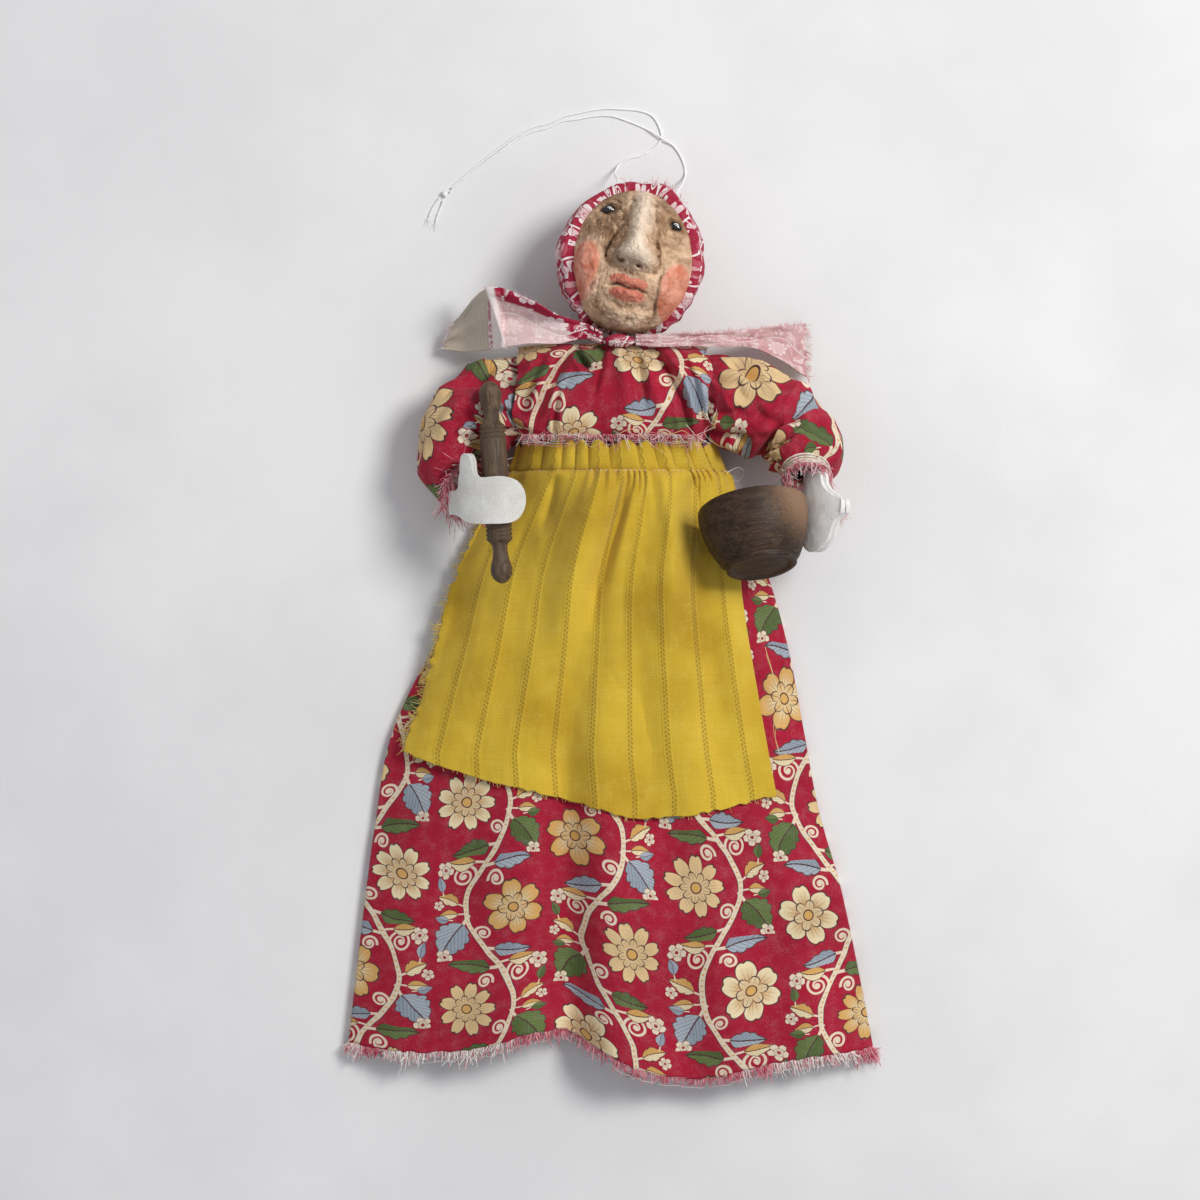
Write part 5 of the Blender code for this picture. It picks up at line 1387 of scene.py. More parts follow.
@dataclass
class Apron:
    """The mustard apron, gathered on a thread at the waist, with openwork rows and frayed edges."""

    shape: SkirtShape
    finishes: dict[str, bpy.types.Material]
    ruffle: float = 0.0050
    lift: float = 0.0033
    folds: tuple[tuple[tuple[float, ...], ...], ...] = (
        (((0.0040, 0.0460), (0.0045, 0.0300), (0.0020, 0.0080), (0.0000, -0.0150)), 0.0170, 0.0024),
        (
            ((0.0056, 0.0452), (0.0026, 0.0340), (-0.0012, 0.0220), (-0.0040, 0.0120), (-0.0056, 0.0)),
            0.0023, -0.0042
        ),
        (((0.0076, 0.0450), (0.0056, 0.0360), (0.0026, 0.0235), (-0.0004, 0.0140)), 0.0014, 0.0013),
        (((0.0152, 0.0450), (0.0170, 0.0300), (0.0178, 0.0120), (0.0160, -0.0040)), 0.0040, 0.0044),
        (((0.0235, 0.0458), (0.0240, 0.0350), (0.0262, 0.0220)), 0.0017, -0.0034),
        (((-0.0030, 0.0450), (-0.0075, 0.0300), (-0.0120, 0.0100), (-0.0160, -0.0120)), 0.0046, 0.0036),
        (((-0.0150, 0.0458), (-0.0168, 0.0370), (-0.0195, 0.0270)), 0.0018, -0.0022),
        (((0.0060, 0.0060), (0.0080, -0.0120), (0.0070, -0.0300), (0.0090, -0.0480)), 0.0046, -0.0014),
        (((-0.0260, 0.0200), (-0.0330, 0.0), (-0.0420, -0.0250)), 0.0050, 0.0018),
        (((0.0330, 0.0100), (0.0350, -0.0120), (0.0360, -0.0400)), 0.0042, 0.0020),
    )

    def tab(self, across: Points) -> Points:
        """How full the ruffle's tabs are, from gap to gap."""
        wave = across * 10.5 + 0.8 * noise(across * 5.0, 0.0, 0.0, 51)
        return np.abs(np.sin(np.pi * wave)) ** 0.60

    def gathers(self, across: Points, x: Points, y: Points) -> Points:
        """The tabs above the thread that draws the cloth in, and the gathers and folds below it.

        Args:
            across: Shares of the apron's width.
            x, y: Places seen from above.

        Returns:
            The heights.
        """
        s = self.shape
        below = (s.waist_y - self.ruffle - y) / 0.001
        under = np.maximum(below, 0.0)
        tab = self.tab(across)
        fan = np.clip(-below / 5.5, 0.0, 1.0) ** 0.8
        size = 0.75 + 0.5 * noise(across * 6.0, 4.0, 0.0, 52)
        above = (0.0008 + 0.0040 * tab * size) * fan - 0.0002
        narrow = across * 24.0 + 1.6 * noise(across * 11.0, under * 0.04, 0.0, 53)
        strength = np.clip(0.55 + 1.1 * noise(across * 7.0, 0.0, 0.0, 54), 0.0, 1.3)
        drawn = 0.00095 * strength * np.cos(2 * np.pi * narrow) * np.exp(-under / 3.4)
        puff = 0.0013 * (1.0 - np.exp(-under / 0.9)) * np.exp(-under / 8.0)
        relief = np.where(below < 0.0, above, drawn + puff) - 0.0005 * hill(below, 0.7)
        for route, spread, rise in self.folds:
            distance, along = segment_distance(x, y, route)
            ends = np.clip(3.0 * np.minimum(along + 0.08, 1.0 - along), 0.0, 1.0)
            relief = relief + rise * ends * np.exp(
                -np.abs(distance / (spread * (0.8 + 0.6 * along))) ** 1.7
            ) * step(under, 0.0, 2.5)
        soft = noise(
            across * 6.0 + 0.5, under * 0.028, 0.0, 55
        ) * 0.0016 + noise(across * 15.0, under * 0.05, 0.0, 56) * 0.0007
        return relief + soft * step(under, 1.0, 9.0)

    def place(self, u: Points, v: Points) -> tuple[Points, Points]:
        """Shape the sheet over the skirt.

        Args:
            u: Shares of the way across the cloth.
            v: Shares of the way down the cloth.

        Returns:
            The points and their places on the flat cloth.
        """
        s = self.shape
        down = 1.0 - v
        x, y = s.apron_place(u, down)
        z = s.apron_height(x, y, u, down) + 0.00035
        edge = np.minimum(u, 1.0 - u)
        z = z + np.maximum(s.wrinkles(x, y), -0.0002) + self.gathers(u, x, y)
        z = z + 0.0004 * step(edge, 0.03, 0.0) * (0.5 + noise(down * 9.0, u * 3.0, 0.0, 57))
        crease = fractal(u * 16.0, down * 5.0, 0.0, 2, 59) * 0.00022
        z = z + crease * step(edge, 0.0, 0.06)
        z = np.maximum(z, s.height(x, y) + s.wrinkles(x, y) + 0.0008)
        ragged_x = 0.0006 * noise(down * 55.0, 1.0, 0.0, 61) * step(u, 0.02, 0.0)
        ragged_y = 0.0004 * noise(u * 60.0, 2.0, 0.0, 63) * step(down, 0.98, 1.0)
        top = (
            self.lift + 0.0007 * noise(u * 22.0, 5.0, 0.0, 65) + 0.0026 * (self.tab(u) - 0.7)
        ) * step(down, 0.040, 0.0)
        length = s.apron_length * table_value(s.apron_hem, u)
        points = np.stack([x + ragged_x, y + ragged_y + top, z], axis=1)
        return points, np.stack([u * s.apron_width, s.apron_length - down * length], axis=1)

    def build(self) -> None:
        """Make the cloth, its stitches and its frayed threads."""
        cloth = cloth_piece("apron_cloth", 340, 300, self.place, thickness=0.0005, offset=0.0)
        cloth.data.materials.append(self.finishes["apron"])
        frays = self.frays()
        stitches = self.stitches()
        for piece in (cloth, frays, stitches):
            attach(piece, "torso")
        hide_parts("apron")
        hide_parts("gather_thread")
        LOG.info("apron")

    def frays(self) -> bpy.types.Object:
        """Loose ends along the cut side, the hem and the ruffle.

        Returns:
            The loose ends.
        """
        chance = np.random.default_rng(71)
        strands = []
        down = np.sort(chance.uniform(0.10, 0.99, 420))
        edge, _ = self.place(np.full(420, 0.002), 1.0 - down)
        inner, _ = self.place(np.full(420, 0.03), 1.0 - down)
        lengths = (
            0.0008 + 0.0018 * (0.5 + 0.5 * noise(down * 30.0, 0.0, 0.0, 73))
        ) * chance.uniform(0.6, 1.3, 420)
        ways = unit(edge - inner) + np.array([0.0, -0.25, 0.0])
        strands += fringe(edge, ways, lengths, 0.18, 74, (0, 0, 1), 0.00008, 0.35)
        u = np.sort(chance.uniform(0.0, 1.0, 150))
        edge, _ = self.place(u, np.full(150, 0.002))
        strands += fringe(
            edge, np.tile([0.0, -1.0, -0.3], (150, 1)), chance.uniform(0.0004, 0.0013, 150), 0.25, 75, (0, 1),
            0.00007
        )
        u = np.sort(chance.uniform(0.0, 1.0, 90))
        edge, _ = self.place(u, np.full(90, 0.999))
        strands += fringe(
            edge, np.tile([0.0, 1.0, 0.1], (90, 1)), chance.uniform(0.0004, 0.0014, 90), 0.4, 76, (0, 1),
            0.00007
        )
        side = (
            (0.0438, -0.004, 0.0155), (0.0462, -0.012, 0.0128), (0.0478, -0.019, 0.0112),
            (0.0463, -0.027, 0.0112), (0.0480, -0.034, 0.0100)
        )
        strands.append((through(side, 26), 0.00008, 1))
        strands.append(
            (through([(x + 0.0006 * math.sin(y * 900), y - 0.002, z) for x, y, z in side], 26), 0.00007, 1)
        )
        return strand_bundle(
            "apron_frays", strands, [self.finishes["fray_gold"], self.finishes["fray_straw"]]
        )

    def stitches(self) -> bpy.types.Object:
        """Running stitches that draw the apron in, with a loose end at each side.

        Returns:
            The stitches.
        """
        s = self.shape
        down = self.ruffle / s.apron_length
        strands = []
        for k in range(46):
            u = np.linspace((k + 0.18) / 46, (k + 0.72) / 46, 9)
            share = 1.0 - (down - s.apron_drop / s.apron_length) / table_value(s.apron_hem, u)
            points, _ = self.place(u, share)
            hump = np.sin(np.linspace(0.0, np.pi, 9))
            points[:, 2] += 0.00010 + 0.00022 * hump
            strands.append((points, 0.00013, 0))
        x, y, z = self.place(np.array([0.985]), np.array([1.0 - down]))[0][0]
        loop = (
            (x, y, z), (x + 0.0035, y + 0.0016, z - 0.001), (x + 0.0052, y + 0.0002, z - 0.004),
            (x + 0.0034, y - 0.0022, z - 0.0045), (x + 0.0008, y - 0.0016, z - 0.001)
        )
        strands.append((through(loop, 24), 0.00014, 0))
        x, y, z = self.place(np.array([0.015]), np.array([1.0 - down]))[0][0]
        tail = (
            (x, y, z), (x - 0.0018, y + 0.0022, z + 0.0002), (x - 0.0036, y + 0.0020, z - 0.0012),
            (x - 0.0044, y + 0.0036, z - 0.002)
        )
        strands.append((through(tail, 18), 0.00013, 0))
        return strand_bundle("apron_stitches", strands, [self.finishes["thread_white"]], 1)


# Bodice and sleeves

NECK_TOP = np.array([0.0015, 0.0852, 0.0172])


@dataclass
class Bodice:
    """The gathered bodice between the armholes, with pleats that fan out from the neck and a frayed hem."""

    finishes: dict[str, bpy.types.Material]
    half_span: float = 0.0270
    middle_x: float = 0.0006
    creases: tuple[tuple[tuple[float, ...], ...], ...] = (
        (((-0.0103, 0.0812), (-0.0084, 0.0775), (-0.0060, 0.0742)), 0.0010, 0.0044),
        (((-0.0120, 0.0805), (-0.0149, 0.0735), (-0.0185, 0.0672), (-0.0216, 0.0600)), 0.0012, 0.0026),
        (((-0.0146, 0.0690), (-0.0156, 0.0610), (-0.0158, 0.0530)), 0.0007, 0.0019),
        (((0.0100, 0.0822), (0.0165, 0.0740), (0.0205, 0.0660), (0.0224, 0.0540)), 0.0013, 0.0030),
        (((0.0185, 0.0800), (0.0232, 0.0720), (0.0256, 0.0620), (0.0262, 0.0540)), 0.0012, 0.0026),
        (((0.0068, 0.0825), (0.0090, 0.0740), (0.0096, 0.0640)), 0.0011, 0.0014),
        (((-0.0015, 0.0830), (-0.0030, 0.0750), (-0.0050, 0.0670)), 0.0010, 0.0015),
        (((0.0032, 0.0830), (0.0035, 0.0760)), 0.0009, 0.0013),
        (((-0.0185, 0.0790), (-0.0226, 0.0710), (-0.0250, 0.0620)), 0.0013, 0.0022),
    )

    def place(self, u: Points, v: Points) -> tuple[Points, Points]:
        """Shape the tube, which lies across the doll from armhole to armhole.

        Args:
            u: Shares of the way across the cloth.
            v: Shares of the way down the cloth.

        Returns:
            The points and their places on the flat cloth.
        """
        place = 2 * v - 1
        x = self.middle_x + place * self.half_span
        inner = 1.0 - np.abs(place) ** 5
        neck = hill(x - NECK_TOP[0], 0.054 / 7)
        low = 0.055 - 0.0034 * (1.0 - place**6)
        high = 0.081 + 0.0022 * np.maximum(neck, inner * 0.45)
        half_depth = 0.0108 + 0.0017 * inner
        centre_z = 0.0116 + 0.0017 * inner
        power = 2 / (2.0 + 0.7 * inner)
        a = 2 * np.pi * u
        cosine, sine = np.cos(a), np.sin(a)
        up = np.sign(cosine) * np.abs(cosine) ** power
        out = np.sign(sine) * np.abs(sine) ** power
        y = (low + high) / 2 + up * (high - low) / 2
        front = np.maximum(sine, 0.0)
        fan = np.arctan2(x - NECK_TOP[0], 0.0965 - y)
        pleats = np.cos(15 * fan + 2.2 * noise(fan * 4.0, y * 60.0, 0.0, 81))
        near_neck = step(y, 0.066, 0.084)
        rise = 0.0017 * inner * front * pleats * (0.40 + 0.80 * near_neck)
        for route, spread, depth in self.creases:
            distance, along = segment_distance(x, y, route)
            lip = hill(distance - 1.8 * spread, spread) * 0.30
            ends = np.clip(4.0 * np.minimum(along, 1.0 - along) + 0.25, 0.0, 1.0)
            rise = rise - depth * front * ends * (hill(distance, spread) - lip)
        rise = rise + fractal(x * 170.0, y * 120.0, 0.0, 3, 83) * 0.00042 * front
        rise = rise + noise(x * 75.0, y * 60.0, 0.0, 84) * 0.0010 * front
        seam = np.abs(place)
        rise = rise + 0.0008 * np.cos(
            9 * a + 2.0 * noise(np.cos(a) * 2, place, 0.0, 86)
        ) * step(seam, 0.80, 0.98)
        x = x + np.sign(place) * (
            0.0011 * noise(np.cos(a) * 2.4, np.sin(a) * 2.4, place, 87) + 0.0004
        ) * step(seam, 0.86, 1.0)
        gather = np.cos(2 * np.pi * (x - NECK_TOP[0]) / 0.0019 + 1.4 * noise(x * 300.0, 0.0, 0.0, 85))
        rise = rise + 0.0005 * gather * front * step(y, 0.0775, 0.083) * neck**0.5
        z = np.maximum(centre_z + out * half_depth + rise, 0.0008)
        half_round = (high - low) / 2 + half_depth
        flat = np.stack(
            [x * 1.12 + 0.040, 0.070 - np.where(a < np.pi, a, a - 2 * np.pi) * half_round * 0.62], axis=1
        )
        return np.stack([x, y, z], axis=1), flat

    def build(self) -> None:
        """Make the cloth and its frayed hem."""
        cloth = cloth_piece("bodice_cloth", 230, 190, self.place, closed=True)
        cloth.data.flip_normals()
        cloth.data.materials.append(self.finishes["bodice"])
        frays = self.frays()
        for piece in (cloth, frays):
            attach(piece, "torso")
        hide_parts("bodice")
        LOG.info("bodice")

    def frays(self) -> bpy.types.Object:
        """The frayed hem that lies over the apron's ruffle, and loose threads at the armpit.

        Returns:
            The loose ends.
        """
        chance = np.random.default_rng(91)
        count = 560
        v = np.sort(chance.uniform(0.03, 0.97, count))
        a = chance.uniform(0.55, 0.66, count) * np.pi
        roots, _ = self.place(a / (2 * np.pi), v)
        lower, _ = self.place((a + 0.15) / (2 * np.pi), v)
        roots[:, 1] = np.minimum(roots[:, 1], 0.0560)
        ways = unit(lower - roots) * 0.4 + np.array([0.0, -0.8, 0.12])
        tuft = 0.5 + 0.5 * noise(v * 40.0, 0.0, 0.0, 93)
        lengths = (0.0012 + 0.0020 * tuft) * chance.uniform(0.6, 1.3, count)
        strands = fringe(roots, ways, lengths, 0.30, 94, (0, 0, 1, 1, 2), 0.00009, 0.05, low=0.0230)
        weft = []
        for k, (height, slot) in enumerate(((0.0548, 0), (0.0541, 1), (0.0535, 1), (0.0530, 0))):
            for start in np.arange(-0.025, 0.023, 0.0085):
                x = np.linspace(start, start + 0.0095, 16)
                sway = 0.0005 * noise(x * 330.0, k * 3.1, 0.0, 95)
                z = 0.0240 + 0.0004 * noise(x * 400.0, k * 1.7, 0.0, 97) - 0.0010 * np.abs(x / 0.026) ** 3
                weft.append((np.stack([x, height + sway, z], axis=1), 0.00008, slot))
        loose = (
            (
                (0.0020, 0.0560, 0.0262), (0.0060, 0.0575, 0.0270), (0.0100, 0.0545, 0.0268),
                (0.0130, 0.0520, 0.0262), (0.0155, 0.0505, 0.0256)
            ),
            (
                (0.0135, 0.0575, 0.0262), (0.0165, 0.0560, 0.0270), (0.0205, 0.0570, 0.0266),
                (0.0235, 0.0540, 0.0258), (0.0250, 0.0500, 0.0250)
            ),
            ((-0.0150, 0.0535, 0.0262), (-0.0145, 0.0560, 0.0268), (-0.0150, 0.0590, 0.0266)),
            (
                (-0.0100, 0.0530, 0.0262), (-0.0080, 0.0545, 0.0270), (-0.0055, 0.0525, 0.0264),
                (-0.0030, 0.0535, 0.0260)
            ),
            (
                (0.0270, 0.0690, 0.0180), (0.0300, 0.0650, 0.0205), (0.0290, 0.0600, 0.0190),
                (0.0265, 0.0570, 0.0190), (0.0285, 0.0540, 0.0180)
            ),
            (
                (0.0280, 0.0660, 0.0190), (0.0262, 0.0630, 0.0215), (0.0290, 0.0590, 0.0210),
                (0.0310, 0.0610, 0.0205)
            ),
        )
        weft += [(through(route, 30), 0.00008, 3 if k < 4 else 1) for k, route in enumerate(loose)]
        order = ("fray_pink", "fray_white", "fray_red", "fray_straw")
        return strand_bundle("bodice_frays", strands + weft, [self.finishes[name] for name in order])


@dataclass(frozen=True)
class SleeveShape:
    """One sleeve: its side, the joints along it and its sizes, all in metres."""
    side: float
    elbow: tuple[float, float, float]
    cuff: tuple[float, float, float]
    cuff_way: tuple[float, float, float]
    middle: float
    wrist: float
    ease: tuple[tuple[float, float, float], tuple[float, float, float]]
    drawn_in: float

    @property
    def name(self) -> str:
        """Which side of the doll it is on."""
        return "right" if self.side < 0 else "left"

    def seam(self) -> Points:
        """The middle of the armhole."""
        return np.array([0.0006 + self.side * 0.0258, 0.068, 0.0116])

    def lower(self, place: float) -> Points:
        """The middle of the lower sleeve at a share of its length.

        Args:
            place: Shares of the lower sleeve's length.

        Returns:
            The middles.
        """
        elbow, cuff = np.array(self.elbow), np.array(self.cuff)
        normal = unit(np.array(self.cuff_way))
        leave = unit(unit(cuff - elbow) * 0.71 - unit(self.seam() - elbow) * 0.40)
        first = elbow + leave * 0.0210 * 0.275
        handle = np.linalg.norm(cuff - first) * 0.45
        a, b = first + leave * handle, cuff - normal * handle
        rest = 1.0 - place
        return first * rest**3 + a * 3 * rest**2 * place + b * 3 * rest * place**2 + cuff * place**3

    def path(self) -> tuple[list[Points], list[tuple[float, float]]]:
        """Middle points from armhole to cuff, with the half width and half depth at each.

        Returns:
            The middles, and the half widths with them.
        """
        seam, elbow = self.seam(), np.array(self.elbow)
        reach = np.linalg.norm(elbow - seam)
        out = np.array([self.side, 0.0, 0.0])
        points, sizes = [], []
        for p in (0.0, 0.2, 0.45, 0.72):
            puff = 1.0 - 0.05 * math.sin(2 * math.pi * p)
            points.append(seam + (elbow - seam) * p + out * reach * 0.16 * math.sin(math.pi * p))
            sizes.append(((0.013 * (1 - p) + 0.0105 * p) * puff, (0.0108 * (1 - p) + 0.0105 * p) * puff))
        points.append(elbow + (self.lower(0.0) - elbow) * 0.30 + out * 0.0006)
        sizes.append((0.0105, 0.0104))
        for p in (0.22, 0.48, 0.76, 1.0):
            points.append(self.lower(p))
            half = float(
                table_value(((0.0, 0.0100), (0.45, self.middle / 2), (1.0, self.wrist / 2)), np.array(p))
            )
            sizes.append((half, half))
        return points, sizes


RIGHT_SLEEVE = SleeveShape(
    side=-1.0, elbow=(-0.0407, 0.0585, 0.0125), cuff=(-0.0407, 0.0415, 0.0175), cuff_way=(0.62, -0.36, 0.70),
    middle=0.0184, wrist=0.0152, ease=((-0.0330, 0.0650, 0.0120), (-0.0425, 0.0520, 0.0145)),
    drawn_in=0.0,
)
LEFT_SLEEVE = SleeveShape(
    side=1.0, elbow=(0.0500, 0.0578, 0.0122), cuff=(0.0554, 0.0438, 0.0230), cuff_way=(0.10, -0.80, 0.60),
    middle=0.0184, wrist=0.0130, ease=((0.0420, 0.0640, 0.0120), (0.0525, 0.0515, 0.0165)),
    drawn_in=0.0022,
)


class Sleeve:
    """One puffed sleeve that bends at the elbow, with gathers, creases and a frayed cuff."""

    long_creases = (
        (1.22, 28.0, 0.0022, 0.0010, 0.0170), (1.92, -22.0, 0.0019, 0.0005, 0.0140),
        (0.66, 14.0, 0.0017, 0.0040, 0.0210),
        (2.55, -12.0, 0.0017, 0.0030, 0.0190), (1.55, 10.0, 0.0015, 0.0140, 0.0260),
    )

    def __init__(self, shape: SleeveShape, finishes: dict[str, bpy.types.Material]) -> None:
        """Keep the shape and the materials, and lay out the sleeve's middle line.

        Args:
            shape: The sleeve's sizes.
            finishes: The materials by name.
        """
        self.shape = shape
        self.finishes = finishes
        points, sizes = shape.path()
        route = np.array(points)
        lengths = np.concatenate([[0.0], np.cumsum(np.linalg.norm(np.diff(route, axis=0), axis=1))])
        self.length = float(lengths[-1])
        self.tables = [list(zip(lengths, route[:, k])) for k in range(3)]
        self.widths = [list(zip(lengths, [size[k] for size in sizes])) for k in range(2)]
        self.bend = float(lengths[4])
        elbow = np.array(shape.elbow)
        self.crook = unit((shape.seam() + np.array(shape.cuff)) / 2 - elbow)

    def ring(self, at: Points, angle: Points, grow: Points | float = 0.0) -> tuple[Points, Points]:
        """Points round the sleeve at distances along it, and which way each faces.

        Args:
            at: Distances along the sleeve.
            angle: Angles round it.
            grow: How much wider than the sleeve the ring is.

        Returns:
            The points and the outward directions.
        """
        centre = np.stack([table_value(t, at) for t in self.tables], axis=1)
        ahead = np.stack([table_value(t, np.minimum(at + 0.0008, self.length)) for t in self.tables], axis=1)
        behind = np.stack([table_value(t, np.maximum(at - 0.0008, 0.0)) for t in self.tables], axis=1)
        heading = unit(ahead - behind)
        start = step(at, 0.0, 0.006)[:, None]
        heading = unit(heading * start + np.array([self.shape.side, 0.0, 0.0]) * (1 - start))
        side = unit(np.cross(np.array([0.0, 0.0, 1.0]), heading))
        top = np.cross(heading, side)
        facing = side * np.cos(angle)[:, None] + top * np.sin(angle)[:, None]
        across, deep = (table_value(t, at) for t in self.widths)
        size = side * (
            (across + grow) * np.cos(angle)
        )[:, None] + top * ((deep + grow) * np.sin(angle))[:, None]
        return centre + size, facing

    def drawn(self, at: Points) -> Points:
        """How far the thread draws the sleeve in beside its cuff."""
        return self.shape.drawn_in * np.exp(-((((self.length - at) / 0.0022) - 0.8) ** 2))

    def folds(self, at: Points, angle: Points, facing: Points) -> Points:
        """How far the cloth stands out in gathers and creases.

        Args:
            at: Distances along the sleeve.
            angle: Angles round it.
            facing: The outward directions.

        Returns:
            The heights of the folds.
        """
        seed = 101 if self.shape.side < 0 else 121
        wave = np.cos(12 * angle + 1.8 * noise(np.cos(angle) * 2, np.sin(angle) * 2, 0.0, seed))
        rise = 0.00085 * wave * np.exp(-at / 0.006) - 0.0028 * np.exp(-((at / 0.0032) ** 2))
        near_cuff = (self.length - at) / 0.0035
        rise = rise + 0.0006 * np.cos(10 * angle + 2.0) * np.exp(-near_cuff)
        rise = rise - self.drawn(at)
        ridged = 1.0 - 2.0 * np.abs(
            noise(np.cos(angle) * 1.5 + at * 90, np.sin(angle) * 1.5, at * 110.0, seed + 1)
        )
        rise = rise + 0.0020 * ridged * step(at, 0.002, 0.010) * step(self.length - at, 0.002, 0.008)
        rise = rise + fractal(np.cos(angle) * 3.4, np.sin(angle) * 3.4, at * 240.0, 2, seed + 2) * 0.00045
        inner = np.clip((facing @ self.crook + 0.15) / 1.15, 0.0, 1.0)
        for offset, depth, spread in (
            (-0.0032, 0.0026, 0.0013), (0.0008, 0.0034, 0.0014), (0.0046, 0.0025, 0.0013),
            (0.0085, 0.0016, 0.0015)
        ):
            bent = at - self.bend - offset + 0.0012 * noise(angle * 0.9, offset * 900, 0.0, seed + 3)
            rise = rise - 1.25 * depth * inner**1.3 * hill(bent, spread)
        rise = rise + 0.0008 * inner * hill(at - self.bend - 0.0105, 0.002)
        for middle, slope, depth, start, end in self.long_creases:
            ends = step(at, start, start + 0.003) * step(at, end, end - 0.004)
            aside = angle - middle - slope * (at - 0.008) - 0.10 * noise(at * 260.0, middle, 0.0, seed + 4)
            rise = rise - depth * ends * (hill(aside, 0.13) - 0.35 * hill(aside - 0.30, 0.14))
        return rise

    def place(self, u: Points, v: Points) -> tuple[Points, Points]:
        """Shape the sleeve, with its cuff turned in.

        Args:
            u: Shares of the way across the cloth.
            v: Shares of the way down the cloth.

        Returns:
            The points and their places on the flat cloth.
        """
        outer = np.clip(v / 0.94, 0.0, 1.0)
        turned_in = np.clip((v - 0.94) / 0.06, 0.0, 1.0)
        at = outer * self.length
        angle = 2 * np.pi * u
        at_inside = at - turned_in * 0.0045
        points, facing = self.ring(at_inside, angle, -0.0013 * np.minimum(1.0, turned_in * 4))
        rise = self.folds(at, angle, facing)
        points = points + facing * rise[:, None]
        points[:, 2] = np.maximum(points[:, 2], 0.0004)
        flat = np.stack([u * 0.062 * self.shape.side, at + turned_in * 0.0045], axis=1)
        return points, flat + np.array([0.17, 0.11 if self.shape.side < 0 else 0.045])

    def build(self) -> None:
        """Make the cloth, bent between the upper arm and the forearm, and the cuff's frays."""
        name = self.shape.name
        cloth = cloth_piece(f"{name}_sleeve", 170, 230, self.place, closed=True)
        cloth.data.materials.append(self.finishes["sleeve"])
        bm = bmesh.new()
        bm.from_mesh(cloth.data)
        bmesh.ops.recalc_face_normals(bm, faces=bm.faces)
        bm.to_mesh(cloth.data)
        bm.free()
        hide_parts(f"{name}_upper_sleeve", f"{name}_lower_sleeve")
        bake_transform(cloth)
        frays = self.frays()
        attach(frays, f"{name}_forearm")
        LOG.info("%s sleeve", name)

    def frays(self) -> bpy.types.Object:
        """The frayed edge of the cuff.

        Returns:
            The loose ends.
        """
        right = self.shape.side < 0
        chance = np.random.default_rng(131 if right else 141)
        count = 900 if right else 520
        angle = np.sort(chance.uniform(0.0, 2 * np.pi, count))
        at = np.full(count, self.length) - chance.uniform(0.0, 0.0012 if right else 0.0006, count)
        roots, facing = self.ring(at, angle, 0.0002)
        before, _ = self.ring(at - 0.002, angle, 0.0002)
        ways = unit(roots - before) * (1.0 if right else 0.6) + facing * (0.25 if right else -0.55)
        low, high = (0.0020, 0.0062) if right else (0.0012, 0.0034)
        lengths = chance.uniform(low, high, count)
        strands = fringe(roots, ways, lengths, 0.45, 132, (0, 0, 0, 1, 2), 0.00010, 0.10)
        for k in range(9):
            start = chance.uniform(0.0, 2 * np.pi)
            turn = np.linspace(start, start + 2.2, 20)
            along = self.length + 0.0002 * k - 0.0004 + 0.0003 * noise(turn * 3.0, k, 0.0, 133)
            points, _ = self.ring(np.minimum(along, self.length), turn, 0.0004 + 0.00006 * k)
            strands.append((points, 0.00010, int(chance.integers(0, 2))))
        order = ("fray_pink", "fray_white", "fray_red")
        return strand_bundle(
            f"{self.shape.name}_cuff_frays", strands, [self.finishes[name] for name in order]
        )


# Hands, rolling pin and bowl

@dataclass(frozen=True)
class PaintedFinish:
    """Off-white painted cloth with a fine crazed, woven surface, its paint between two colours."""

    name: str
    low: Colour
    high: Colour

    def make(self) -> bpy.types.Material:
        """Build the material's nodes.

        Returns:
            The material.
        """
        material, g, shader = new_finish(self.name)
        place = g.object_place()
        weave = g.add("ShaderNodeTexVoronoi", feature="DISTANCE_TO_EDGE")
        g.feed(weave.inputs["Vector"], g.scaled(place, (2400.0, 2100.0, 2200.0)))
        weave.inputs["Scale"].default_value = 1.0
        pits = g.smooth(weave.outputs[0], 0.0, 0.16)
        broad = g.noise(place, 160.0, 4.0, 0.6)
        colour = g.mix(g.smooth(broad, 0.3, 0.72), self.low, self.high)
        colour = g.mix(
            g.math("MULTIPLY", g.math("SUBTRACT", 1.0, pits), 0.30), colour, (0.42, 0.39, 0.33, 1.0)
        )
        smudge = g.smooth(g.noise(place, 420.0, 3.0), 0.60, 0.76)
        colour = g.mix(g.math("MULTIPLY", smudge, 0.16), colour, (0.45, 0.40, 0.32, 1.0))
        g.feed(shader.inputs["Base Color"], colour)
        g.feed(shader.inputs["Roughness"], g.smooth(broad, 0.3, 0.7, 0.72, 0.86))
        height = g.math(
            "ADD", g.math("MULTIPLY", pits, 0.6), g.math("MULTIPLY", g.noise(place, 900.0, 3.0), 0.7)
        )
        g.feed(shader.inputs["Normal"], g.bump(height, 0.8, 0.00016))
        return material


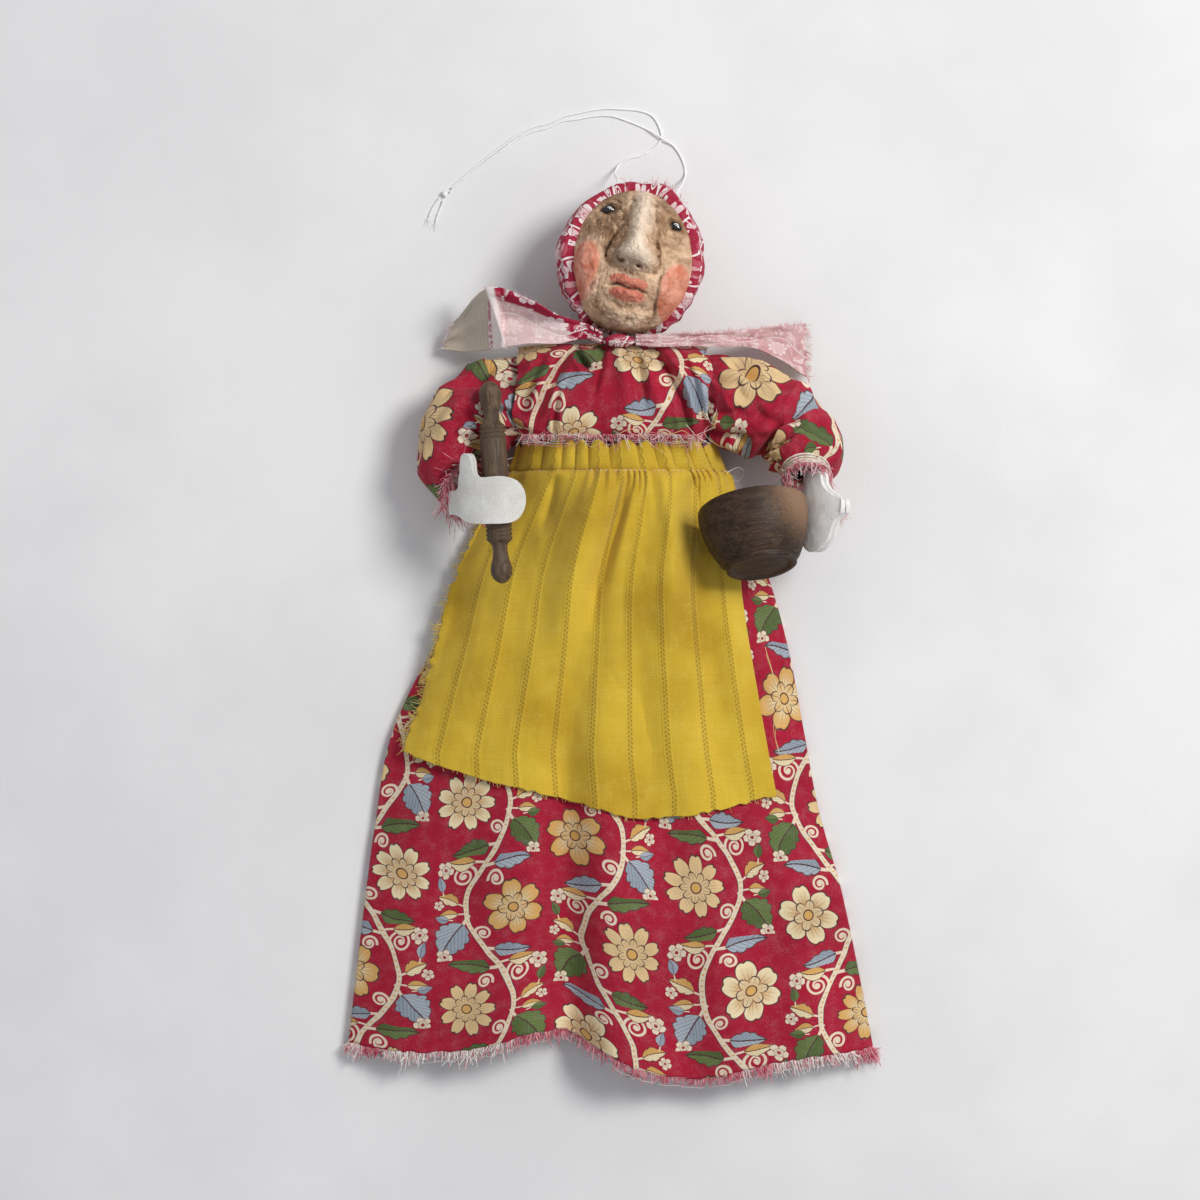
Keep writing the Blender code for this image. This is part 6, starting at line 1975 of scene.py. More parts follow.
@dataclass(frozen=True)
class WoodFinish:
    """Old weathered wood whose grain runs along one direction.

    Attributes:
        name: The material's name.
        way: The grain's direction.
        dark, middle, worn: The colours of the pores, the wood and its rubbed places; a paler worn colour also
            paints the highlight.
        wear: How much of it is rubbed pale.
        highlight_centre: The middle of a painted highlight, where the wood is painted paler on its side
            towards the light.
    """

    name: str
    way: tuple[float, float, float]
    dark: Colour
    middle: Colour
    worn: Colour
    wear: float = 0.5
    highlight_centre: tuple[float, float, float] = (0.0, 0.0, 1.0)

    def make(self) -> bpy.types.Material:
        """Build the material's nodes.

        Returns:
            The material.
        """
        material, g, shader = new_finish(self.name)
        place = g.object_place()
        along = unit(np.array(self.way))
        side = unit(np.cross(along, np.array([0.2, 0.1, 1.0])))
        top = np.cross(along, side)
        turned = g.join(
            *(g.vector("DOT_PRODUCT", place, tuple(float(v) for v in axis)) for axis in (along, side, top))
        )
        fibre = g.noise(g.scaled(turned, (90.0, 2600.0, 2600.0)), 1.0, 4.0, 0.65, 0.6)
        bands = g.noise(g.scaled(turned, (24.0, 420.0, 420.0)), 1.0, 3.0, 0.55, 0.8)
        blotch = g.noise(turned, 130.0, 4.0, 0.6)
        pores = g.smooth(g.noise(g.scaled(turned, (260.0, 5200.0, 5200.0)), 1.0, 2.0), 0.62, 0.74)
        colour = g.mix(g.smooth(bands, 0.30, 0.70), self.dark, self.middle)
        colour = g.mix(g.math("MULTIPLY", g.smooth(fibre, 0.45, 0.75), self.wear), colour, self.worn)
        rubbed = g.smooth(blotch, 0.72 - self.wear * 0.3, 0.88 - self.wear * 0.2)
        colour = g.mix(g.math("MULTIPLY", rubbed, 0.65), colour, self.worn)
        # Painted highlight: the wood paler round one point on its side towards the light.
        reach = g.vector("LENGTH", g.vector("SUBTRACT", place, self.highlight_centre))
        painted_highlight = g.math("MULTIPLY", g.smooth(reach, 0.017, 0.004), g.smooth(fibre, 0.25, 0.65, 0.45, 0.95))
        colour = g.mix(painted_highlight, colour, tuple(min(1.0, 1.5 * c) for c in self.worn[:3]) + (1.0,))
        colour = g.mix(
            g.math("MULTIPLY", pores, 0.6), colour, tuple(0.35 * c for c in self.dark[:3]) + (1.0,)
        )
        g.feed(shader.inputs["Base Color"], colour)
        g.feed(shader.inputs["Roughness"], g.smooth(blotch, 0.3, 0.8, 0.52, 0.74))
        shader.inputs["Specular IOR Level"].default_value = 0.30
        height = g.math(
            "ADD", g.math("MULTIPLY", fibre, 0.5),
            g.math("SUBTRACT", g.math("MULTIPLY", blotch, 0.5), g.math("MULTIPLY", pores, 0.5))
        )
        g.feed(shader.inputs["Normal"], g.bump(height, 0.6, 0.00014))
        return material


def turned_piece(
    name: str, profile: Sequence[tuple[float, float]], place: Matrix, segments: int
) -> bpy.types.Object:
    """Spin a profile of (along, radius) pairs round its axis and put it in place.

    Args:
        name: The object's name.
        profile: Pairs of a length along the axis and a radius.
        place: Where the piece stands.
        segments: Steps round the axis.

    Returns:
        The object.
    """
    bm = bmesh.new()
    line = [bm.verts.new((radius, 0.0, along)) for along, radius in profile]
    edges = [bm.edges.new(pair) for pair in zip(line, line[1:])]
    bmesh.ops.spin(
        bm, geom=line + edges, cent=(0.0, 0.0, 0.0), axis=(0.0, 0.0, 1.0), angle=2 * math.pi, steps=segments,
        use_merge=True,
    )
    bmesh.ops.remove_doubles(bm, verts=bm.verts, dist=1e-7)
    bmesh.ops.recalc_face_normals(bm, faces=bm.faces)
    bmesh.ops.transform(bm, matrix=place, verts=bm.verts)
    return from_bmesh(name, bm)


def fine_profile(profile: Sequence[tuple[float, float]], step_size: float) -> list[tuple[float, float]]:
    """A profile with points added so that no step is longer than a size, its corners kept.

    Args:
        profile: Pairs of a length along the axis and a radius.
        step_size: The longest step.

    Returns:
        The finer profile.
    """
    made = [profile[0]]
    for (a0, r0), (a1, r1) in zip(profile, profile[1:]):
        count = max(1, int(math.ceil(math.hypot(a1 - a0, r1 - r0) / step_size)))
        made += [(a0 + (a1 - a0) * k / count, r0 + (r1 - r0) * k / count) for k in range(1, count + 1)]
    return made


@dataclass
class RollingPin:
    """The old rolling pin, turned in one piece, with three grooves near each end."""

    length: float = 0.0572
    body: float = 0.0037
    knob: float = 0.00325
    neck: float = 0.00205
    middle: tuple[float, ...] = (-0.0323, 0.0425, 0.0274)
    lean: float = math.radians(3.7)
    knob_shares: tuple[tuple[float, ...], ...] = (
        (0.0, 0.0), (0.004, 0.28), (0.012, 0.50), (0.028, 0.78), (0.052, 0.97), (0.075, 1.0), (0.105, 0.93),
        (0.135, 0.76),
    )

    def profile(self) -> list[tuple[float, float]]:
        """The radius along the pin, from its lower knob up.

        Returns:
            Pairs of a length along the axis and a radius.
        """
        length, body, neck = self.length, self.body, self.neck
        lower = [(length * s * 0.9, self.knob * r * 0.95) for s, r in self.knob_shares]
        lower += [(length * 0.165, neck), (length * 0.190, neck * 1.05), (length * 0.203, neck * 1.35)]
        profile = lower + [(length * 0.212, body * 0.90), (length * 0.217, body * 0.97)]
        for start in (0.222, 0.710):
            first = length * start
            profile.append((first, body))
            for groove in range(3):
                at = first + 0.0012 * groove
                profile += [
                    (at + 0.0003, body * 0.985), (at + 0.0006, body - 0.00042), (at + 0.0009, body * 0.985),
                    (at + 0.0012, body)
                ]
        profile += [(length * 0.785, body * 0.86), (length * 0.790, body * 0.72)]
        profile += [(length * 0.805, neck * 1.06), (length * 0.840, neck * 1.05)]
        profile += [(length * (1.0 - s), self.knob * r) for s, r in reversed(self.knob_shares)]
        return profile

    def build(self, finish: bpy.types.Material) -> None:
        """Make the pin.

        Args:
            finish: The pin's material.
        """
        along = Vector((-math.sin(self.lean), math.cos(self.lean), 0.0))
        turn = along.to_track_quat("Z", "X").to_matrix().to_4x4()
        foot = Vector(self.middle) - along * self.length / 2
        made = turned_piece(
            "rolling_pin_wood", fine_profile(self.profile(), 0.0006), Matrix.Translation(foot) @ turn, 72
        )
        made.data.materials.append(finish)
        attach(made, "right_forearm")
        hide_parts("rolling_pin")
        LOG.info("rolling pin")


@dataclass
class Bowl:
    """The dark turned bowl with its small foot."""

    diameter: float = 0.0310
    height: float = 0.0189
    wall: float = 0.0019
    floor: float = 0.0034
    foot: float = 0.01005
    foot_height: float = 0.0016
    foot_step: float = 0.0006
    recess: float = 0.0006
    middle: tuple[float, ...] = (0.0411, 0.0272, 0.0294)
    axis: tuple[float, ...] = (-0.150, 0.928, -0.342)
    side: Table = ((0.00, 0.700), (0.16, 0.790), (0.36, 0.895), (0.58, 0.965), (0.80, 1.000), (1.00, 0.992))

    def radius(self, height: float) -> float:
        """The outer radius at a height above the foot."""
        share = max(0.0, (height - self.foot_height) / (self.height - self.foot_height))
        return float(self.diameter / 2 * table_value(self.side, np.array(share)))

    def profile(self) -> list[tuple[float, float]]:
        """The section from the middle of the foot, up the outside and down the inside.

        Returns:
            Pairs of a height and a radius.
        """
        foot = self.foot
        made = [
            (self.recess, 0.0), (self.recess, foot * 0.78), (self.recess * 0.5, foot * 0.82),
            (0.0, foot * 0.86), (0.0, foot * 0.97), (0.0002, foot)
        ]
        made += [
            (self.foot_height - 0.0002, foot), (self.foot_height, foot + 0.0002),
            (self.foot_height, foot + self.foot_step - 0.0002),
            (self.foot_height + 0.0002, foot + self.foot_step)
        ]
        for share in np.linspace(0.06, 0.965, 22):
            height = self.foot_height + (self.height - self.foot_height) * share
            made.append((height, self.radius(height)))
        rim = self.radius(self.height)
        made += [
            (self.height - 0.0003, rim - 0.0001), (self.height, rim - 0.0005),
            (self.height, rim - self.wall + 0.0005), (self.height - 0.0003, rim - self.wall)
        ]
        for share in np.linspace(0.965, 0.0, 26):
            height = self.floor + (self.height - self.floor) * share
            rounding = math.sqrt(max(0.0, 1.0 - (1.0 - share) ** 4))
            made.append((height, (self.radius(height) - self.wall) * rounding))
        return made

    def build(self, finish: bpy.types.Material) -> None:
        """Make the bowl.

        Args:
            finish: The bowl's material.
        """
        axis = Vector(self.axis).normalized()
        turn = axis.to_track_quat("Z", "Y").to_matrix().to_4x4()
        foot = Vector(self.middle) - axis * self.height / 2
        made = turned_piece(
            "bowl_wood", fine_profile(self.profile(), 0.0009), Matrix.Translation(foot) @ turn, 112
        )
        made.data.materials.append(finish)
        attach(made, "left_forearm")
        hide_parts("bowl")
        LOG.info("bowl")


@dataclass
class Hands:
    """Both hands, each of two glued layers of stiffened cloth."""

    finishes: dict[str, bpy.types.Material]
    bowl: Bowl
    layer: float = 0.0013
    gap: float = 0.0003
    palm_length: float = 0.0150
    palm_width: float = 0.0130
    bend_radius: float = 0.0110
    right_outline: tuple[tuple[float, ...], ...] = (
        (-0.42, -0.30), (-0.14, -0.34), (0.02, -0.46), (0.14, -0.50), (0.70, -0.50), (0.90, -0.36),
        (1.00, -0.06), (0.97, 0.22), (0.84, 0.44), (0.66, 0.51), (0.26, 0.49), (0.17, 0.58),
        (0.14, 0.84), (0.09, 0.98), (0.00, 1.01), (-0.07, 0.92), (-0.10, 0.50), (-0.16, 0.22), (-0.42, 0.18),
    )
    left_length: float = 0.0210
    left_width: float = 0.0135
    left_tilt: float = math.radians(-20.0)
    left_reach: float = 0.0438
    left_flare: float = 0.0047
    left_outline: tuple[tuple[float, ...], ...] = (
        (-0.08, -0.24), (0.14, -0.34), (0.30, -0.48), (0.62, -0.50), (0.86, -0.36), (0.99, -0.08),
        (0.97, 0.16), (0.84, 0.38), (0.62, 0.48), (0.55, 0.53), (0.48, 0.64), (0.38, 0.68),
        (0.28, 0.64), (0.24, 0.50), (0.10, 0.28), (-0.08, 0.20),
    )

    def one_layer(
        self, name: str, outline: Points, bend: Callable[[Points, Points], Points], side: float, body: str,
        node: str
    ) -> None:
        """Cut one layer to its outline, bend it and thicken it to one side."""
        closed = np.vstack([outline, outline[:1]])
        smooth = through(closed, 110)[:-1]
        bm = bmesh.new()
        face = bm.faces.new([bm.verts.new((x, y, 0.0)) for x, y in smooth])
        face.normal_update()
        for axis in (Vector((1.0, 0.0, 0.0)), Vector((0.0, 1.0, 0.0))):
            reach = [axis.dot(vert.co) for vert in bm.verts]
            for place in np.linspace(min(reach), max(reach), 30)[1:-1]:
                parts = bm.verts[:] + bm.edges[:] + bm.faces[:]
                bmesh.ops.bisect_plane(bm, geom=parts, dist=1e-6, plane_co=axis * place, plane_no=axis)
        bmesh.ops.triangulate(bm, faces=bm.faces)
        flat = np.array([vert.co[:2] for vert in bm.verts])
        bent = bend(flat[:, 0], flat[:, 1])
        for vert, point in zip(bm.verts, bent):
            vert.co = point
        made = from_bmesh(name, bm)
        made.data.materials.append(self.finishes[body])
        wall = made.modifiers.new("Layer", "SOLIDIFY")
        wall.thickness = self.layer
        wall.offset = side
        round_off = made.modifiers.new("Edge", "BEVEL")
        round_off.width = 0.00042
        round_off.segments = 3
        round_off.limit_method = "ANGLE"
        round_off.angle_limit = math.radians(50)
        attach(made, body)
        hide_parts(node)

    def build(self) -> None:
        """Make the four layers."""
        right = np.array(self.right_outline) * (self.palm_length, self.palm_width)
        axle = 0.0274 + 0.0037 + 0.0003 - self.bend_radius
        start = (-self.palm_length * 0.52, 0.0585 - self.palm_width * 1.62)
        for name, lift in (("palm", 0.0), ("back", self.layer + self.gap)):
            def over_pin(along: Points, across: Points, lift: float = lift) -> Points:
                """A place over the pin, with the cloth's own small unevenness."""
                turn = (start[0] + along) / self.bend_radius
                reach = self.bend_radius + lift + 0.00012 * fractal(
                    along * 380, across * 380, lift * 900, 2, 141
                )
                return np.stack(
                    [-0.0323 + reach * np.sin(turn), start[1] + across, axle + reach * np.cos(turn)], axis=1
                )
            self.one_layer(
                f"right_hand_{name}_cloth", right, over_pin, 1.0, "right_forearm", f"right_hand_{name}"
            )
        left = np.array(self.left_outline) * (self.left_length, self.left_width)
        away = np.array([math.cos(self.left_tilt), 0.0, math.sin(self.left_tilt)])
        rise = np.array([-math.sin(self.left_tilt), 0.0, math.cos(self.left_tilt)])
        axis = unit(np.array(self.bowl.axis))
        lean = float(away @ axis)
        heights = np.linspace(self.bowl.foot_height, self.bowl.height, 12)
        reach = max(
            self.bowl.radius(h) * math.sqrt(1 - lean**2) + (h - self.bowl.height / 2) * lean for h in heights
        )
        palm = np.array(self.bowl.middle) + away * (reach + 0.0003)
        palm[1] = self.left_reach
        for name, lift in (("palm", 0.0), ("back", self.layer + self.gap)):
            def beside_bowl(along: Points, across: Points, lift: float = lift) -> Points:
                """A place beside the bowl, with the cloth's own small unevenness."""
                wavy = lift + 0.00015 * fractal(along * 330, across * 330, lift * 900, 2, 143)
                flare = self.left_flare * np.clip((across + 0.0045) / 0.0112, 0.0, 1.15) ** 2
                return palm + np.outer(wavy + flare, away) + np.outer(across, rise) - np.outer(
                    along, [0.0, 1.0, 0.0]
                )
            self.one_layer(
                f"left_hand_{name}_cloth", left, beside_bowl, -1.0, "left_forearm", f"left_hand_{name}"
            )
        LOG.info("hands")


# Head, eyes and kerchief

HEAD_HALF = np.array([0.0190, 0.0203, 0.0170])
HEAD_CENTRE = np.array([0.0059, 0.1050, 0.0190])
HEAD_LEAN = math.radians(12.5)
HOOD_EDGE: Table = (
    (0.0, 0.632), (0.125, 0.630), (0.25, 0.550), (0.375, 0.600), (0.5, 0.660), (0.625, 0.630),
    (0.75, 0.400), (0.875, 0.560), (1.0, 0.632),
)
EYES = ((-0.0092, 0.0124, 0.22), (0.0101, 0.0121, -0.30))


def head_to_doll(points: Points) -> Points:
    """Move points from the head's own frame into the doll's.

    Args:
        points: Points in the head's own frame.

    Returns:
        The points in the doll's frame.
    """
    c, s = math.cos(-HEAD_LEAN), math.sin(-HEAD_LEAN)
    turn = np.array([[c, -s, 0.0], [s, c, 0.0], [0.0, 0.0, 1.0]])
    return points @ turn.T + HEAD_CENTRE


def hood_edge(turn: Points) -> Points:
    """The angle from the middle of the face out to the kerchief's edge, at a turn round it."""
    return np.pi * (1.0 - table_value(HOOD_EDGE, (turn / (2 * np.pi)) % 1.0))


@dataclass
class Head:
    """The carved, dried and painted apple, with its glass eyes."""

    finishes: dict[str, bpy.types.Material]
    ridge: tuple[tuple[float, ...], ...] = ((-0.4, 21.0), (0.0, 16.0), (0.3, 10.0), (0.5, 5.0), (0.6, 1.8))
    furrows: tuple[tuple[tuple[float, ...], ...], ...] = (
        (((-4.0, 14.0), (-5.2, 9.5), (-6.0, 5.6)), 1.00, 0.45),
        (((-6.0, 6.0), (-6.9, 3.2), (-7.4, 0.6), (-6.9, -1.6)), 0.50, 1.35),
        (((-6.9, -1.6), (-5.2, -3.4), (-3.2, -3.0), (-1.8, -2.6)), 0.45, 0.75),
        (((4.4, 14.5), (5.4, 10.4), (6.0, 7.0)), 0.90, 0.40),
        (((5.8, 6.6), (7.2, 3.4), (7.9, 0.2), (7.3, -2.4)), 0.50, 1.05),
        (((7.3, -2.2), (5.8, -3.2), (3.6, -3.0)), 0.45, 0.60),
        (((4.3, 18.2), (8.6, 15.6), (12.4, 12.6), (15.2, 9.5)), 0.75, 1.7),
        (((4.9, 12.4), (6.0, 13.8), (8.2, 14.6)), 0.50, 0.8),
        (((-14.5, 16.2), (-9.5, 16.0), (-5.5, 14.6)), 0.55, 0.7),
        (((-13.0, 8.6), (-9.0, 9.0), (-5.0, 10.6)), 0.65, 0.55),
        (((-12.0, 6.2), (-8.6, 6.8), (-6.2, 6.4)), 0.40, 0.40),
        (((6.3, 9.6), (10.4, 8.3), (14.2, 8.2)), 0.65, 0.55),
        (((6.8, 6.4), (10.0, 5.2), (13.0, 5.6)), 0.40, 0.40),
        (((-8.3, 3.6), (-8.2, -1.5), (-8.6, -7.0), (-10.4, -12.0)), 0.45, 0.70),
        (((-7.3, -5.0), (-7.9, -9.0), (-7.0, -14.0), (-4.4, -17.2)), 0.55, 0.45),
        (((9.2, -1.0), (8.7, -5.0), (9.0, -9.0), (9.3, -14.0), (8.2, -18.4)), 0.55, 1.05),
        (((-4.6, -12.0), (-1.2, -13.2), (3.4, -13.1), (6.2, -12.2)), 0.90, 0.55),
        (((0.2, -2.8), (0.6, -4.4)), 0.60, 0.45),
        (((-11.5, 3.5), (-8.0, 1.5), (-7.2, -1.0)), 0.60, 0.5),
        (((9.6, 0.0), (12.8, 2.2), (16.2, 2.0)), 0.60, 0.5),
        (((-4.0, 19.5), (-3.2, 16.0), (-3.4, 12.6)), 0.65, 0.8),
        (((3.6, 19.0), (4.0, 14.5), (4.6, 11.5)), 0.65, 0.8),
    )

    def forms(self, x: Points, y: Points) -> Points:
        """How far the large forms of the face stand out, in millimetres, at a place on it.

        Args:
            x, y: Places seen from above.

        Returns:
            The heights, in millimetres.
        """
        distance, along = segment_distance(x, y, self.ridge)
        half = table_value(((0.0, 1.7), (0.30, 3.4), (0.52, 3.3), (0.72, 2.8), (1.0, 4.3)), along)
        tall = table_value(((0.0, 3.0), (0.30, 4.7), (0.52, 5.0), (0.72, 5.3), (1.0, 6.6)), along)
        wedge = tall * np.exp(-np.abs(distance / half) ** 2.3)
        rise = wedge + 1.3 * hill(np.hypot(x - 0.6, (y - 2.2) * 1.05), 3.2)
        rise += 2.3 * hill(
            np.hypot(x + 3.7, (y - 0.4) * 1.15), 2.5
        ) + 2.3 * hill(np.hypot(x - 4.6, y * 1.15), 2.6)
        rise -= 1.7 * hill((x + 9.0) / 1.25, 4.0) * hill(y - 12.2, 3.2)
        rise -= 1.8 * hill((x - 10.4) / 1.25, 4.0) * hill(y - 11.9, 3.2)
        rise += 1.5 * hill((x + 9.4) / 1.5, 3.8) * hill(y - 17.2, 1.9)
        rise += 1.6 * hill((x - 9.0) / 1.5, 3.8) * hill(y - (17.6 - 0.3 * (x - 6.0)), 1.8)
        for cx, cy, wide in ((-12.4, -5.8, 4.7), (13.6, -6.8, 4.9)):
            shape = np.hypot((x - cx) / wide, (y - cy) / 9.2)
            rise += 2.7 * np.exp(-(shape**4) * 0.9)
        rise += 1.5 * hill((x - 0.6) / 1.5, 4.0) * hill(y + 7.6, 4.6)
        rise += 1.2 * hill(x + 1.9, 2.5) * hill(y + 6.0, 1.3) + 1.2 * hill(x - 3.1, 2.5) * hill(y + 6.3, 1.3)
        rise += 1.5 * hill((x - 0.8) / 1.4, 3.0) * hill(y + 9.9, 1.7)
        rise += 1.9 * hill((x - 1.8) / 1.5, 4.3) * hill(y + 17.4, 3.0)
        return rise

    def dents(self, x: Points, y: Points) -> Points:
        """How deep the creases, nostrils and mouth are, in millimetres.

        Args:
            x, y: Places seen from above.

        Returns:
            The depths, in millimetres.
        """
        depth = np.zeros_like(x)
        for route, spread, deep in self.furrows:
            distance, along = segment_distance(x, y, route)
            wander = 1.0 + 0.35 * noise(x * 0.5, y * 0.5, 0.0, 151)
            ends = np.clip(5.0 * np.minimum(along, 1.0 - along) + 0.35, 0.0, 1.0)
            depth += deep * ends * hill(distance, spread * wander)
        mouth, along = segment_distance(
            x, y, ((-5.2, -8.4), (-2.4, -7.5), (0.7, -8.1), (3.4, -7.7), (6.2, -8.6))
        )
        depth += 1.5 * hill(mouth, 0.50) * np.clip(5.0 * np.minimum(along, 1.0 - along) + 0.4, 0.0, 1.0)
        for cx, cy in ((-2.6, -1.0), (2.3, -1.5)):
            depth += 2.2 * hill(np.hypot((x - cx) / 1.25, (y - cy) * 1.15), 0.72)
        for cx, cy, tilt in EYES:
            a = (x - cx * 1000) * math.cos(tilt) + (y - cy * 1000) * math.sin(tilt)
            b = (y - cy * 1000) * math.cos(tilt) - (x - cx * 1000) * math.sin(tilt)
            almond = np.hypot(a / 2.7, b / 1.55)
            depth += 1.4 * np.exp(-(almond**4)) - 0.65 * hill(almond - 1.42, 0.26) * np.where(b > 0, 1.0, 0.6)
        return depth

    def carve(self, direction: Points) -> tuple[Points, dict[str, Points]]:
        """Place the skin along unit directions.

        Args:
            direction: Unit directions from the head's middle, in its own frame.

        Returns:
            The points and the masks that the skin's material reads.
        """
        base = direction * HEAD_HALF
        x, y = base[:, 0] * 1000, base[:, 1] * 1000
        polar = np.arccos(np.clip(direction[:, 2], -1.0, 1.0))
        edge = hood_edge(np.arctan2(direction[:, 1], direction[:, 0]))
        bare = step(polar / edge, 0.98, 0.74) * np.clip(3.0 * direction[:, 2], 0.0, 1.0)
        forms, dents = self.forms(x, y), self.dents(x, y)
        coarse = fractal(x * 0.42, y * 0.42, base[:, 2] * 420, 3, 153)
        bent = 0.9 * fractal(x * 0.35, y * 0.35, 2.0, 2, 155)
        wrinkle = 1.0 - np.abs(noise(x * 0.9 + bent, y * 0.50 + bent, base[:, 2] * 300, 157)) * 2.0
        wrinkle = 0.6 * wrinkle + 0.5 * (
            1.0 - np.abs(noise(x * 1.9 + bent * 2, y * 1.1 - bent * 2, 1.0, 158)) * 2.0
        )
        fine = fractal(x * 2.1, y * 1.7, base[:, 2] * 1800, 3, 159)
        smooth_cheek = np.zeros_like(x)
        for cx, cy, wide in ((-12.4, -5.8, 4.4), (13.6, -6.8, 4.6)):
            smooth_cheek = np.maximum(
                smooth_cheek, step(np.hypot((x - cx) / wide, (y - cy) / 8.9), 1.08, 0.84)
            )
        skin = 0.36 * coarse + (0.26 * wrinkle + 0.15 * fine) * (1.0 - 0.75 * smooth_cheek)
        point = base.copy()
        point[:, 2] += (forms - dents) * 0.001 * bare
        point += direction * (skin * 0.0010 * (0.35 + 0.65 * bare))[:, None]
        upper = np.maximum(
            hill((x + 1.9) / 1.5, 2.2) * hill(y + 6.2, 1.55), hill((x - 3.1) / 1.4, 2.3) * hill(y + 6.5, 1.5)
        )
        lower = hill((x - 0.8) / 1.7, 3.2) * hill(y + 9.9, 2.15)
        masks = {
            "crease": np.clip(
                np.clip(dents, 0, 1.5) * 0.36 + 0.55 * np.clip(-wrinkle - 0.05, 0, 1) * (1 - smooth_cheek)
                + 0.30 * np.clip(-coarse - 0.1, 0, 1) + 0.25 * np.clip(-fine - 0.3, 0, 1), 0.0, 1.0) * bare,
            "cheek": smooth_cheek * (1.0 - np.clip(dents, 0, 1)),
            "lip": step(np.maximum(upper, lower), 0.30, 0.52),
            # The large forms' height, which the skin reads as a painted highlight on the raised parts.
            "ridge": np.clip(forms / 6.0, 0.0, 1.0),
            # Browned places of the dried apple with painted shade: under the brows, beside the nose, under
            # the chin and under the hood's edge, heavier on the side away from the light.
            "stain": np.clip(
                hill(np.hypot((x + 9.0) / 1.6, y - 13.0), 3.6) * 0.75 + hill(
                    np.hypot((x - 10.5) / 1.5, y - 12.6), 3.6
                ) * 0.75
                + hill(np.hypot(x + 5.0, (y - 8.0) / 2.2), 2.3) * 1.0 + hill(
                    np.hypot(x - 6.0, (y - 8.0) / 2.0), 2.0
                ) * 0.6
                + hill(
                    np.hypot((x + 4.6) / 1.5, y + 15.4), 2.0
                ) * 0.5 + hill(np.hypot(x - 1.0, y + 3.0), 2.6) * 0.5
                + hill(np.hypot((x + 5.2), y + 1.6), 2.6) * 0.5 + hill(
                    np.hypot((x - 1.0) / 2.0, y - 0.2), 2.3
                ) * 0.55
                + step(y, -15.5, -19.0) * 0.5 + step(y, 13.0, 18.0) * step(np.abs(x), 3.0, 6.0) * 0.7
                + hill(np.hypot((x + 10.4) / 1.3, y - 6.4), 3.8) * 1.0 + hill(
                    np.hypot((x - 12.0) / 1.4, y - 6.8), 2.6
                ) * 0.5
                + hill(x + 4.6, 1.6) * step(y, 14.0, 8.0) * step(y, -1.0, 3.0) * 0.7, 0.0, 1.0),
        }
        return point, masks

    def build(self) -> None:
        """Make the skin and the eyes."""
        bm = bmesh.new()
        bmesh.ops.create_uvsphere(bm, u_segments=360, v_segments=240, radius=1.0)
        made = from_bmesh("apple_head_skin", bm)
        ball = vertex_points(made)
        polar = np.arccos(np.clip(ball[:, 2], -1.0, 1.0))
        share = polar / np.pi
        polar = np.pi * (0.50 * share + 0.50 * share**2.6)
        turn = np.arctan2(ball[:, 1], ball[:, 0])
        direction = np.stack(
            [np.sin(polar) * np.cos(turn), np.sin(polar) * np.sin(turn), np.cos(polar)], axis=1
        )
        points, masks = self.carve(direction)
        made.data.vertices.foreach_set("co", head_to_doll(points).ravel())
        made.data.update()
        for name, values in masks.items():
            set_attribute(made, name, values)
        made.data.materials.append(self.finishes["apple"])
        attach(made, "head")
        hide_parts("apple_head")
        for name, (x, y, tilt) in zip(("right_eye", "left_eye"), EYES):
            self.eye(name, x, y, tilt)
        LOG.info("head")

    def eye(self, name: str, x: float, y: float, tilt: float) -> None:
        """Set one almond eye of black glass with a painted glint into its socket."""
        flat = np.array([x, y]) / HEAD_HALF[:2]
        depth = math.sqrt(1.0 - float(flat @ flat))
        point, _ = self.carve(np.array([[flat[0], flat[1], depth]]))
        point = point[0] + np.array([0.0, 0.0, 0.00018])
        bm = bmesh.new()
        bmesh.ops.create_uvsphere(bm, u_segments=48, v_segments=32, radius=1.0)
        for vert in bm.verts:
            a, b, c = vert.co
            pinch = 1.0 - 0.45 * abs(a) ** 2.2
            long, tall, deep = a * 0.00225, b * 0.00128 * pinch, c * 0.00095
            px = long * math.cos(tilt) - tall * math.sin(tilt)
            py = long * math.sin(tilt) + tall * math.cos(tilt)
            vert.co = head_to_doll(np.array([[point[0] + px, point[1] + py, point[2] + deep]]))[0]
        made = from_bmesh(f"{name}_glass", bm)
        centre = head_to_doll(point[None, :])[0]
        made.data.materials.append(EyeFinish(f"{name}_glass", centre).make())
        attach(made, "head")
        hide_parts(name)


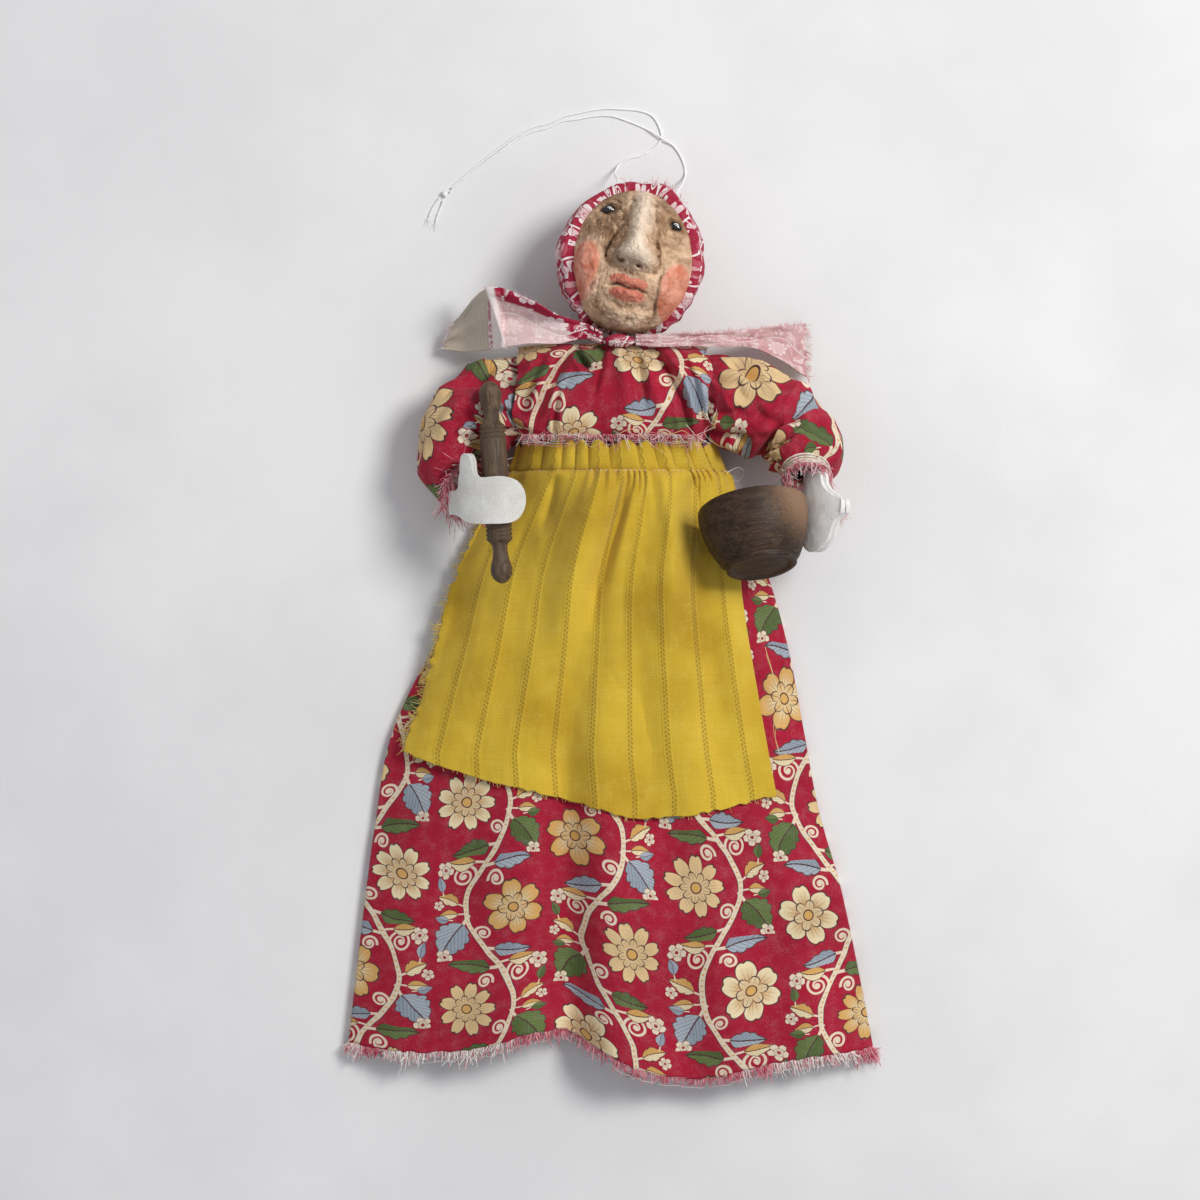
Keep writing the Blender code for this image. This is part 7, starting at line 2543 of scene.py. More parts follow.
@dataclass(frozen=True)
class EyeFinish:
    """Black glass with a painted reflection of the light: a thin pale crescent round the pupil and a small
    glint.
    """

    name: str
    centre: Points

    def make(self) -> bpy.types.Material:
        """Build the material's nodes.

        Returns:
            The material.
        """
        material, g, shader = new_finish(self.name)
        place = g.vector("SUBTRACT", g.object_place(), tuple(float(v) for v in self.centre))
        x, y, _ = g.split(g.vector("SCALE", place, scale=1000.0))
        reach = g.vector("LENGTH", g.join(g.math("SUBTRACT", x, 0.15), g.math("SUBTRACT", y, 0.10)))
        ring = g.smooth(g.math("ABSOLUTE", g.math("SUBTRACT", reach, 0.70)), 0.20, 0.11)
        turn = g.math("ARCTAN2", g.math("SUBTRACT", y, 0.10), g.math("SUBTRACT", x, 0.15))
        # Painted reflection of the light on the glass: a pale crescent and a small glint.
        crescent = g.math(
            "MULTIPLY", ring, g.smooth(g.math("COSINE", g.math("SUBTRACT", turn, 1.0)), 0.05, 0.5)
        )
        glint = g.smooth(
            g.vector("LENGTH", g.join(g.math("SUBTRACT", x, 0.30), g.math("SUBTRACT", y, 0.32))), 0.24, 0.15
        )
        painted_reflection = g.math("MAXIMUM", g.math("MULTIPLY", crescent, 0.95), glint)
        speck = g.noise(g.object_place(), 3500.0, 2.0)
        base = g.mix(g.smooth(speck, 0.55, 0.75), (0.006, 0.006, 0.008, 1.0), (0.020, 0.019, 0.020, 1.0))
        g.feed(shader.inputs["Base Color"], g.mix(painted_reflection, base, (0.72, 0.72, 0.72, 1.0)))
        g.feed(shader.inputs["Roughness"], g.smooth(speck, 0.3, 0.7, 0.06, 0.16))
        shader.inputs["Coat Weight"].default_value = 0.6
        return material


@dataclass(frozen=True)
class AppleFinish:
    """Dried apple flesh, stained brown in its creases, with painted cheeks and lips, painted shade in its
    hollows and on its side away from the light, and painted highlight on its raised forms.
    """

    def make(self) -> bpy.types.Material:
        """Build the material's nodes.

        Returns:
            The material.
        """
        material, g, shader = new_finish("dried_apple")
        place = g.object_place()
        crease, cheek, lip = g.attribute("crease"), g.attribute("cheek"), g.attribute("lip")
        stain, ridge = g.attribute("stain"), g.attribute("ridge")
        broad = g.noise(place, 190.0, 4.0, 0.62, 0.8)
        fibre = g.noise(g.scaled(place, (900.0, 2300.0, 1400.0)), 1.0, 4.0, 0.65, 1.2)
        blot = g.noise(place, 620.0, 4.0, 0.65, 0.6)
        skin = g.mix(g.smooth(broad, 0.30, 0.70), (0.39, 0.200, 0.094, 1.0), (0.87, 0.60, 0.39, 1.0))
        # Painted highlight: paler on the raised forms of the face.
        skin = g.mix(g.math("MULTIPLY", ridge, 0.85), skin, (0.98, 0.84, 0.68, 1.0))
        skin = g.mix(g.math("MULTIPLY", g.smooth(blot, 0.54, 0.74), 0.42), skin, (0.30, 0.145, 0.065, 1.0))
        skin = g.mix(g.math("MULTIPLY", g.smooth(fibre, 0.50, 0.74), 0.30), skin, (0.86, 0.66, 0.46, 1.0))
        # Darker brown where the mask lies: the apple's own browning with painted shade.
        stain_shade_amount = g.math("MULTIPLY", stain, g.smooth(blot, 0.24, 0.54))
        skin = g.mix(g.math("MULTIPLY", stain_shade_amount, 0.88), skin, (0.170, 0.082, 0.036, 1.0))
        rouge = g.mix(g.smooth(broad, 0.3, 0.7), (0.66, 0.175, 0.090, 1.0), (0.90, 0.40, 0.28, 1.0))
        rouge = g.mix(g.math("MULTIPLY", g.smooth(blot, 0.52, 0.75), 0.30), rouge, (0.50, 0.155, 0.085, 1.0))
        skin = g.mix(g.math("MULTIPLY", cheek, 0.92), skin, rouge)
        mouth = g.mix(g.smooth(blot, 0.3, 0.7), (0.60, 0.160, 0.105, 1.0), (0.80, 0.300, 0.205, 1.0))
        skin = g.mix(lip, skin, mouth)
        # Darker in the creases: the dried apple's own browning, with painted shade that goes near black in
        # the deepest dents such as the nostrils and the mouth.
        worn = g.math("ADD", crease, g.math("MULTIPLY", g.math("SUBTRACT", blot, 0.5), 0.55))
        skin = g.mix(g.math("MULTIPLY", g.smooth(worn, 0.12, 0.50), 0.66), skin, (0.165, 0.078, 0.036, 1.0))
        skin = g.mix(g.math("MULTIPLY", g.smooth(worn, 0.40, 0.80), 0.90), skin, (0.045, 0.020, 0.010, 1.0))
        g.feed(shader.inputs["Base Color"], skin)
        painted = g.math("MAXIMUM", cheek, lip)
        g.feed(
            shader.inputs["Roughness"],
            g.smooth(g.math("SUBTRACT", blot, g.math("MULTIPLY", painted, 0.25)), 0.1, 0.7, 0.46, 0.70)
        )
        shader.inputs["Specular IOR Level"].default_value = 0.32
        shader.inputs["Subsurface Weight"].default_value = 0.05
        shader.inputs["Subsurface Radius"].default_value = (0.0012, 0.0006, 0.0003)
        height = g.math("ADD", g.math("MULTIPLY", fibre, 0.6), g.math("MULTIPLY", blot, 0.8))
        g.feed(shader.inputs["Normal"], g.bump(height, 1.0, 0.00042))
        return material


@dataclass
class Kerchief:
    """The printed kerchief: a hood round the face, a small knot under the chin and two ends."""

    finishes: dict[str, bpy.types.Material]
    tail_right: tuple[tuple[float, ...], ...] = (
        (0.00, -0.02, 0.09, 1.00), (0.12, 0.10, 0.12, 0.96), (0.28, 0.12, 0.22, 0.97),
        (0.47, 0.24, 0.34, 1.02),
        (0.64, 0.30, 0.46, 0.92), (0.74, 0.30, 0.49, 0.66), (0.86, 0.22, 0.42, 0.38),
        (1.00, 0.06, 0.22, 0.24),
    )
    tail_left: tuple[tuple[float, ...], ...] = (
        (0.00, -0.04, 0.08, 1.02), (0.15, -0.05, 0.10, 1.02), (0.36, -0.03, 0.10, 0.90),
        (0.50, -0.02, 0.12, 0.74), (0.66, 0.00, 0.14, 0.50), (0.83, -0.06, 0.27, 0.30),
        (0.97, -0.17, 0.42, 0.19),
    )
    knot: tuple[float, ...] = (0.0024, 0.0826, 0.0240)
    tail_middle: float = 0.0835
    tail_width: float = 0.0180
    tail_height: float = 0.0240

    def hood_place(self, u: Points, v: Points) -> tuple[Points, Points]:
        """Shape the hood from the back of the head to its rolled edge round the face.

        Args:
            u: Shares of the way round the face.
            v: Shares of the way from the back to the face.

        Returns:
            The points and their places on the flat cloth.
        """
        turn = 2 * np.pi * (u - 0.25)
        edge = np.pi * table_value(HOOD_EDGE, (u - 0.25) % 1.0)
        roll = step(v, 0.965, 1.0)
        back = edge * np.minimum(v / 0.985, 1.0) + 0.012 * noise(
            np.cos(turn) * 5, np.sin(turn) * 5, 0.0, 161
        ) * step(v, 0.7, 1.0)
        polar = np.pi - back
        direction = np.stack(
            [np.sin(polar) * np.cos(turn), np.sin(polar) * np.sin(turn), np.cos(polar)], axis=1
        )
        chin = hill(((turn - 1.5 * np.pi + np.pi) % (2 * np.pi)) - np.pi, 0.9)
        crown = hill(((turn - 0.42 * np.pi + np.pi) % (2 * np.pi)) - np.pi, 0.30)
        pleats = 0.5 + 0.5 * np.cos(10 * turn + 1.5 * noise(np.cos(turn) * 2, np.sin(turn) * 2, v * 1.5, 163))
        rise = 0.00055 * v * pleats + 0.0006 * chin * v * np.cos(26 * turn + 4 * v)
        rise += 0.0004 * fractal(direction[:, 0] * 5, direction[:, 1] * 5, direction[:, 2] * 5, 3, 165) * v
        rise += 0.0013 * crown * step(v, 0.72, 0.90) * step(v, 1.0, 0.95) + 0.0004 * hill(v - 0.955, 0.018)
        rise += 0.0009 * hill(
            ((turn + 2 * np.pi) % (2 * np.pi)) - np.pi, 0.6
        ) * step(v, 0.3, 0.7) * step(v, 1.0, 0.95) - 0.0015 * roll
        half = HEAD_HALF + 0.0009 + rise[:, None]
        points = direction * half
        flat = np.stack([turn * 0.0172, back * 0.019], axis=1) + np.array([0.05, 0.02])
        return head_to_doll(points), flat

    def hood(self) -> None:
        """Make the hood, its selvedge and the frayed threads at its top."""
        cloth = cloth_piece(
            "kerchief_hood_cloth", 300, 120, self.hood_place, closed=True, thickness=0.00055, offset=1.0
        )
        for name in ("kerchief", "kerchief_back"):
            cloth.data.materials.append(self.finishes[name])
        bm = bmesh.new()
        bm.from_mesh(cloth.data)
        bmesh.ops.recalc_face_normals(bm, faces=bm.faces)
        if sum((face.calc_center_median() - Vector(HEAD_CENTRE)).dot(face.normal) for face in bm.faces) < 0.0:
            bmesh.ops.reverse_faces(bm, faces=bm.faces)
        bm.to_mesh(cloth.data)
        bm.free()
        strands = []
        u = np.linspace(0.0, 1.0, 240)
        rim, _ = self.hood_place(u, np.full(240, 0.999))
        middle = head_to_doll(np.array([[0.0, 0.0, 0.010]]))[0]
        out = unit(rim - middle)
        strands.append((rim + out * 0.00045 + np.array([0.0, 0.0, 0.0002]), 0.00022, 0))
        chance = np.random.default_rng(171)
        turns = chance.uniform(0.0, 1.0, 260)
        roots, _ = self.hood_place(turns, np.full(260, 0.995))
        inward = unit(np.append(HEAD_CENTRE[:2], 0.036) - roots)
        strands += fringe(
            roots, inward * 0.6 + np.array([0.0, 0.0, 0.5]), chance.uniform(0.0003, 0.0010, 260), 0.5, 172,
            (0, 1), 0.00006
        )
        turns = chance.uniform(0.41, 0.55, 60)
        roots, _ = self.hood_place(turns, chance.uniform(0.80, 0.98, 60))
        away = unit(roots - HEAD_CENTRE)
        strands += fringe(
            roots + away * 0.0005, away + np.array([0.0, 0.3, 0.0]), chance.uniform(0.0008, 0.0030, 60), 0.5,
            173, (0, 1, 2), 0.00006
        )
        edge = strand_bundle(
            "kerchief_edge", strands, [self.finishes[n] for n in ("fray_white", "fray_pink", "fray_red")]
        )
        for piece in (cloth, edge):
            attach(piece, "head")
        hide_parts("kerchief_hood")

    def tail_place(
        self, side: float, reach: float, rows: tuple, u: Points, v: Points
    ) -> tuple[Points, Points]:
        """Shape one end of the kerchief from the knot outwards.

        Args:
            side: -1 for the doll's right, 1 for its left.
            reach: How far it reaches from the knot.
            rows: Sections along it, as shares of its reach, middle, half width and height.
            u: Shares across it.
            v: Shares along it.

        Returns:
            The points and their places on the cloth.
        """
        stops = np.linspace(0.0, 1.0, len(rows))
        out, middle, width, height = (
            table_value(list(zip(stops, [row[k] for row in rows])), v) for k in range(4)
        )
        across = 2 * u - 1
        x = self.knot[0] + side * (0.0044 + 0.0003 + out * reach)
        y = self.tail_middle + self.tail_width * (middle + width * across)
        z = self.tail_height * height
        spread = step(v, 0.0, 0.25)
        wave = noise(across * 1.6 + side, v * 5.0, 0.0, 181) * 0.0011 * spread
        wave = wave + 0.0004 * np.cos(across * 9.0 + side) * (1 - spread) + fractal(
            across * 3.0, v * 11.0, side, 2, 183
        ) * 0.0003
        roll = 0.0011 * step(across, 0.55, 1.0) * step(v, 0.1, 0.3) * (1 - step(v, 0.8, 1.0))
        z = z + wave + roll
        if side < 0:
            ridge = hill(v - 0.640, 0.028)
            hollow = step(v, 0.26, 0.46) * step(v, 0.625, 0.56) * step(across, 0.70, 0.30)
            z = z + 0.0022 * ridge - 0.0045 * hollow * step(across, -1.3, 0.2)
            z = z + 0.0016 * step(across, 0.62, 0.80) * step(v, 0.15, 0.35) * step(v, 0.64, 0.60)
            x = x - 0.0030 * across * ridge + 0.0016 * across * step(v, 0.66, 1.0)
        ragged = 0.0005 * noise(across * 9.0, side * 3, 0.0, 185) * step(v, 0.97, 1.0)
        flat = np.stack([across * 0.009 * (0.3 + width * 1.6), v * reach], axis=1)
        return np.stack(
            [x + side * ragged, y, np.maximum(z, 0.0004)], axis=1
        ), flat + np.array([0.02, 0.012 * side])

    def tails(self) -> None:
        """Make both ends with their frays."""
        for name, side, reach, rows, count in (
            ("right", -1.0, 0.0435, self.tail_right, 60), ("left", 1.0, 0.0500, self.tail_left, 240),
        ):
            def place(
                u: Points, v: Points, side: float = side, reach: float = reach, rows: tuple = rows
            ) -> tuple[Points, Points]:
                """This end's own shape."""
                return self.tail_place(side, reach, rows, u, v)
            cloth = cloth_piece(
                f"kerchief_tail_{name}_cloth", 80, 200, place, thickness=0.00045, offset=0.0, shares=True
            )
            cloth.data.materials.append(self.finishes[f"tail_{name}"])
            chance = np.random.default_rng(191 if side < 0 else 195)
            strands = []
            share = chance.uniform(0.0, 1.0, count)
            ends, _ = place(share, np.full(count, 0.998))
            before, _ = place(share, np.full(count, 0.96))
            strands += fringe(
                ends, unit(ends - before), chance.uniform(0.0006, 0.0022, count), 0.25, 192, (0, 0, 1),
                0.00007, 0.2
            )
            along = chance.uniform(0.2, 1.0, count)
            top, _ = place(np.full(count, 0.995), along)
            strands += fringe(
                top, np.tile([0.0, 1.0, 0.1], (count, 1)), chance.uniform(0.0003, 0.0010, count), 0.4, 193,
                (0, 1), 0.00006
            )
            frays = strand_bundle(
                f"kerchief_tail_{name}_frays", strands,
                [self.finishes["fray_white"], self.finishes["fray_pink"]]
            )
            for piece in (cloth, frays):
                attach(piece, "torso")
            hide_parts(f"kerchief_tail_{name}")
            along = np.linspace(0.0, 1.0, 200)
            middle, _ = place(np.full(200, 0.5), along)

    def tie(self) -> None:
        """Make the small knot under the chin."""
        bm = bmesh.new()
        bmesh.ops.create_uvsphere(bm, u_segments=72, v_segments=48, radius=1.0)
        made = from_bmesh("kerchief_knot_cloth", bm)
        ball = vertex_points(made)
        wrap = np.cos(5.0 * ball[:, 0] + 2.6 * np.arctan2(ball[:, 2], ball[:, 1]))
        rise = 1.0 + 0.07 * wrap + 0.05 * fractal(ball[:, 0] * 2, ball[:, 1] * 2, ball[:, 2] * 2, 3, 199)
        points = ball * rise[:, None] * np.array([0.0043, 0.0018, 0.0025]) + np.array(self.knot)
        made.data.vertices.foreach_set("co", points.ravel())
        layer = made.data.uv_layers.new(name="Cloth")
        corner = np.empty(len(made.data.loops), np.int32)
        made.data.loops.foreach_get("vertex_index", corner)
        layer.uv.foreach_set("vector", points[corner][:, :2].astype(np.float32).ravel())
        made.data.update()
        made.data.materials.append(self.finishes["kerchief"])
        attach(made, "torso")
        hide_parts("kerchief_knot")

    def build(self) -> None:
        """Make the whole kerchief."""
        self.hood()
        self.tails()
        self.tie()
        LOG.info("kerchief")


@dataclass(frozen=True)
class TailFinish:
    """The kerchief's wrong side, where the print shows through pale.

    Attributes:
        name: The material's name.
        prints: The kerchief's print.
        weave: The group of the plain weave.
        zoned: Whether the far part is the plain ribbed selvedge behind a pale fold.
    """

    name: str
    prints: bpy.types.NodeTree
    weave: bpy.types.NodeTree
    zoned: bool

    def make(self) -> bpy.types.Material:
        """Build the material's nodes.

        Returns:
            The material.
        """
        material, g, shader = new_finish(self.name)
        cloth, place = g.cloth_place(), g.object_place()
        drawn = g.group(
            self.prints, Cloth=g.vector("ADD", cloth, (0.013, 0.004, 0.0)), Scale=3100.0
        ).outputs["Color"]
        faint = g.mix(
            g.smooth(g.noise(place, 140.0, 3.0), 0.3, 0.7, 0.52, 0.74), drawn, (0.72, 0.53, 0.52, 1.0)
        )
        colour = faint
        ribs = g.math("SINE", g.math("MULTIPLY", g.split(cloth)[1], 2 * math.pi / 0.00046))
        height = g.group(self.weave, Cloth=cloth, Count=3000.0, Slub=1.6)
        bumps = height.outputs["Height"]
        if self.zoned:
            along, upper = g.attribute("along"), g.attribute("upper")
            inside = g.mix(0.74, drawn, (0.88, 0.74, 0.72, 1.0))
            band = g.math("MAXIMUM", g.smooth(upper, 0.78, 0.82), g.smooth(along, 0.27, 0.22))
            colour = g.mix(band, inside, drawn)
            edge = g.math("SUBTRACT", along, g.math("MULTIPLY", upper, 0.02))
            flecks = g.mix(0.30, drawn, (0.84, 0.76, 0.74, 1.0))
            colour = g.mix(g.smooth(edge, 0.590, 0.600), colour, (0.83, 0.74, 0.71, 1.0))
            colour = g.mix(g.smooth(edge, 0.672, 0.680), colour, flecks)
            cream = g.smooth(edge, 0.700, 0.708)
            # Painted light and shade on the ribs: paler on their crests, darker between them.
            ribbed = g.mix(g.smooth(ribs, -0.2, 0.8), (0.50, 0.42, 0.33, 1.0), (0.70, 0.63, 0.52, 1.0))
            colour = g.mix(cream, colour, ribbed)
            bumps = g.math("ADD", bumps, g.math("MULTIPLY", g.math("MULTIPLY", cream, ribs), 0.8))
        shade = g.smooth(height.outputs["Shade"], 0.2, 0.8, 0.86, 1.08)
        colour = g.mix(1.0, colour, g.join(shade, shade, shade), "MULTIPLY")
        g.feed(shader.inputs["Base Color"], colour)
        g.feed(shader.inputs["Roughness"], g.smooth(bumps, 0.1, 1.2, 0.95, 0.82))
        shader.inputs["Specular IOR Level"].default_value = 0.2
        g.feed(shader.inputs["Normal"], g.bump(bumps, 0.6, 0.00010))
        return material


# Thread and stuffing

STRAND_A = (
    (0.0021, 0.1272, 0.0170), (0.0019, 0.1290, 0.0105), (0.0013, 0.1311, 0.0038), (0.0027, 0.1337, 0.0006),
    (0.0055, 0.1354, 0.0004), (0.0086, 0.1362, 0.0004), (0.0123, 0.1382, 0.0004), (0.0146, 0.1413, 0.0004),
    (0.0134, 0.1456, 0.0004), (0.0115, 0.1478, 0.0004), (0.0081, 0.1490, 0.0004), (0.0038, 0.1494, 0.0004),
    (-0.0010, 0.1496, 0.0004), (-0.0055, 0.1491, 0.0004), (-0.0092, 0.1483, 0.0004),
    (-0.0132, 0.1474, 0.0004),
    (-0.0175, 0.1455, 0.0004), (-0.0217, 0.1444, 0.0004), (-0.0261, 0.1424, 0.0004),
    (-0.0306, 0.1390, 0.0004),
    (-0.0349, 0.1358, 0.0004), (-0.0392, 0.1322, 0.0004), (-0.0436, 0.1283, 0.0004),
    (-0.0455, 0.1267, 0.0008),
)
STRAND_B = (
    (0.0183, 0.1240, 0.0170), (0.0193, 0.1256, 0.0110), (0.0206, 0.1281, 0.0046), (0.0214, 0.1308, 0.0006),
    (0.0207, 0.1346, 0.0004), (0.0182, 0.1388, 0.0006), (0.0158, 0.1404, 0.0012), (0.0128, 0.1423, 0.0011),
    (0.0098, 0.1440, 0.0004), (0.0050, 0.1460, 0.0004), (0.0002, 0.1475, 0.0004), (-0.0050, 0.1474, 0.0004),
    (-0.0092, 0.1466, 0.0004), (-0.0137, 0.1460, 0.0004), (-0.0180, 0.1441, 0.0004),
    (-0.0221, 0.1431, 0.0004),
    (-0.0266, 0.1410, 0.0004), (-0.0311, 0.1377, 0.0004), (-0.0354, 0.1345, 0.0004),
    (-0.0398, 0.1309, 0.0004),
    (-0.0442, 0.1270, 0.0004), (-0.0459, 0.1255, 0.0008),
)
END_A = (
    (-0.0485, 0.1243, 0.0008), (-0.0501, 0.1222, 0.0004), (-0.0512, 0.1200, 0.0004), (-0.0519, 0.1184, 0.0004)
)
END_B = (
    (-0.0475, 0.1236, 0.0008), (-0.0484, 0.1213, 0.0004), (-0.0493, 0.1190, 0.0004), (-0.0499, 0.1170, 0.0004)
)


@dataclass
class HangingThread:
    """The doll's hanging loop: two cotton strands from its crown, knotted together near their ends."""

    finish: bpy.types.Material
    diameter: float = 0.0006
    knot: tuple[float, ...] = (-0.0472, 0.1252, 0.0011)

    def strand(self, name: str, route: tuple, node: str) -> bpy.types.Object:
        """Make one strand.

        Args:
            name: The strand's name.
            route: The points of its route.
            node: The CAD node that it replaces.

        Returns:
            The strand.
        """
        path = through(route, 240)
        made = swept_thread(name, path, self.diameter, 3, 0.0016)
        made.data.materials.append(self.finish)
        if node.startswith("thread_strand"):
            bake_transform(made)
        else:
            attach(made, "torso")
        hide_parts(node)
        return made

    def build(self) -> None:
        """Make both strands, the knot and the splayed ends."""
        self.strand("hanging_thread_a", STRAND_A, "thread_strand_a")
        self.strand("hanging_thread_b", STRAND_B, "thread_strand_b")
        self.strand("hanging_thread_end_a", END_A, "thread_end_a")
        self.strand("hanging_thread_end_b", END_B, "thread_end_b")
        turns = np.linspace(0.0, 2 * np.pi * 2.6, 90)
        axis = unit(np.array([-0.6, -0.75, 0.0]))
        side = unit(np.cross(axis, np.array([0.0, 0.0, 1.0])))
        ring = np.outer(np.cos(turns), side) + np.outer(np.sin(turns), [0.0, 0.0, 1.0])
        drift = (np.sin(turns * 0.38) * 0.00040)[:, None]
        path = np.array(self.knot) + ring * 0.00062 + axis * drift
        path[:, 2] = np.maximum(path[:, 2], 0.00032)
        made = swept_thread("hanging_thread_knot", path, 0.00062, 3, 0.0016)
        made.data.materials.append(self.finish)
        chance = np.random.default_rng(201)
        strands = []
        for end in (END_A[-1], END_B[-1]):
            roots = np.tile(end, (14, 1))
            strands += fringe(
                roots, np.tile([-0.35, -0.9, 0.0], (14, 1)), chance.uniform(0.0006, 0.0018, 14), 0.28, 202,
                (0,), 0.00006, 0.1
            )
        wisps = strand_bundle("hanging_thread_wisps", strands, [self.finish])
        for piece in (made, wisps):
            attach(piece, "torso")
        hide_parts("thread_knot")
        LOG.info("thread")


@dataclass
class WristThread:
    """The thread wound round the left cuff, with a frayed end that hangs beside the hand."""

    sleeve: Sleeve
    finishes: dict[str, bpy.types.Material]

    def build(self) -> None:
        """Make the windings and the loose end."""
        count = 200
        share = np.linspace(0.0, 1.0, count)
        at = self.sleeve.length * (0.972 - 0.046 * share)
        points, _ = self.sleeve.ring(at, 2 * np.pi * 4.5 * share, 0.0004 - self.sleeve.drawn(at))
        made = swept_thread("wrist_thread_yarn", points, 0.0007, 3, 0.0018)
        made.data.materials.append(self.finishes["fray_cream"])
        chance = np.random.default_rng(211)
        strands = []
        start = np.array([0.0612, 0.0428, 0.0232])
        for k in range(16):
            x, y = chance.normal(0.0, 0.00045, 2)
            route = (
                start + (x, y, 0.0), start + (0.0016 + x, -0.0040 + y, -0.003),
                start + (0.0026 + x * 2, -0.0075, -0.008 + y),
                start + (0.0040 + 2.5 * x, -0.0105 + 2 * y, -0.0120 + x)
            )
            strands.append((through([tuple(p) for p in route], 14), 0.00010, k % 2))
        tip = start + np.array([0.0036, -0.0095, -0.0110])
        roots = tip + chance.normal(0.0, 0.0007, (110, 3))
        strands += fringe(
            roots, unit(chance.normal(0.0, 1.0, (110, 3)) + np.array([0.6, -0.5, 0.0])),
            chance.uniform(0.0008, 0.0024, 110), 0.4, 212, (0, 1), 0.00006, 0.1
        )
        frays = strand_bundle(
            "wrist_thread_end", strands, [self.finishes["fray_cream"], self.finishes["fray_pink"]]
        )
        for piece in (made, frays):
            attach(piece, "left_forearm")
        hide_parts("wrist_thread")
        LOG.info("wrist thread")


def stuffed_roll(finish: bpy.types.Material) -> None:
    """The cloth roll inside the bodice that carries the wires.

    Args:
        finish: The roll's material.
    """
    full: Table = (
        (0.0, 0.32), (0.03, 0.46), (0.14, 0.74), (0.34, 0.93), (0.60, 1.0), (0.86, 0.96), (0.96, 0.76),
        (1.0, 0.46)
    )

    def place(u: Points, v: Points) -> tuple[Points, Points]:
        """Shape the roll, drawn in at both ends."""
        down = np.clip(1.0 - v, 0.0, 1.0)
        size = table_value(full, down) * np.sqrt(np.clip(np.minimum(down, 1 - down) / 0.012, 0.0, 1.0))
        angle = 2 * np.pi * u
        bend = np.minimum(1.0, down * 2)
        x = NECK_TOP[0] + (0.0018 - NECK_TOP[0]) * bend + 0.0155 * size * np.cos(angle)
        z = 0.0148 + (0.0116 - 0.0148) * bend + 0.0078 * np.minimum(size * 1.1, 1.0) * np.sin(angle)
        y = 0.0795 - 0.0575 * down
        return np.stack([x, y, z], axis=1), np.stack([u * 0.075, v * 0.0575], axis=1)

    made = cloth_piece("body_roll_cloth", 90, 80, place, closed=True)
    bm = bmesh.new()
    bm.from_mesh(made.data)
    bmesh.ops.recalc_face_normals(bm, faces=bm.faces)
    bm.to_mesh(made.data)
    bm.free()
    made.data.materials.append(finish)
    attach(made, "torso")
    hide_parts("body_roll")


@dataclass(frozen=True)
class WireFinish:
    """Bent steel wire, a little scratched."""

    def make(self) -> bpy.types.Material:
        """Build the material's nodes.

        Returns:
            The material.
        """
        material, g, shader = new_finish("steel_wire")
        place = g.object_place()
        scratch = g.noise(g.scaled(place, (300.0, 3000.0, 3000.0)), 1.0, 3.0)
        g.feed(
            shader.inputs["Base Color"],
            g.mix(g.smooth(scratch, 0.35, 0.7), (0.34, 0.33, 0.31, 1.0), (0.56, 0.55, 0.53, 1.0))
        )
        g.feed(shader.inputs["Roughness"], g.smooth(scratch, 0.3, 0.7, 0.30, 0.48))
        g.feed(shader.inputs["Metallic"], g.smooth(scratch, 0.2, 0.4, 0.9, 1.0))
        g.feed(shader.inputs["Normal"], g.bump(scratch, 0.3, 0.00005))
        return material


WIRES = (
    "neck_wire", "shoulder_wire", "right_upper_arm_wire", "right_forearm_wire", "left_upper_arm_wire",
    "left_forearm_wire",
)


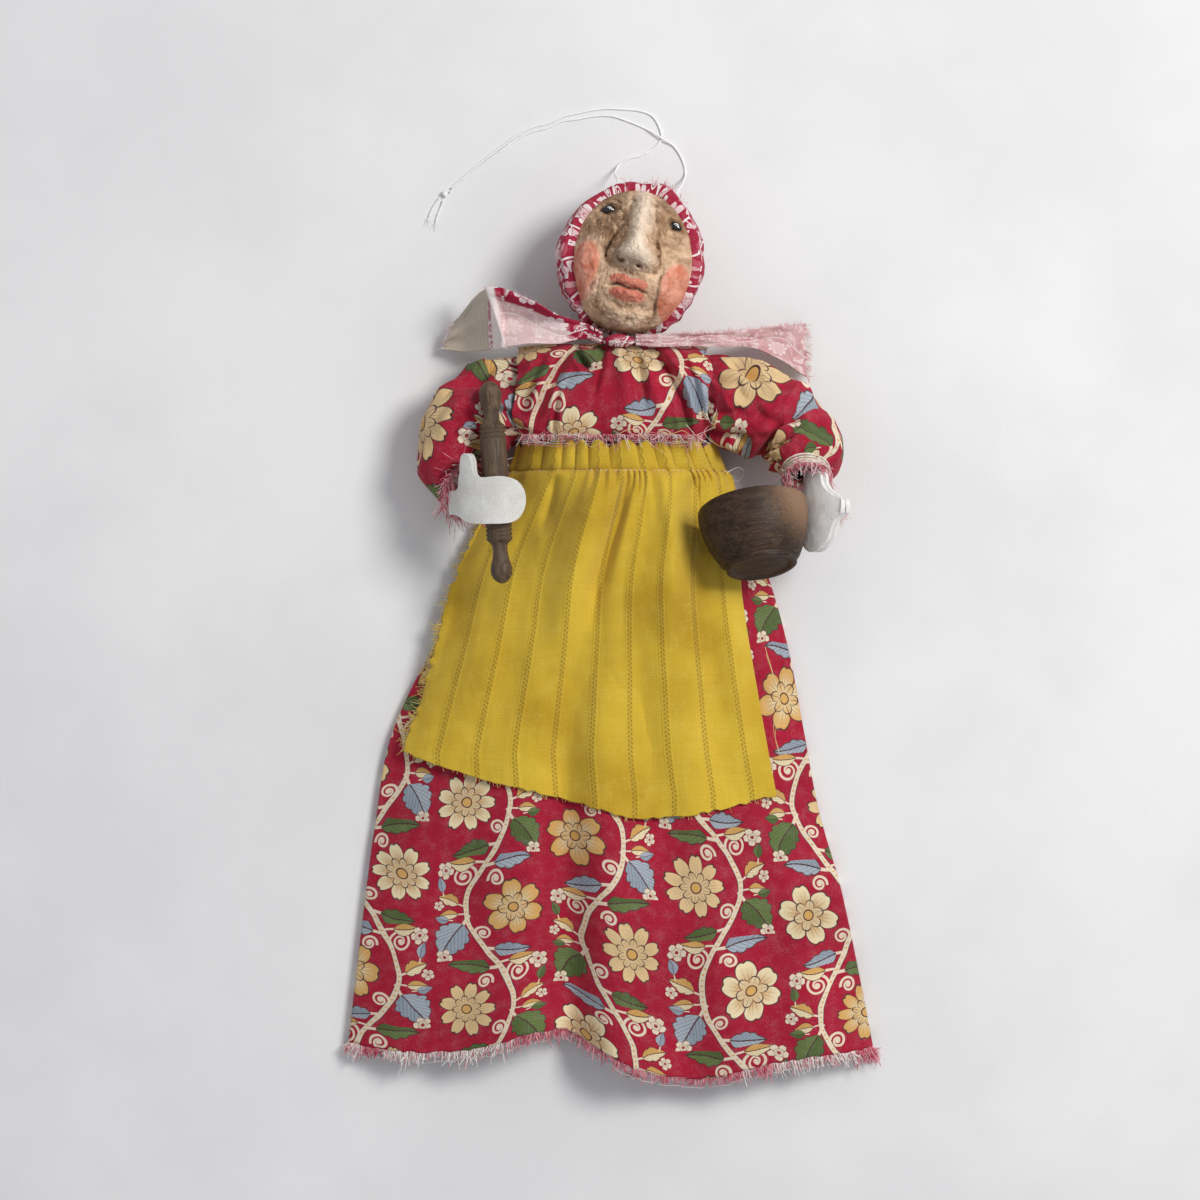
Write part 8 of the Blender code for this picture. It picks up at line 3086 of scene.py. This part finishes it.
def build_pieces() -> None:
    """Build every piece of the doll, largest first."""
    motifs = {"flower": flower_group(), "leaf": leaf_group(), "tendril": tendril_group()}
    weave, lint = weave_group(), fuzz_group()
    dress = trailing_print("Trailing vine, dress", DRESS_INKS, motifs)
    kerchief = trailing_print("Trailing vine, kerchief", KERCHIEF_INKS, motifs)
    finishes = {
        "dress": ClothFinish("dress_cotton", dress, weave, lint, 1000.0).make(),
        "dress_back": ClothFinish(
            "dress_wrong_side", dress, weave, lint, 1000.0, side=ClothSide.WRONG
        ).make(),
        "fray_pink": YarnFinish("fray_pink", (0.70, 0.20, 0.27, 1.0), (0.82, 0.42, 0.45, 1.0)).make(),
        "fray_white": YarnFinish("fray_white", (0.80, 0.72, 0.68, 1.0), (0.88, 0.84, 0.80, 1.0)).make(),
        "fray_red": YarnFinish("fray_red", (0.50, 0.05, 0.10, 1.0), (0.62, 0.14, 0.18, 1.0)).make(),
        "fray_dark": YarnFinish("fray_dark", (0.30, 0.05, 0.06, 1.0), (0.42, 0.10, 0.10, 1.0)).make(),
        "fray_gold": YarnFinish("fray_gold", (0.66, 0.46, 0.07, 1.0), (0.78, 0.60, 0.16, 1.0)).make(),
        "fray_straw": YarnFinish("fray_straw", (0.78, 0.62, 0.22, 1.0), (0.84, 0.72, 0.38, 1.0)).make(),
        "thread_white": YarnFinish(
            "thread_white", (0.88, 0.88, 0.87, 1.0), (0.95, 0.95, 0.95, 1.0), 0.8
        ).make(),
        "bodice": ClothFinish("bodice_cotton", dress, weave, lint, 1000.0, (0.0125, 0.0040)).make(),
        "sleeve": ClothFinish("sleeve_cotton", dress, weave, lint, 1000.0, (0.0, 0.0)).make(),
        "apron": ApronFinish(weave, lint).make(),
        "fray_cream": YarnFinish("fray_cream", (0.66, 0.56, 0.46, 1.0), (0.82, 0.75, 0.66, 1.0)).make(),
        "kerchief": ClothFinish(
            "kerchief_cotton", kerchief, weave, lint, 3300.0, (0.006, 0.011), count=3600.0
        ).make(),
        "kerchief_back": ClothFinish(
            "kerchief_wrong_side", kerchief, weave, lint, 2300.0, side=ClothSide.WRONG
        ).make(),
        "tail_right": TailFinish("kerchief_tail_right", kerchief, weave, True).make(),
        "tail_left": TailFinish("kerchief_tail_left", kerchief, weave, False).make(),
        "apple": AppleFinish().make(),
        "stuffing": YarnFinish("stuffing_cloth", (0.62, 0.57, 0.48, 1.0), (0.74, 0.70, 0.62, 1.0)).make(),
    }
    shape = SkirtShape()
    Skirt(shape, finishes).build()
    Apron(shape, finishes).build()
    Bodice(finishes).build()
    Sleeve(RIGHT_SLEEVE, finishes).build()
    left_sleeve = Sleeve(LEFT_SLEEVE, finishes)
    left_sleeve.build()
    WristThread(left_sleeve, finishes).build()
    stuffed_roll(finishes["stuffing"])
    Head(finishes).build()
    Kerchief(finishes).build()
    bowl = Bowl()
    bowl.build(
        # The last point is the middle of the bowl's painted highlight, on its side towards the light.
        WoodFinish(
            "bowl_wood", (1.0, 0.15, 0.0), (0.014, 0.007, 0.004, 1.0), (0.050, 0.027, 0.015, 1.0),
            (0.210, 0.122, 0.070, 1.0), 0.34, (0.0550, 0.0400, 0.0330)
        ).make()
    )
    RollingPin().build(
        WoodFinish(
            "pin_wood", (-0.06, 1.0, 0.0), (0.046, 0.027, 0.016, 1.0), (0.115, 0.074, 0.046, 1.0),
            (0.255, 0.175, 0.112, 1.0), 0.55
        ).make()
    )
    Hands({
        "right_forearm": PaintedFinish(
            "hand_cloth", (0.72, 0.705, 0.66, 1.0), (0.84, 0.835, 0.80, 1.0)
        ).make(),
        # The left hand gets a paler copy of the hand cloth: painted light on its face, which is turned away
        # from the lamp.
        "left_forearm": PaintedFinish(
            "hand_cloth_lit_copy", (0.90, 0.89, 0.87, 1.0), (0.96, 0.955, 0.94, 1.0)
        ).make(),
    }, bowl).build()
    HangingThread(finishes["thread_white"]).build()
    steel = WireFinish().make()
    for name in WIRES:
        node = bpy.data.objects.get(name)
        node.data.materials.clear()
        node.data.materials.append(steel)


# The stage

@dataclass(frozen=True)
class Stage:
    """Camera, light and floor."""
    camera_height: float = 2.0
    middle: tuple[float, float] = (-0.00297, 0.00935)
    frame_width: float = 0.33984
    doll_height: float = 0.016
    sensor: float = 36.0
    floor_size: float = 3.0
    light_place: tuple[float, float, float] = (0.62, 0.42, 0.95)
    light_size: float = 0.42
    light_power: float = 10.1
    sky: Colour = (0.93, 0.95, 1.0, 1.0)
    sky_strength: float = 0.46

    def camera(self) -> None:
        """Set the camera straight above the doll, as in the photograph."""
        data = bpy.data.cameras.new("Camera")
        data.sensor_width = self.sensor
        data.lens = self.sensor * self.camera_height / self.frame_width
        data.clip_end = self.camera_height * 4
        made = bpy.data.objects.new("Camera", data)
        made.location = (*self.middle, self.camera_height + self.doll_height)
        bpy.context.scene.collection.objects.link(made)
        bpy.context.scene.camera = made
        view = bpy.context.scene.view_settings
        view.view_transform = "Standard"

    def lights(self) -> None:
        """Light the doll softly from the upper right, with a pale sky all round."""
        data = bpy.data.lights.new("Window", "AREA")
        data.shape = "DISK"
        data.size = self.light_size
        data.energy = self.light_power
        data.color = (1.0, 0.985, 0.96)
        made = bpy.data.objects.new("Window", data)
        made.location = self.light_place
        made.rotation_euler = (-Vector(self.light_place)).to_track_quat("-Z", "Y").to_euler()
        bpy.context.scene.collection.objects.link(made)
        world = bpy.data.worlds.new("Sky")
        world.use_nodes = True
        world.node_tree.nodes["Background"].inputs["Color"].default_value = self.sky
        world.node_tree.nodes["Background"].inputs["Strength"].default_value = self.sky_strength
        bpy.context.scene.world = world

    def floor(self, finish: bpy.types.Material) -> None:
        """Lay the pale plaster that the doll lies on.

        Args:
            finish: The floor's material.
        """
        bm = bmesh.new()
        bmesh.ops.create_grid(bm, x_segments=2, y_segments=2, size=self.floor_size / 2)
        made = from_bmesh("floor", bm)
        made.data.materials.append(finish)


@dataclass(frozen=True)
class PlasterFinish:
    """Pale, slightly uneven plaster with fine crazing."""

    def make(self) -> bpy.types.Material:
        """Build the material's nodes.

        Returns:
            The material.
        """
        material, g, shader = new_finish("plaster")
        place = g.object_place()
        broad = g.noise(place, 9.0, 4.0, 0.6)
        fine = g.noise(place, 900.0, 3.0, 0.6)
        colour = g.mix(g.smooth(broad, 0.35, 0.65), (0.76, 0.76, 0.765, 1.0), (0.83, 0.83, 0.832, 1.0))
        specks = g.smooth(fine, 0.62, 0.75)
        colour = g.mix(g.math("MULTIPLY", specks, 0.10), colour, (0.45, 0.44, 0.42, 1.0))
        cracks = g.add("ShaderNodeTexVoronoi", feature="DISTANCE_TO_EDGE")
        bent = g.vector("ADD", place, g.vector("SCALE", g.add("ShaderNodeTexNoise").outputs[1], scale=0.01))
        g.feed(cracks.inputs["Vector"], bent)
        cracks.inputs["Scale"].default_value = 55.0
        line = g.math("MULTIPLY", g.smooth(cracks.outputs[0], 0.012, 0.0), g.smooth(broad, 0.56, 0.72))
        colour = g.mix(g.math("MULTIPLY", line, 0.06), colour, (0.55, 0.54, 0.53, 1.0))
        g.feed(shader.inputs["Base Color"], colour)
        g.feed(shader.inputs["Roughness"], 0.85)
        height = g.math("ADD", g.math("MULTIPLY", fine, 0.4), g.math("MULTIPLY", line, -0.1))
        g.feed(shader.inputs["Normal"], g.bump(height, 0.5, 0.0002))
        return material


def main() -> None:
    """Build the doll's looks in order, reporting each part."""
    logging.basicConfig(level=logging.INFO, format="%(message)s")
    stage = Stage()
    stage.camera()
    stage.lights()
    stage.floor(PlasterFinish().make())
    LOG.info("stage set")
    build_pieces()


if __name__ == "__main__":
    main()
